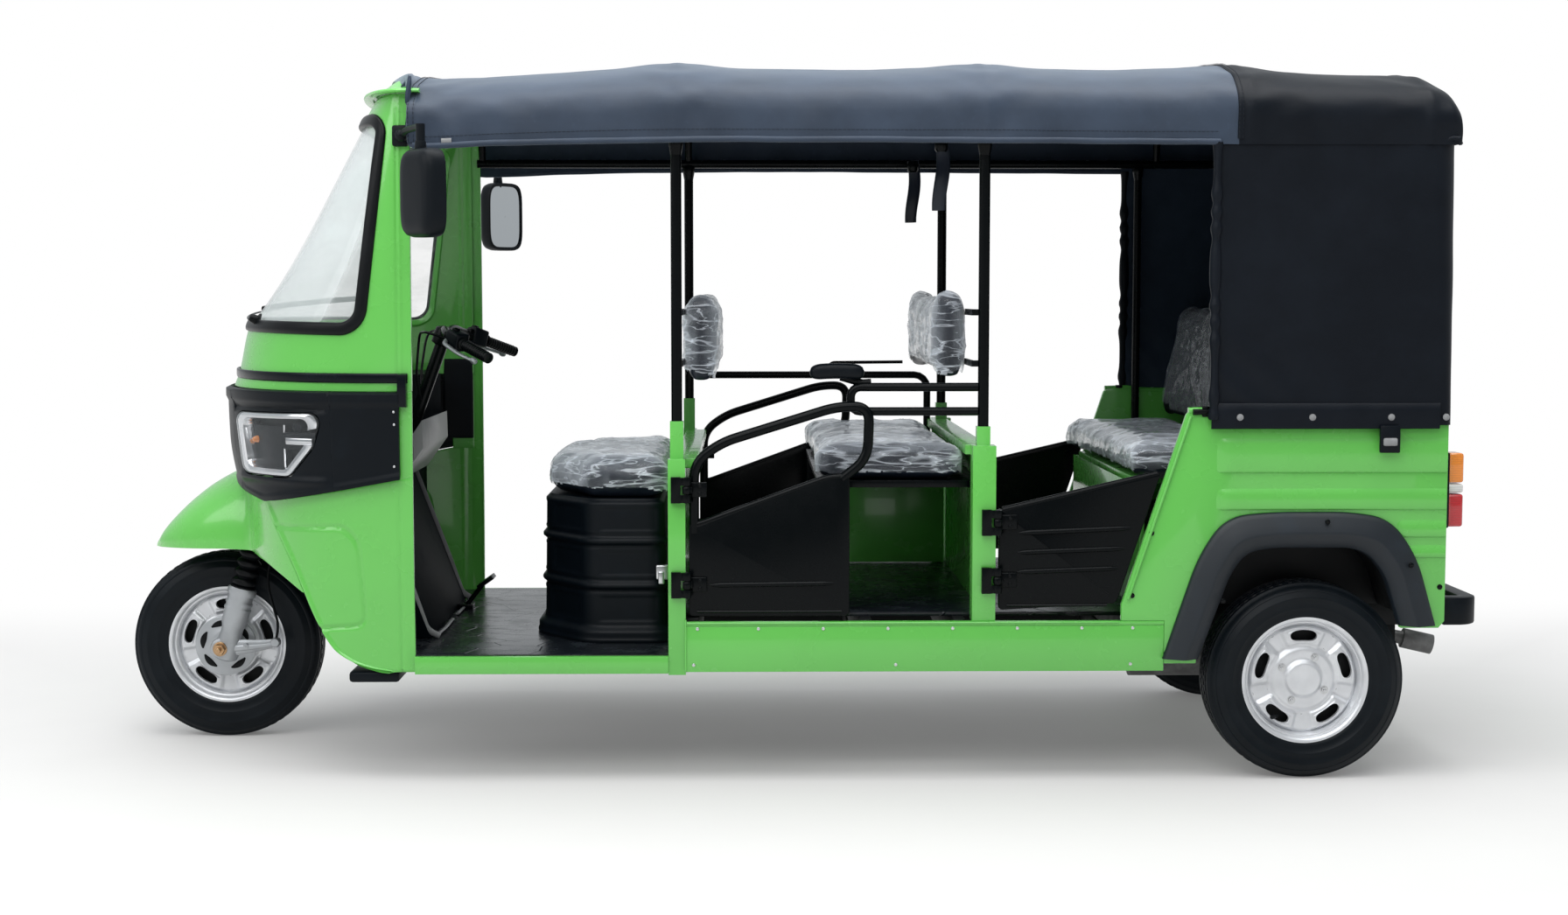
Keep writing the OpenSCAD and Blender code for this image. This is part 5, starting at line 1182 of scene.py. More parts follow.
def build_canopy():
    """Roof cloth over the bows with hem roll, seams and stitches"""
    shares = [signed(s, 0.92) for s in steps(-1, 1, 111)]
    rows = []
    for x in (*steps(-1.036, -0.88, 26), *steps(-0.872, 1.6, 250), *steps(1.607, 1.722, 26), *steps(1.7235, 1.738, 22)):
        fade = mixed(0.3, 1.0, soft_step(x, -1.03, -0.95) * soft_step(-x, -1.736, -1.65))
        rows.append([canopy_point(x, s, 0.0015 + canopy_crease(x, s) * fade) for s in shares])
    front, end = rows[0], rows[-1]
    lip = [vec(p.x + 0.004, p.y, min(p.z - 0.006, mixed(1.7885, 1.7595, soft_step(abs(p.y), 0.4, 0.585))))
           for p in front]
    rows = [lip, [vec(p.x - 0.007, p.y, mixed(q.z, p.z, 0.55)) for p, q in zip(front, lip)]] + rows
    for drop in (0.016, 0.032, 0.046):
        rows.append([vec(p.x + drop * 0.05, p.y, max(1.622, p.z - drop * 0.9 * clamp((p.z - 1.62) / 0.046)))
                     for p in end])
    girth, ridge = max(path_length(row) for row in rows), path_length([row[55] for row in rows])
    cloth_sheet("canopy_sheet", rows, (0, 0, 1.2), "cloth lining rear_cloth lining", "canopy_roof",
                settings("canopy").cloth, 1.153, (girth, ridge), held="stretched", rests_on=["canopy_frame"])

    made = Maker()
    for side in SIDES:
        hem = [canopy_point(x, side * 0.995, 0.0035) + vec(0, 0, 0.002) for x in steps(-0.9, 1.105, 150)]
        made.tube([p + vec(0, side * 0.0014, 0.0012) * noise.noise(p * 9) for p in hem], 0.0062, 10, flat=1.25)
    made.tube(lip[9:-9], 0.004, 10)
    for side in SIDES:
        # The small tabs by the front of the hem take the grey finish: a painted highlight on pulled straps
        tab = [canopy_point(x, side * 0.9, 0.006) + vec(0, 0, -0.045) for x in (-0.836, -0.824, -0.811)]
        made.tube(tab, 0.0065, 8, 1, 0.35, vec(0, 1, 0))
    made.piece("canopy_hem", "cloth grey", slot="canopy_cloth", angle=60)

    made, spots = Maker(), []
    pitch = settings("canopy").stitch
    section = mm((-17, -2), (-15.5, 0.8), (-6, 1.4), (6, 1.4), (15.5, 0.8), (17, -2))
    for x, wide, kind in ((-0.902, 0.6, 0), (1.157, 0.45, 1)):
        path, band = [], []
        for s in steps(-0.98, 0.98, 150):
            path.append(canopy_point(x, s, 0.0035 + canopy_crease(x, s)))
            facing = (canopy_point(x, s, 0.02) - canopy_point(x, s)).normalized()
            band.append([path[-1] + vec(w * wide, 0, 0) + facing * h for w, h in section])
        made.grid(band, kind)
        line = resampled(path, int(path_length(path) / pitch))
        for a, b in zip(line, line[1:]):
            facing = vec(0, a.y, a.z - 1.55).normalized()
            spots += [((a + b) / 2 + vec(shift * wide, 0, 0) + facing * 0.0014, facing, (b - a).normalized())
                      for shift in (-0.011, 0.011)]
    for side in SIDES:
        line = [canopy_point(x, side * 0.955, 0.004 + canopy_crease(x, side * 0.955)) for x in steps(-0.88, 1.1, 320)]
        line = resampled(line, int(path_length(line) / pitch))
        spots += [((a + b) / 2, (0, side, 0), (b - a).normalized()) for a, b in zip(line, line[1:])]
    made.piece("canopy_seams", "cloth rear_cloth", slot="canopy_cloth", angle=60)
    repeat("canopy_stitches", "stitch", spots, "thread")


def build_frame():
    """Posts, roof rails, stays and arched bows under the cloth"""
    made = Maker()
    rail_z, rail_y = 1.644, 0.592
    for side in SIDES:
        y = side * rail_y
        made.tube([vec(x, y, rail_z) for x in steps(-0.905, 1.665, 12)], 0.013, 18)
        for x, foot, r in ((B_POST, 0.884, 0.014), (C_POST, 0.87, 0.014), (1.129, 0.785, 0.012), (1.645, 0.785, 0.012)):
            made.tube([vec(x, y, z) for z in steps(foot, rail_z - 0.004, 12)], r, 18)
            made.lathe([(r, -0.04), (r + 0.004, -0.018), (r + 0.0055, -0.006), (r + 0.002, 0.004)],
                       (x, y, rail_z - 0.008), (0, 0, 1), 18)
        for x in (1.129, 1.645):
            made.side_block(side, (x - 0.01, rail_y, 0.795), (x + 0.01, 0.6175, 0.825), 0.003)
    for x in BOWS:
        arch = [canopy_point(x, s, -0.0185) for s in steps(-0.86, 0.86, 61)]
        left, right = (vec(x, side * rail_y, rail_z + 0.01) for side in SIDES)
        arch = [left, *(p for p in arch if abs(p.y) < rail_y - 0.006), right]
        made.tube(resampled(bent(arch, 0.03), 90), 0.011, 14)
    made.piece("canopy_tubes", "enamel", node="canopy_frame", slot="black_metal", angle=50)


CURTAIN_LOW, CURTAIN_HIGH, CURTAIN_START, CURTAIN_Y = 0.915, 1.64, 1.098, 0.6537


def curtain_path(rise):
    """Plan of the rear curtain at a share of its height, from the left front edge round the back"""
    corner, side = mixed(0.024, 0.07, rise), CURTAIN_Y
    back = TAIL + 0.004 + 0.006 * rise
    left = [vec(x, -side, 0) for x in steps(CURTAIN_START, back - corner, 76)]
    left += [vec(back - corner + corner * sin(a), -side + corner - corner * cos(a), 0)
             for a in steps(0, QUARTER, 13)[1:]]
    across = [vec(back, y, 0) for y in steps(-side + corner, side - corner, 61)[1:-1]]
    return left + across + mirrored(left[::-1])


def curtain_fold(along, rise):
    """Slack of the curtain: long slanted pulls and soft dents"""
    pull = noise.noise(vec(along * 3.1 + rise * 1.2, rise * 1.6, 4.0))
    pull += 0.5 * noise.noise(vec(along * 7.5 - rise * 4.2, rise * 2.4, 8.0))
    drag = sin(along * 52 + rise * 38) * bell(along, 0.16) * bell(rise - 0.13, 0.16)
    held = soft_step(rise, 0.0, 0.06) * soft_step(1 - rise, 0.0, 0.08)
    return settings("canopy").wrinkle * (0.9 * pull * held + 1.15 * drag)


def build_curtains():
    """Rear curtain with its rolled front edges, lower flap, snap buttons and latches"""
    rows = []
    for rise in unit(86):
        path = curtain_path(rise)
        last, whole, far, row = len(path) - 1, path_length(path), 0.0, []
        for i, p in enumerate(path):
            far += (p - path[i - 1]).length if i else 0.0
            here = min(far, whole - far) if i > len(path) // 2 else far
            along = (path[min(i + 1, last)] - path[max(i - 1, 0)]).normalized()
            slack = clamp(curtain_fold(here, rise), -0.006, 0.007) + 0.0005
            row.append(vec(p.x, p.y, mixed(CURTAIN_LOW, CURTAIN_HIGH, rise)) + vec(along.y, -along.x, 0) * slack)
        rows.append(row)
    flat = max(path_length(row) for row in rows), path_length([row[0] for row in rows])
    cloth_sheet("curtain_sheet", rows, (1.2, 0, 1.3), "rear_cloth lining", "canopy_curtains",
                settings("canopy").cloth * 0.8, TAIL + 1, flat, held="hung",
                rests_on=["canopy_frame", "quarter_panels"])

    def wave(x, side):
        return 0.003 * noise.noise(vec(x * 13, side, 0.5))

    made, latches, spots = Maker(), Maker(), []
    section = mm((972, -1), (970, 3), (950, 4.5), (925, 3.5), (908, 3), (906, -1))
    for side in SIDES:
        made.tube([vec(CURTAIN_START + 0.002, side * (CURTAIN_Y + 0.002 + 0.004 * sin(s * 9)), mixed(0.93, 1.625, s))
                   for s in unit(70)], lambda s: 0.0125 + 0.0025 * sin(s * 60 + 3 * sin(s * 17)), 14)
        made.grid([[vec(x, side * (CURTAIN_Y + 0.004 + wave(x, side) + bulge), z) for z, bulge in section]
                   for x in steps(CURTAIN_START - 0.004, TAIL - 0.03, 80)])
        spots += [((x, side * (CURTAIN_Y + 0.0082 + wave(x, side)), 0.936), (0, side, 0), (1, 0, 0))
                  for x in (1.166, 1.35, 1.55, 1.69)]
        nub = vec(TAIL - 0.03, side * (CURTAIN_Y - 0.012), 1.632)
        nub = [nub, nub + vec(0.02, side * 0.01, 0.004), nub + vec(0.034, side * 0.012, 0.002)]
        made.tube(nub, 0.012, 12, flat=0.7)
        turn = Matrix.Translation((1.545, side * (CURTAIN_Y + 0.016), 0.88))
        latches.block((-0.026, -0.006, -0.034), (0.026, 0.006, 0.036), 0.004, 2, 0, turn)
        latches.block((-0.018, -0.01, -0.016), (0.018, 0.01, 0.004), 0.004, 2, 1, turn)
    made.piece("curtain_trim", "rear_cloth", slot="canopy_cloth", angle=60)
    repeat("snap_buttons", "button", spots, "grey", size=0.8)
    latches.piece("curtain_latch", "plastic grey", slot="black_metal")


def stay_finish(names, finish, bevel=0.0, angle=40):
    """CAD solids that stay in view: their finish, and rounded edges"""
    for name in names.split():
        node = NODES[name]
        node.data.materials.clear()
        node.data.materials.append(FINISHES[finish])
        node.data.polygons.foreach_set("material_index", [0] * len(node.data.polygons))
        node.modifiers.new("weld", "WELD").merge_threshold = 0.00002
        if bevel:
            rim = node.modifiers.new("rim", "BEVEL")
            rim.width, rim.segments, rim.limit_method, rim.angle_limit = bevel, 2, "ANGLE", radians(40)
        node.data.polygons.foreach_set("use_smooth", [True] * len(node.data.polygons))
        node.modifiers.new("normals", "EDGE_SPLIT").split_angle = radians(angle)


def dress_frame():
    """Finishes of the solids that stay in view"""
    stay_finish("chassis_rails cross_members steering_head leaf_springs rear_axle wheel_wells", "under", 0.002)
    stay_finish("drive_unit tail_pipe", "iron", 0.002)
    stay_finish("floor_plates", "mat", 0.003)
    stay_finish("side_sills posts partitions rear_bench tail_panel", "green", 0.003)
    stay_finish("mid_bench_frame brake_pedal door_hinges", "enamel", 0.0012)
    stay_finish("guard_rails", "enamel", 0.0, 50)
    stay_finish("leg_shield", "shield", 0.004)
    stay_finish("dash_bin", "grey", 0.006)
    stay_finish("rear_bumper", "plastic", 0.006)


# Wheels


def build_tyre(node, body):
    """Tyre with beads, sidewall lines, shoulder lugs and a blocked tread"""
    low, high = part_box(node)
    centre, radius, width = (low + high) / 2, (high.z - low.z) / 2, high.y - low.y
    depth, count, bead = settings("wheels").depth, settings("wheels").blocks, 0.16
    side = [(bead, 0.345), (bead + 0.006, 0.385), (bead + 0.014, 0.405), (bead + 0.017, 0.402)]
    side += [(mixed(bead, radius, rise), out) for rise, out in (
        (0.3, 0.462), (0.325, 0.47), (0.345, 0.4655), (0.46, 0.488), (0.56, 0.49), (0.575, 0.4965), (0.61, 0.4965),
        (0.625, 0.486), (0.74, 0.462), (0.76, 0.448), (0.775, 0.452), (0.86, 0.418))]
    side += [(radius - depth - 0.006, 0.382), (radius - depth, 0.345)]
    side = [(r, out * width) for r, out in side]
    crown = []
    for u in steps(1, -1, 41):
        r, y = radius - depth * 0.35 + depth * 0.35 * cos(u * 1.3), u * 0.335 * width
        cut = min(abs(abs(y) - g * width) for g in (0.085, 0.225))
        crown.append((r - depth * (1 - soft_step(cut, 0.0035, 0.006)) - 0.0006, y))
    inner = [(bead + 0.002, -0.3 * width), (mixed(bead, radius, 0.5), -0.42 * width), (radius - 0.02, -0.2 * width)]
    profile = side + crown + [(r, -y) for r, y in side[::-1]] + inner + [(r, -y) for r, y in inner[::-1]]
    Maker().lathe(profile, centre, (0, 1, 0), 120, closed=True).piece(node + "_rubber", "tyre", body, node, "tyre", 50)

    spots, lugs = [], []
    for i in range(count):
        for k, (share, lag) in enumerate(((-0.155, 0.0), (0.0, 0.5), (0.155, 0.0))):
            a = tau * (i + lag) / count
            facing = vec(cos(a), 0, sin(a))
            along = vec(-sin(a), 0.35 * (k - 1), cos(a)).normalized()
            spots.append((centre + facing * (radius - 0.0002) + vec(0, share * width, 0), facing, along))
        for end in SIDES:
            a, tilt = tau * (i + 0.25 + 0.25 * end) / count, radians(38) * end
            lugs.append((centre + vec(cos(a), 0, sin(a)) * (radius - 0.0105) + vec(0, end * 0.372 * width, 0),
                         vec(cos(a) * cos(tilt), sin(tilt), sin(a) * cos(tilt)), vec(-sin(a), 0, cos(a))))
    repeat(node + "_blocks", "block", spots, "tyre", body, width / 0.135)
    repeat(node + "_lugs", "shoulder", lugs, "tyre", body, width / 0.135)
    return centre, width


SLOT_AT, SLOT_LONG, SLOT_WIDE, SLOT_FIRST = 0.1135, 0.0345, 0.0142, radians(18)


def build_rim(node, centre, body, side, width, disc_out, hub):
    """Pressed wheel: rolled lips, well, dished disc with five slots and raised lobes, hub"""
    made = Maker()

    def place(radius, angle, out):
        return vec(centre.x + radius * cos(angle), centre.y + out * side, centre.z + radius * sin(angle))

    def rings(rows, count, kind=0):
        made.grid([[place(r, a, y) for a in circle(count)] for r, y in rows], kind, True)

    def dish(radius, angle, lift=0.0):
        """Height of the disc's face: hub boss, ring of nuts, lobes between the slots, rolled flange"""
        boss = 0.01 * (1 - soft_step(radius, 0.04, 0.052))
        ring = 0.009 * (1 - soft_step(radius, 0.074, 0.09))
        near = abs(((angle - SLOT_FIRST) * 5 / tau + 0.5) % 1.0 - 0.5)
        lobe = 0.0085 * soft_step(-near, -0.4, -0.31)
        lobe *= soft_step(radius, 0.08, 0.096) * soft_step(-radius, -0.142, -0.131)
        return disc_out + boss + ring + lobe - 0.006 * soft_step(radius, 0.134, 0.147) + lift

    half = 0.36 * width
    lip = [(r, half + y) for r, y in mm((150, -12), (152.5, -4), (158, 1), (166.5, 1.5), (171.2, -1.5), (172, -6),
                                        (170, -8.5), (164, -7.5), (156, -10), (154.5, -20))]
    well = [(0.1545, half - 0.02), (0.152, 0.25 * width), (0.146, 0.2 * width)]
    well += [(0.1455, -0.2 * width), (0.152, -0.25 * width), (0.1545, -half + 0.02)]
    barrel = lip + well + [(r, -y) for r, y in lip[::-1]]
    shell = [(0.147, -half + 0.012), (0.142, -0.2 * width), (0.1415, 0.2 * width), (0.147, half - 0.012)]
    rings(barrel + shell + [barrel[0]], 96)
    for i in range(5):
        middle, wide = SLOT_FIRST + tau * i / 5, tau / 10
        hole = [(SLOT_AT + signed(sin(s), 0.85) * SLOT_WIDE, middle + signed(cos(s), 0.65) * SLOT_LONG / SLOT_AT)
                for s in circle(80)]
        field = []
        for r, a in hole:
            u, v = (a - middle) / wide, (r - SLOT_AT) / 0.02
            grow = 1 / max(abs(u), abs(v), 1e-6)
            field.append((SLOT_AT + v * grow * 0.02, middle + u * grow * wide))
        rows = []
        for s in unit(13):
            row = [(mixed(a[0], b[0], s), mixed(a[1], b[1], s)) for a, b in zip(field, hole)]
            rows.append([place(r, a, dish(r, a, 0.0022 * soft_step(s, 0.72, 0.95))) for r, a in row])
        rows += [[place(r, a, dish(r, a, drop)) for r, a in hole] for drop in (-0.002, -0.009)]
        made.grid(rows, 0, True)
    for low, high, count in ((0.0, 0.0937, 28), (0.1333, 0.148, 7)):
        made.grid([[place(max(r, 1e-4), a, dish(r, a)) for a in circle(120)] for r in steps(low, high, count)], 0, True)
    for outer, inner, drop, kind in ((0.145, 0.135, 0.012, 0), (0.092, 0.03, 0.012, 0), (0.1405, 0.03, 0.026, 2)):
        rings([(outer, disc_out - drop), (inner, disc_out - drop)], 72, kind)
    r, y0, y1 = hub
    rings([(0.0001, y1), (r * 0.7, y1), (r * 0.94, y1 - 0.001), (r, y1 - 0.005), (r, y0), (0.0001, y0)], 48, 1)
    made.piece(node + "_pressing", "silver casting under", body, node, "rim_steel", 50)
    return lambda radius, angle, lift: place(radius, angle, dish(radius, angle) + lift)


def build_wheels():
    """Three wheels with their tyres, nuts and valves"""
    spots = {end: build_tyre(end + "_tyre", end + "_wheel")
             for end in ("front", "rear_left", "rear_right")}
    centre, width = spots["front"]
    build_rim("front_rim", centre, "front_wheel", -1, width, 0.012, (0.044, -0.055, 0.046))
    for end, side in (("rear_left", -1), ("rear_right", 1)):
        node, body, (centre, width) = end + "_rim", end + "_wheel", spots[end]
        on_disc = build_rim(node, centre, body, side, spots["rear_left"][1], 0.02, (0.04, 0.01, 0.0345))
        nuts = [radians(62) + tau * i / 4 for i in range(4)]
        repeat(node + "_nuts", "nut", [(on_disc(0.063, a, -0.001), (0, side, 0), (cos(a), 0, sin(a))) for a in nuts],
               "steel", body, 0.8)
        root, tip = on_disc(0.128, radians(-128), 0), on_disc(0.117, radians(-128), 0.026)
        valve = [root, root.lerp(tip, 0.5), root.lerp(tip, 0.7), tip]
        made = Maker().tube(valve, lambda s: 0.0055 if s < 0.6 else 0.0042, 12)
        made.piece(node + "_valve", "rubber", body, slot="tyre")


# Front fork

FORK_FOOT = vec(-1.512, 0, 0.262)
FORK_AXIS = vec(sin(radians(15)), 0, cos(radians(15)))
FORK_ACROSS = vec(-FORK_AXIS.z, 0, FORK_AXIS.x)
CABLE_WIDE = 0.0072
FLAT_UP = vec(0, 1, 0)


def fork_point(far, ahead, side):
    return FORK_FOOT + FORK_AXIS * far + FORK_ACROSS * ahead + vec(0, side, 0)


def cable(name, corners, radius, body):
    """Control cable from one fitting into another on the same body"""
    route = resampled(bent(corners, radius, 8), 40)
    obj = Maker().tube(route, CABLE_WIDE / 2, 10).piece(name, "rubber", body, slot="rubber", angle=60)
    tuple(route[0])
    path_length(route)


def build_fork():
    """Bellows, castings, brake plate with its arm, axle nuts"""
    made, boots = Maker(), Maker()

    def leg(into, foot, side, profile):
        """Oval leg: wide along the vehicle, kept clear of the tyre on its inner side"""
        into.grid([[foot + FORK_AXIS * far + FORK_ACROSS * (r * cos(a))
                    + vec(0, side * 0.003 + min(r, 0.031) * sin(a), 0) for a in circle(36)] for r, far in profile],
                  0, True, True)

    slider = mm((20, -40), (31, -34), (34, -24), (33, 10), (31, 30), (29.5, 50), (31, 56), (35, 68), (35.5, 104),
                (37.5, 107), (37.5, 112), (35, 114), (35, 122), (37.5, 124), (37.5, 130), (35, 132), (35, 148),
                (39.5, 151), (40, 158), (40, 166), (36, 170))
    bellows = [(0.0245 + 0.01 * (0.5 + 0.5 * sin(s * tau * 8 - 1.2)) ** 0.7 - 0.002 * s, mixed(0.176, 0.392, s))
               for s in unit(121)]
    bellows = mm((30, 167), (34.5, 169), (34.5, 174)) + bellows + mm((26, 399))
    for side in SIDES:
        y = side * 0.092
        foot, out = fork_point(0.0, 0.016, y), vec(0, side, 0)
        leg(made, foot, side, slider)
        leg(boots, foot, side, bellows)
        axle = vec(FRONT_AXLE.x, y, FRONT_AXLE.z)
        for count, kind, profile in (
                (32, 0, mm((30, -26), (31, 16), (28, 24), (20, 28), (1, 28))),
                (24, 1, mm((18.5, 26), (20.5, 28), (20.5, 33), (18.5, 35), (1, 35))),
                (6, 1, mm((15, 34), (16.5, 35), (16.5, 46), (15, 48), (1, 48))),
                (16, 1, mm((7.5, 46), (7.8, 60), (6, 62), (1, 62)))):
            made.lathe(profile, axle, out, count, kind)
        made.tube([axle + out * 0.002, foot + FORK_AXIS * 0.03 + out * 0.002], 0.03, 20, flat=0.8)
    axle = vec(FRONT_AXLE.x, -0.092, FRONT_AXLE.z)
    made.lathe(mm((30, 43.5), (83, 43.5), (84.5, 40), (84.5, 33.5), (80, 31.5), (52, 32), (46, 27.5), (30, 26.5)),
               axle, (0, 1, 0), 72)
    for turn in (35, 105, 165, 225, 305):
        arc = [radians(turn + 22 * s) for s in steps(-1, 1, 13)]
        made.tube([axle + vec(0.064 * cos(a), 0.0316, 0.064 * sin(a)) for a in arc],
                  lambda s: 0.002 + 0.0065 * sin(pi * s), 10, 2, 0.22, FLAT_UP)
    arm = [axle + Vector(p) for p in mm((4, -14, 0), (60, -16, 4), (118, -16, 9), (152, -15, 16))]
    made.tube(resampled(bent(arm, 0.03), 24), lambda s: 0.026 - 0.015 * s, 14, 0, 0.3, FLAT_UP)
    web = [p + vec(0, -0.006, -0.002) for p in arm]
    made.tube(resampled(bent(web, 0.03), 24), lambda s: 0.011 - 0.006 * s, 12, 0, 0.5, FLAT_UP)
    for x, z, r in ((0.07, 0.006, 0.009), (0.15, 0.016, 0.0135)):
        made.lathe([(0.001, 0.014), (r * 0.8, 0.013), (r, 0.008), (r, -0.009), (0.001, -0.009)],
                   axle + vec(x, -0.014, z), (0, -1, 0), 18)
    cable("brake_cable", [axle + vec(0.15, -0.014, 0.018), axle + vec(0.158, -0.008, 0.062),
                          fork_point(0.21, -0.036, -0.084), fork_point(0.36, -0.04, -0.082),
                          fork_point(0.412, -0.014, -0.084)], 0.05, "fork")
    made.piece("fork_castings", "casting brass rubber", "fork", "fork_sliders", "bare_steel", 40)
    boots.block(fork_point(0.398, -0.02, -0.13), fork_point(0.398, 0.055, 0.13) + vec(0, 0, 0.036), 0.008)
    boots.tube([fork_point(0.4, 0, 0), fork_point(0.66, 0, 0)], 0.024, 24)
    boots.piece("fork_boots", "rubber", "fork", "fork", "black_metal", 45)


# Cushions


def cushion_block(name, corners, low, high, round_off):
    """Foam block with rounded edges"""
    made = bmesh.new()
    face = made.faces.new([made.verts.new((x, y, low)) for x, y in corners])
    grown = bmesh.ops.extrude_face_region(made, geom=[face])["geom"]
    bmesh.ops.translate(made, vec=(0, 0, high - low), verts=[g for g in grown if isinstance(g, bmesh.types.BMVert)])
    bmesh.ops.recalc_face_normals(made, faces=made.faces)
    bmesh.ops.bevel(made, geom=made.edges[:], offset=round_off, segments=3, profile=0.55, affect="EDGES")
    mesh = bpy.data.meshes.new(name)
    made.to_mesh(mesh)
    made.free()
    return linked(name, mesh)


CLOTH_FRAMES = 20


def inflate(obj):
    """Lets the skin of a foam block swell as filled cloth, no further than the swell setting"""
    given, scene = settings("seats"), bpy.context.scene
    remesh = obj.modifiers.new("voxel", "REMESH")
    remesh.mode, remesh.voxel_size = "VOXEL", given.voxel
    settle(obj)
    rest = [v.co.copy() for v in obj.data.vertices]
    cloth = obj.modifiers.new("cloth", "CLOTH")
    for key, value in (("quality", 5), ("mass", 0.3), ("tension_stiffness", 18), ("compression_stiffness", 18),
                       ("bending_stiffness", 0.6), ("use_pressure", True), ("uniform_pressure_force", 4.0),
                       ("shrink_min", -0.02)):
        setattr(cloth.settings, key, value)
    cloth.settings.effector_weights.gravity = 0.0
    cloth.point_cache.frame_start, cloth.point_cache.frame_end = 1, CLOTH_FRAMES
    for at in range(1, CLOTH_FRAMES + 1):
        scene.frame_set(at)
    settle(obj)
    scene.frame_set(1)
    for v, old in zip(obj.data.vertices, rest):
        move = v.co - old
        if move.length > given.swell:
            v.co = old + move.normalized() * given.swell
    fine = obj.modifiers.new("smooth", "SUBSURF")
    fine.levels = fine.render_levels = 1
    return settle(obj)


def span(points):
    """Lowest and highest corner of a cloud of points"""
    return [Vector(pick(p[k] for p in points) for k in range(3)) for pick in (min, max)]


def film_over(name, cushion, floor, seed):
    """Clear wrapping over a cushion: lifted from it in sharp folds, open underneath"""
    given = settings("seats")
    obj = linked(name, cushion.data.copy())
    mesh = obj.data
    normals = [v.normal.copy() for v in mesh.vertices]
    low = min(v.co.z for v in mesh.vertices)
    folds = []
    for v, facing in zip(mesh.vertices, normals):
        p = v.co + vec(seed, seed * 0.7, 0)
        drift = noise.noise_vector(p * 4.0) * 0.1
        a = 1 - abs(noise.noise((p + drift) * 7.5)) * 2.6
        b = 1 - abs(noise.noise((p + drift) * 17.0 + vec(3, 1, 5))) * 2.4
        ridge = clamp(a) ** 2 * 0.75 + clamp(b) ** 3 * 0.4
        folds.append(clamp(ridge))
        skirt = 1 + 0.5 * soft_step(0.03 - (v.co.z - low), 0.0, 0.03)
        v.co += facing * (given.lift + given.crinkle * (ridge * 0.9 + 0.35 * noise.noise(p * 3.0)) * skirt)
        v.co.z = max(v.co.z, floor)
    mesh.attributes.new("fold", "FLOAT", "POINT").data.foreach_set("value", folds)
    mesh.materials.clear()
    mesh.materials.append(FINISHES["film"])
    made = bmesh.new()
    made.from_mesh(mesh)
    under = [g for g in made.faces if g.normal.z < -0.35 and g.calc_center_median().z < low + 0.03]
    bmesh.ops.delete(made, geom=under, context="FACES")
    made.to_mesh(mesh)
    made.free()
    smooth(mesh, 75)
    return obj


def film_sheet(obj):
    """Declares a film as the sheet that it is, by its measured area"""
    low, high = span([v.co for v in obj.data.vertices])


def cushion(name, node, corners, low, high, round_off, seed, replaces=True):
    """Swollen cushion brought back to the room that it has, under its film"""
    obj = inflate(cushion_block(name, corners, low, high, round_off))
    at_low, at_high = span([v.co for v in obj.data.vertices])
    to_low, to_high = span([(x, y, z) for x, y in corners for z in (low, high)])
    for v in obj.data.vertices:
        v.co = Vector(mixed(to_low[k], to_high[k], (v.co[k] - at_low[k]) / (at_high[k] - at_low[k])) for k in range(3))
    obj.data.materials.clear()
    obj.data.materials.append(FINISHES["vinyl"])
    smooth(obj.data, 60)
    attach(obj, "chassis")
    if replaces:
        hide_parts(node)
    film = film_over(name + "_film", obj, low + 0.001, seed)
    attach(film, "chassis")
    film_sheet(film)
    return obj, film


def square(x0, x1, y):
    return [(x0, -y), (x1, -y), (x1, y), (x0, y)]


def build_seats():
    """Driver's seat, two benches and the backrests, each under its film"""
    low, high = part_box("driver_cushion")
    cushion("driver_pad", "driver_cushion",
            mm((-612, -228), (-490, -420), (-290, -420), (-290, 420), (-490, 420), (-612, 228)),
            low.z, high.z - 0.024, 0.03, 1.7)
    gap = 0.006
    for name, seed in (("mid", 4.1), ("rear", 7.9)):
        low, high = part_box(name + "_cushion")
        cushion(name + "_pad", name + "_cushion",
                [(low.x + gap, low.y + gap), (high.x - gap, low.y + gap), (high.x - gap, high.y - gap),
                 (low.x + gap, high.y - gap)], low.z, high.z - 0.004, 0.026, seed)
    backs = [cushion(name, "backrests", square(x0, x1, y), z0, z1, round_off, seed, False)
             for name, x0, x1, y, z0, z1, round_off, seed in (
                 ("driver_back", -0.237, -0.159, 0.466, 1.022, 1.238, 0.024, 2.2),
                 ("mid_back", 0.411, 0.489, 0.466, 1.032, 1.248, 0.024, 5.5),
                 ("rear_back", -0.02, 0.046, 0.534, 0.004, 0.334, 0.03, 9.3))]
    lean = Matrix.Translation((1.207, 0, 0.878)) @ Matrix.Rotation(radians(12), 4, "Y")
    # Painted shade: the rear backrest takes the darker shaded vinyl and the thinner shaded film, as it sits in the
    # canopy's shadow
    for obj, finish in zip(backs[-1], ("shaded_vinyl", "shaded_film")):
        obj.data.transform(lean)
        obj.data.update()
        obj.data.materials[0] = FINISHES[finish]
    for obj, _ in backs:
        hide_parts("backrests")


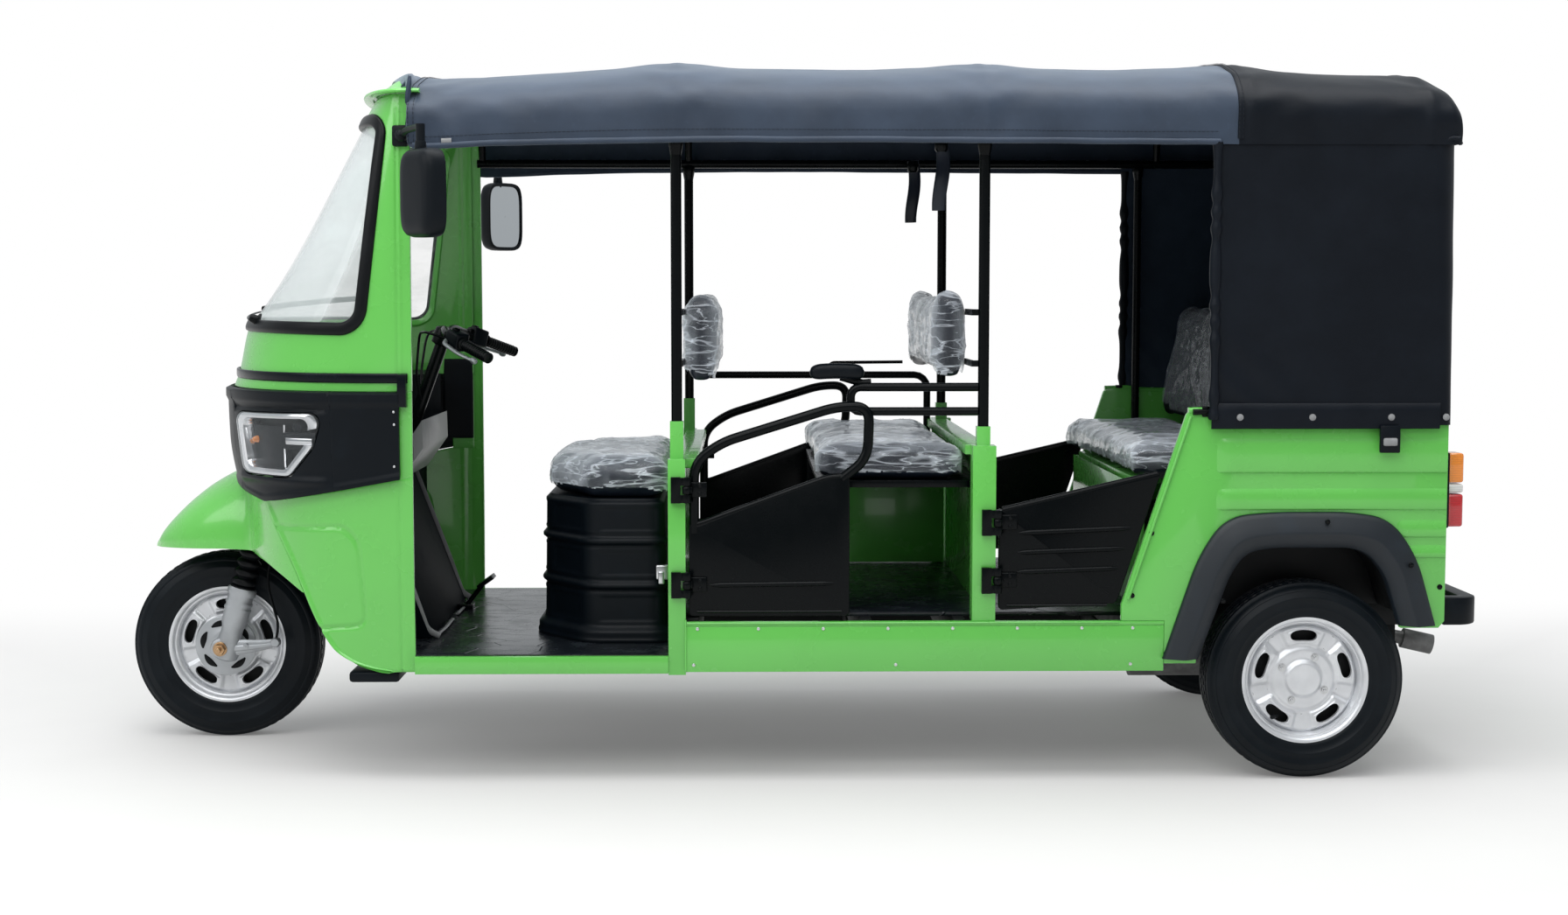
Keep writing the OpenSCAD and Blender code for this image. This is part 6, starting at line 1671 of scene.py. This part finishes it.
def build_seat_box():
    """Moulded seat box with ribs, pressed fields, flared skirt and latch"""
    half = mm((-639, 0, 0), (-639, -250, 0), (-499, -432, 0), (-285, -432, 0), (-285, 0, 0))
    plan = resampled(bent(half, 0.055, 9), 140)
    plan += mirrored(plan[-2:0:-1])
    count, middle = len(plan), vec(-0.47, 0, 0)
    facing = []
    for i in range(count):
        along = (plan[(i + 1) % count] - plan[i - 1]).normalized()
        out = vec(along.y, -along.x, 0)
        facing.append(out if out.dot(plan[i] - middle) > 0 else -out)
    floor, top = 0.328, 0.7075
    tall = top - floor

    def field(p, rise):
        """Pressed rectangles between the ribs"""
        best, far = 0.0, abs(p.y)
        for z0, z1 in mm((50, 128), (172, 248), (290, 362)):
            u = min(p.x + 0.478, -0.305 - p.x) if far > 0.4 else -1
            if p.x < -0.52:
                u = max(u, 0.238 - far if p.x < -0.63 else min(far - 0.285, 0.402 - far))
            best = max(best, soft_step(min(u, rise - z0, z1 - rise), 0.0, 0.012))
        return best

    rows = []
    for rise in sorted(set(round(v, 4) for v in [*steps(0, tall, 96), 0.0005, 0.003, 0.01, 0.03])):
        out = -0.006 + 0.016 * (1 - soft_step(rise, 0.026, 0.046)) + 0.003 * bell(rise - 0.006, 0.005)
        for near in (abs(rise - 0.15), abs(rise - 0.268)):
            out += 0.007 * exp(-(near / 0.0075) ** 4) - 0.0035 * bell(near - 0.015, 0.005)
        out -= 0.012 * soft_step(rise, tall - 0.014, tall) + 0.006 * rise / tall
        rows.append([p + vec(0, 0, floor + rise) + way * (out - 0.0035 * field(p, rise))
                     for p, way in zip(plan, facing)])
    lid = [[vec(mixed(p.x, -0.45, s), mixed(p.y, 0, s), p.z + 0.0005) for p in rows[-1]] for s in (0.05, 0.4, 0.98)]
    made = Maker().grid(rows + lid, 0, True)
    made.block((-0.318, -0.452, 0.498), (-0.286, -0.428, 0.536), 0.003, 2, 1)
    made.block((-0.312, -0.457, 0.486), (-0.296, -0.44, 0.52), 0.003, 2, 1)
    made.piece("seat_box_moulding", "plastic steel", node="seat_box", slot="black_plastic", angle=50)


# Doors and body


def side_place(side):
    return lambda x, z, y: vec(x, side * y, z)


def build_door(name, side, outline, hoop, ribs, hinge_x, hinge_z, top_edge):
    """Low door: pressed sheet with a rolled top edge, ribs, tube hoop, knuckles and screws"""
    place = side_place(side)
    made, spots = Maker(), []
    corners = [(x, z, 0) for x, z in outline]
    start = (Vector(corners[0]) + Vector(corners[-1])) / 2
    loop = bent([start, *corners, start], 0.012, 4)[:-1]
    made.slab([p.xy for p in loop], place, DOOR_FACE - 0.001, DOOR_FACE - 0.022, 0.003)
    roll = [place(x, z, DOOR_FACE - 0.01) for x, z in top_edge]
    made.tube(resampled(bent(roll, 0.03), 40), 0.0095, 12, 1)
    low = min(z for x, z in outline)
    at = sorted(x for x, z in outline if z < low + 0.03)
    made.tube([place(x, low + 0.012, DOOR_FACE - 0.001) for x in (at[0] + 0.02, at[-1] - 0.02)], 0.0035, 8)
    for ends in ribs:
        made.tube(resampled([place(x, z, DOOR_FACE - 0.0015) for x, z in ends], 24),
                  lambda s: 0.0068 * min(1.0, 0.35 + 9 * min(s, 1 - s)), 12)
    if hoop:
        made.tube(bent([place(x, z, 0.62) for x, z in hoop], 0.044, 9), 0.013, 18, 1)
    for z in hinge_z:
        made.lathe(mm((1, 9.5), (9.5, 9.5), (11, 8), (11, -8), (9.5, -9.5), (1, -9.5)),
                   (hinge_x, side * 0.648, z), (0, 0, 1), 20, 1)
        made.side_block(side, (hinge_x + 0.006, 0.63, z - 0.019), (hinge_x + 0.05, 0.6375, z + 0.019), 0.0022, 2, 1)
        made.side_block(side, (hinge_x + 0.001, 0.632, z - 0.0085), (hinge_x + 0.014, 0.65, z + 0.0085), 0.002, 1, 1)
        spots += side_spots(side, 0.638, [(hinge_x + 0.033, z + up) for up in (-0.01, 0.01)], 0.3)
    made.piece(name + "_pressing", "enamel enamel", name, name, "door_paint", 45)
    repeat(name + "_screws", "screw", spots, "enamel", name, 0.85)


def build_doors():
    """Four low doors; the right-hand ones mirror the left"""
    for end, side in (("left", -1), ("right", 1)):
        build_door("door_front_" + end, side,
                   mm((-226, 428), (182, 428), (182, 786), (126, 784), (-208, 658), (-226, 664)),
                   mm((-213, 640), (-213, 818), (-146, 870), (150, 962), (232, 962), (228, 830), (162, 778)),
                   [mm((-174, 508), (142, 512))], -0.231, (0.51, 0.752),
                   mm((-214, 660), (-190, 666), (126, 781), (172, 784)))
        build_door("door_rear_" + end, side,
                   mm((562.5, 442), (860, 458), (870, 475), (975, 793), (570.5, 698), (562.5, 702)), None,
                   [mm((612, 640), (900, 652)), mm((610, 590), (884, 600)), mm((608, 540), (866, 549))],
                   0.5575, (0.52, 0.668), mm((572, 697), (590, 701), (966, 789)))


def arch_line(g):
    """Wheel arch in side view, widened outward by g millimetres"""
    return mm((1073 - g, 318), (1152 - 0.9 * g, 535 + 0.5 * g), (1192 - 0.6 * g, 590 + g), (1257, 602 + g),
              (1457, 602 + g), (1503 + 0.6 * g, 585 + g), (1545 + 0.9 * g, 535 + 0.5 * g), (1587 + g, 402))


FLARE = ((0, 0.622), (0.5, 0.646), (3, 0.652), (20, 0.6655), (34, 0.6745), (38, 0.6762), (42, 0.6755), (60, 0.668),
         (78, 0.66), (88, 0.6545), (91, 0.65), (92, 0.6385))


def build_rear_body():
    """Quarter panels with pressed ribs, flares, their screws, tail lamps and curtain clips"""
    panels, flares, clips, spots = Maker(), Maker(), Maker(), []
    ring = mm((985, 304), (985, 414), (875, 414), (875, 456), (1035, 941), (1045, 953), (1117, 953), (1129, 945),
              (1705, 933), (1705, 412), (1690, 394), (1591, 394))
    ring += arch_line(4)[-2:0:-1] + mm((1069, 330), (1069, 304))
    for side in SIDES:
        place = side_place(side)
        panels.slab(ring, place, BODY, BODY - 0.02, 0.004)
        for high, low, start in ((0.874, 0.794, 1.1), (0.745, 0.699, 1.1), (0.664, 0.629, 1.56), (0.6, 0.576, 1.585)):
            press = ((high + 0.012, -0.002), (high + 0.006, 0.0012), (high, 0.004), (high - 0.008, 0.0056),
                     ((high + low) / 2, 0.0064), (low + 0.006, 0.006), (low + 0.002, 0.005), (low, 0.003),
                     (low - 0.001, -0.002))
            panels.grid([[place(x, z, BODY - 0.002 + (rise + 0.002) * soft_step(x, start, start + 0.045))
                          for z, rise in press] for x in steps(start, TAIL - 0.004, 40)])
        path = [place(x, z, BODY + 0.0005) for x, z in mm((892, 470), (1046, 938))]
        panels.tube(resampled(path, 20), 0.0055, 10, flat=0.8)
        ridge = [place(x, z, BODY - 0.006) for x, z in mm((1040, 951), (1117, 953), (1129, 947), (1703, 935))]
        panels.tube(resampled(bent(ridge, 0.01), 50), 0.009, 12)

        rows = []
        for grow, out in FLARE:
            line = resampled(bent([(x, z, 0) for x, z in arch_line(grow)], 0.062, 8), 150)
            rows.append([place(p.x, p.y, out) for p in line])
        flares.grid(rows)
        for end in (0, -1):
            cap = [row[end] for row in rows]
            flares.add(cap + [sum(cap, Vector()) / len(cap)], [(i, i + 1, len(cap)) for i in range(len(cap) - 1)])
        spots += side_spots(side, 0.6715, ((1.391, 0.671), (1.128, 0.47), (1.606, 0.56)), 0.2)
        spots += side_spots(side, 0.6405, ((0.95, 0.64), (1.69, 0.5), (0.902, 0.48)), 0.2)
        clips.tube([(1.05, side * 0.645, 0.948), (1.112, side * 0.645, 0.95)], 0.0075, 12)
        clips.side_block(side, (1.074, 0.625, 0.936), (1.096, 0.645, 0.962), 0.003)
    panels.piece("quarter_pressings", "green", node="quarter_panels", slot="green_paint", angle=40)
    flares.piece("flare_mouldings", "flare", node="wheel_flares", slot="black_plastic", angle=50)
    repeat("panel_screws", "screw", spots, "enamel", size=1.1)

    made = Maker()
    low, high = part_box("tail_lamps")
    y0, y1 = 0.54, min(0.612, high.y)
    for side in SIDES:
        made.side_block(side, (low.x, y0, low.z), (low.x + 0.014, y1, high.z), 0.004)
        for z0, z1, kind in ((0.6, 0.992, 1), (0.465, 0.585, 2), (0.015, 0.45, 3)):
            made.side_block(side, (low.x + 0.01, y0 + 0.003, mixed(low.z, high.z, z0)),
                            (high.x - 0.001, y1 - 0.003, mixed(low.z, high.z, z1)), 0.007, 3, kind)
    made.piece("tail_lenses", "plastic amber white_lens red", node="tail_lamps", slot="tail_lamp", angle=45)
    clips.piece("curtain_clips", "enamel", slot="black_metal")


def build_sill_trim():
    """Seam line and screws along the sills and the steps under the nose"""
    made, nose, spots = Maker(), Maker(), []
    for side in SIDES:
        y = side * (BODY + 0.0004)
        made.tube(resampled([(-0.232, y, 0.4115), (0.868, y, 0.4115)], 30), 0.0026, 8)
        made.tube([(-0.235, y, 0.29), (-0.235, y, 0.42)], 0.0026, 8)
        places = [(x, 0.397) for x in (-0.205, -0.05, 0.115, 0.28, 0.445, 0.61, 0.775, 0.905)]
        spots += side_spots(side, BODY + 0.0002, places + [(x, 0.304) for x in (-0.215, 0.3, 0.9)], 0.3)
        nose.side_block(side, (-1.098, 0.44, 0.254), (-0.97, 0.6, 0.282), 0.008)
    made.piece("sill_seams", "green", slot="green_paint")
    repeat("sill_screws", "screw", spots, "steel", size=0.7)
    nose.piece("nose_steps", "plastic", slot="black_plastic")


def build_fittings():
    """Mirrors, armrest and hand straps"""
    made = Maker()
    for side in SIDES:
        middle = vec(-0.863, side * 0.82, 1.49)
        turn = Matrix.Translation(middle) @ Matrix.Rotation(radians(-38 * side), 4, "Z")

        def outline(far, wide, tall):
            return [turn @ vec(far, 0.075 * wide * signed(cos(a), 0.42), 0.107 * tall * signed(sin(a), 0.42))
                    for a in circle(56)]

        made.grid([outline(far, size, 0.25 + 0.75 * size if size < 0.9 else size) for far, size in (
            (-0.027, 0.55), (-0.026, 0.74), (-0.022, 0.88), (-0.014, 0.97), (-0.002, 1.0), (0.02, 1.0), (0.026, 0.985),
            (0.027, 0.95), (0.0245, 0.9), (0.0205, 0.895))], 0, True, True)
        made.grid([outline(0.0212, size, size) for size in (0.893, 0.5, 0.01)], 1, True)
        wall = vec(-0.945, side * 0.602, 1.64)
        root = middle + vec(-0.004, -side * 0.02, 0.085)
        made.tube(bent([wall, wall + vec(0.02, side * 0.07, 0.01), vec(-0.88, side * 0.765, 1.652),
                        root + vec(0, 0, 0.075), root], 0.04, 8), 0.0085, 14)
        made.tube([root + vec(0, 0, 0.082), root + vec(0, 0, 0.07), root], 0.0112, 16)
        made.side_block(side, (-0.966, 0.6, 1.615), (-0.926, 0.622, 1.668), 0.006)
        made.lathe(mm((1, 17), (10, 14), (16, 6), (16.5, -6), (10, -14), (1, -17)),
                   wall + vec(0.004, side * 0.026, 0.002), (0, side, 0), 20)
        made.lathe(mm((1, 22), (13, 20), (15, 0), (12, -14)), root + vec(0, 0, 0.02), (0, 0, 1), 18)
    made.piece("mirror_shells", "plastic glass", node="mirrors", slot="black_plastic", angle=40)

    low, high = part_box("armrest")
    y, half_y = (low.y + high.y) / 2, min(0.036, (high.y - low.y) / 2)
    rows = []
    for s in unit(26):
        size = min(1.0, (1 - (2 * s - 1) ** 6) ** 0.5 + 0.02)
        x, z = mixed(0.08, 0.222, s), 1.047 + 0.004 * sin(s * pi)
        rows.append([vec(x, y + half_y * size * signed(cos(a), 0.6), z + 0.02 * size * signed(sin(a), 0.7))
                     for a in circle(28)])
    made = Maker().grid(rows, 0, True, True)
    made.tube([(0.16, y, 1.036), (0.215, y, 1.02), (0.238, y, max(low.z, 0.996))], 0.01, 12, 1)
    made.piece("armrest_pad", "plastic enamel", node="armrest", slot="black_plastic", angle=50)

    made = Maker()
    for side in SIDES:
        y = side * 0.472
        path = [vec(0.424 + 0.006 * sin(s * 5), y + 0.004 * sin(s * 7), mixed(1.648, 1.462, s)) for s in unit(40)]
        made.tube(path, lambda s: 0.017 + 0.0012 * sin(s * 3), 14, 0, 0.42, FLAT_UP)
        made.lathe(mm((1, 0), (14, -2), (17, -12), (17, -30), (13, -36)), (0.424, y, 1.648), (0, 0, 1), 18, 1)
    made.piece("strap_loops", "vinyl enamel", node="hand_straps", slot="canopy_cloth", angle=50)


def build_handlebar():
    """Handlebar with clamp, grips, levers, switch boxes and their cables"""
    made = Maker()
    lean = vec(sin(radians(20)), 0, cos(radians(20)))
    base = vec(-1.0, 0, 0.93)
    clamp_at = base + lean * 0.212
    made.tube([base - lean * 0.1, base + lean * 0.205], 0.018, 20)
    made.lathe(mm((20, -30), (30, -26), (32, 0), (30, 18), (14, 26), (1, 27)), clamp_at, lean, 28)
    grip = []
    for s in unit(61):
        ring = 0.0009 * sin(s * tau * 13) if 0.08 < s < 0.92 else 0.0
        grip.append((0.015 + ring + (0.0035 if s < 0.05 else 0) - (0.004 if s > 0.985 else 0), 0.12 * s))
    for end, side in (("left", -1), ("right", 1)):
        tip = vec(-0.765, side * 0.32, 1.075)
        way = vec(78, side * 84, -35).normalized()
        root, pivot = tip - way * 0.12, tip - way * 0.18
        made.tube(bent([clamp_at + vec(0.004, side * 0.01, 0.004), clamp_at + vec(0.012, side * 0.085, 0.022),
                        tip - way * 0.205, root + way * 0.02], 0.06, 9), 0.0115, 16)
        made.lathe(grip + [(0.001, 0.1205)], root, way, 24, 1)
        across = way.cross(vec(0, 0, 1)).normalized()
        axes = Matrix((way, across, across.cross(way).normalized())).transposed().to_4x4()
        box = Matrix.Translation(root - way * 0.034) @ axes
        made.block((-0.026, -0.022, -0.024), (0.028, 0.022, 0.026), 0.007, 3, 2, box)
        made.block((-0.012, -0.028, 0.002), (0.006, -0.018, 0.016), 0.003, 2, 0, box)
        made.block((-0.02, -0.01, 0.022), (-0.004, 0.008, 0.032), 0.003, 2, 0, box)
        ahead = (vec(-1, 0, 0) + way * way.x).normalized()
        made.tube(bent([pivot + ahead * 0.012, pivot + ahead * 0.036 + way * 0.018, root + ahead * 0.046 + way * 0.045,
                        tip + ahead * 0.04 - way * 0.016], 0.03, 7), lambda s: 0.0072 - 0.0015 * s, 12, 3, 0.65)
        made.lathe(mm((1, 9), (7, 8), (9, 0), (7, -8), (1, -9)), tip + ahead * 0.04 - way * 0.014, way, 16, 3)
        made.block((-0.015, -0.018, -0.017), (0.015, 0.018, 0.017), 0.005, 2, 0, Matrix.Translation(pivot) @ axes)
        cable("lever_cable_" + end, [
            pivot + ahead * 0.012, pivot + ahead * 0.055 - way * 0.04 + vec(0, 0, 0.018),
            clamp_at + vec(-0.06, side * 0.07, 0.01), base + lean * 0.09 + vec(-0.034, side * 0.04, 0),
            base + lean * 0.02 + vec(0, side * 0.014, 0)], 0.04, "handlebar")
    made.piece("handlebar_controls", "enamel rubber plastic casting", "handlebar", "handlebar", "black_metal", 45)


def build_cab_trim():
    """Inside of the cab: dashboard drawn in to the cab's skin and the edge of the leg shield"""
    mesh = NODES["dashboard"].data
    rear = max(v.co.x for v in mesh.vertices)
    points = [vec(mixed(rear, v.co.x, 0.88), v.co.y, v.co.z) for v in mesh.vertices]
    made = Maker().add(points, [p.vertices for p in mesh.polygons])
    made.piece("dash_panel", "plastic", node="dashboard", slot="black_plastic", angle=40)
    made = Maker()
    for side in SIDES:
        edge = [vec(x, side * 0.352, z) for x, z in mm((-1076, 738), (-975, 470), (-934, 350), (-900, 334))]
        made.tube(resampled(bent(edge, 0.05), 40), 0.0085, 12, 0, 0.45, FLAT_UP)
        foot = [vec(x, side * y, 0.334) for x, y in mm((-912, 352), (-905, 200), (-908, 50))]
        made.tube(resampled(bent(foot, 0.05), 24), 0.0055, 10, flat=0.6)
    made.piece("shield_edges", "grey", slot="grey_plastic", angle=50)


# Studio


def build_world(sky):
    """Soft dome that is brighter above and behind, and plain white to the camera"""
    world = bpy.data.worlds.new("studio")
    world.use_nodes = True
    bpy.context.scene.world = world
    tree = world.node_tree
    tree.nodes.clear()
    end, way, path, lean, reach, dome, white, mix = (tree.nodes.new("ShaderNode" + kind) for kind in (
        "OutputWorld", "TexCoord", "LightPath", "VectorMath", "MapRange", "Background", "Background", "MixShader"))
    lean.operation, lean.inputs[1].default_value = "DOT_PRODUCT", (0.0, 0.52, 0.85)
    for key, value in (("From Min", -0.55), ("From Max", 0.8), ("To Min", 0.1), ("To Max", sky)):
        reach.inputs[key].default_value = value
    white.inputs["Color"].default_value = (1, 1, 1, 1)
    dome.inputs["Color"].default_value = (0.93, 0.97, 1.0, 1)
    for a, out, b, into in ((way, "Generated", lean, 0), (lean, "Value", reach, "Value"),
                            (reach, "Result", dome, "Strength"), (path, "Is Camera Ray", mix, "Fac"),
                            (dome, 0, mix, 1), (white, 0, mix, 2), (mix, 0, end, "Surface")):
        tree.links.new(a.outputs[out], b.inputs[into])


def build_stage():
    """Camera, pale floor and plain soft light"""
    scene, given = bpy.context.scene, settings("stage")
    camera = linked("camera", bpy.data.cameras.new("camera"))
    camera.data.sensor_width, camera.data.lens, camera.data.clip_end = 36.0, 48.82, 200
    camera.location = (-0.0773, -6.0, 1.2489)
    camera.rotation_euler = (radians(90 - 4.424), 0, radians(-0.987))
    scene.camera = camera
    scene.view_settings.view_transform = "Standard"

    f = Finish("studio_floor")
    grain = f.noise(3.0, 4).above(0.3, 0.8)
    near = f.surface(Base_Color=f.blend(grain, rgba(given.floor), rgba(given.floor, 0.985)),
                     Roughness=grain * 0.06 + 0.62, Specular_IOR_Level=0.1,
                     Emission_Color=(1, 0.995, 0.99, 1), Emission_Strength=0.14)
    far = f.node("Emission", {}, {"Color": (1, 1, 1, 1)})[0]
    way = f.node("SeparateXYZ", {}, {0: f.place()})
    fade = way["Y"].above(0.7, 2.6).maths("MAXIMUM", way["X"].maths("ABSOLUTE").above(2.1, 3.6))
    fade = fade.maths("MAXIMUM", (way["Y"] * -1).above(2.4, 4.6))
    mesh = bpy.data.meshes.new("studio_floor")
    mesh.from_pydata([(-60, -60, 0), (60, -60, 0), (60, 60, 0), (-60, 60, 0)], [], [(0, 1, 2, 3)])
    mesh.materials.append(f.close(f.node("MixShader", {}, {0: fade, 1: near, 2: far})[0]))
    stage = [linked("studio_floor", mesh), camera]
    for name, at, to, size, share in (
            ("soft_top", (0.2, -1.0, 5.4), (0.1, 0, 0.6), (6.5, 4.0), 0.98),
            ("soft_front", (-1.2, -5.2, 4.6), (0.0, 0, 0.8), (6.0, 2.6), 0.46),
            ("soft_left", (-5.2, -2.6, 3.6), (-0.8, 0, 0.9), (3.0, 2.6), 0.2)):
        lamp = linked(name, bpy.data.lights.new(name, "AREA"))
        lamp.data.shape, lamp.data.size, lamp.data.size_y, lamp.data.energy = "RECTANGLE", *size, given.key * share
        lamp.location = at
        lamp.rotation_euler = (Vector(to) - Vector(at)).to_track_quat("-Z", "Y").to_euler()
        stage.append(lamp)
    build_world(given.sky)


# Operators


def step(name, label, note, *actions):
    """Operator that runs the builders of one group of pieces"""
    def execute(self, context):
        for action in actions:
            action()
        return {"FINISHED"}

    return type("TRICYCLE_OT_" + name, (bpy.types.Operator,), {
        "__doc__": note, "bl_idname": "tricycle." + name, "bl_label": label,
        "bl_options": {"REGISTER", "UNDO"}, "execute": execute})


STEPS = [
    step("finishes", "Finishes", "Mixes the finishes and gives them to the solids that stay in view",
         mix_finishes, dress_frame),
    step("cab", "Cab", "Builds the cab's skin, windscreen, lamp band and fender",
         build_cowl, build_screen, build_fascia, build_lamps, build_apron, build_fender, build_roof_cap),
    step("canopy", "Canopy", "Stretches the roof cloth and hangs the rear curtain",
         build_canopy, build_frame, build_curtains),
    step("wheels", "Wheels", "Builds tyres, wheels and the fork", build_wheels, build_fork),
    step("seats", "Seats", "Inflates the cushions, wraps them and builds the seat box", build_seats, build_seat_box),
    step("body", "Body", "Builds doors, rear panels, flares, lamps and sill trim",
         build_doors, build_rear_body, build_sill_trim),
    step("fittings", "Fittings", "Builds mirrors, armrest, straps, handlebar and cab trim",
         build_fittings, build_handlebar, build_cab_trim),
    step("studio", "Studio", "Sets the camera, the floor and the light", build_stage),
]


class TRICYCLE_PT_sidebar(bpy.types.Panel):
    """Steps and settings of the tricycle"""

    bl_label = "Passenger tricycle"
    bl_idname = "TRICYCLE_PT_sidebar"
    bl_space_type = "VIEW_3D"
    bl_region_type = "UI"
    bl_category = "Tricycle"

    def draw(self, context):
        column = self.layout.column(align=True)
        for made in STEPS:
            column.operator(made.bl_idname)
        for name, group in SETTINGS.items():
            box = self.layout.box()
            box.label(text=group.__doc__)
            for key in group.__annotations__:
                box.prop(getattr(context.scene, name), key)


def register():
    for group in SETTINGS.values():
        bpy.utils.register_class(group)
    for name, group in SETTINGS.items():
        setattr(bpy.types.Scene, name, bpy.props.PointerProperty(type=group))
    for made in (*STEPS, TRICYCLE_PT_sidebar):
        bpy.utils.register_class(made)


def unregister():
    for made in (TRICYCLE_PT_sidebar, *reversed(STEPS)):
        bpy.utils.unregister_class(made)
    for name, group in SETTINGS.items():
        delattr(bpy.types.Scene, name)
        bpy.utils.unregister_class(group)


def main():
    register()
    for made in STEPS:
        if getattr(bpy.ops.tricycle, made.bl_idname.split(".")[1])() != {"FINISHED"}:
            raise RuntimeError(made.bl_label + " did not finish")
    for obj in PARTS.values():
        bpy.data.objects.remove(obj)


if __name__ == "__main__":
    main()
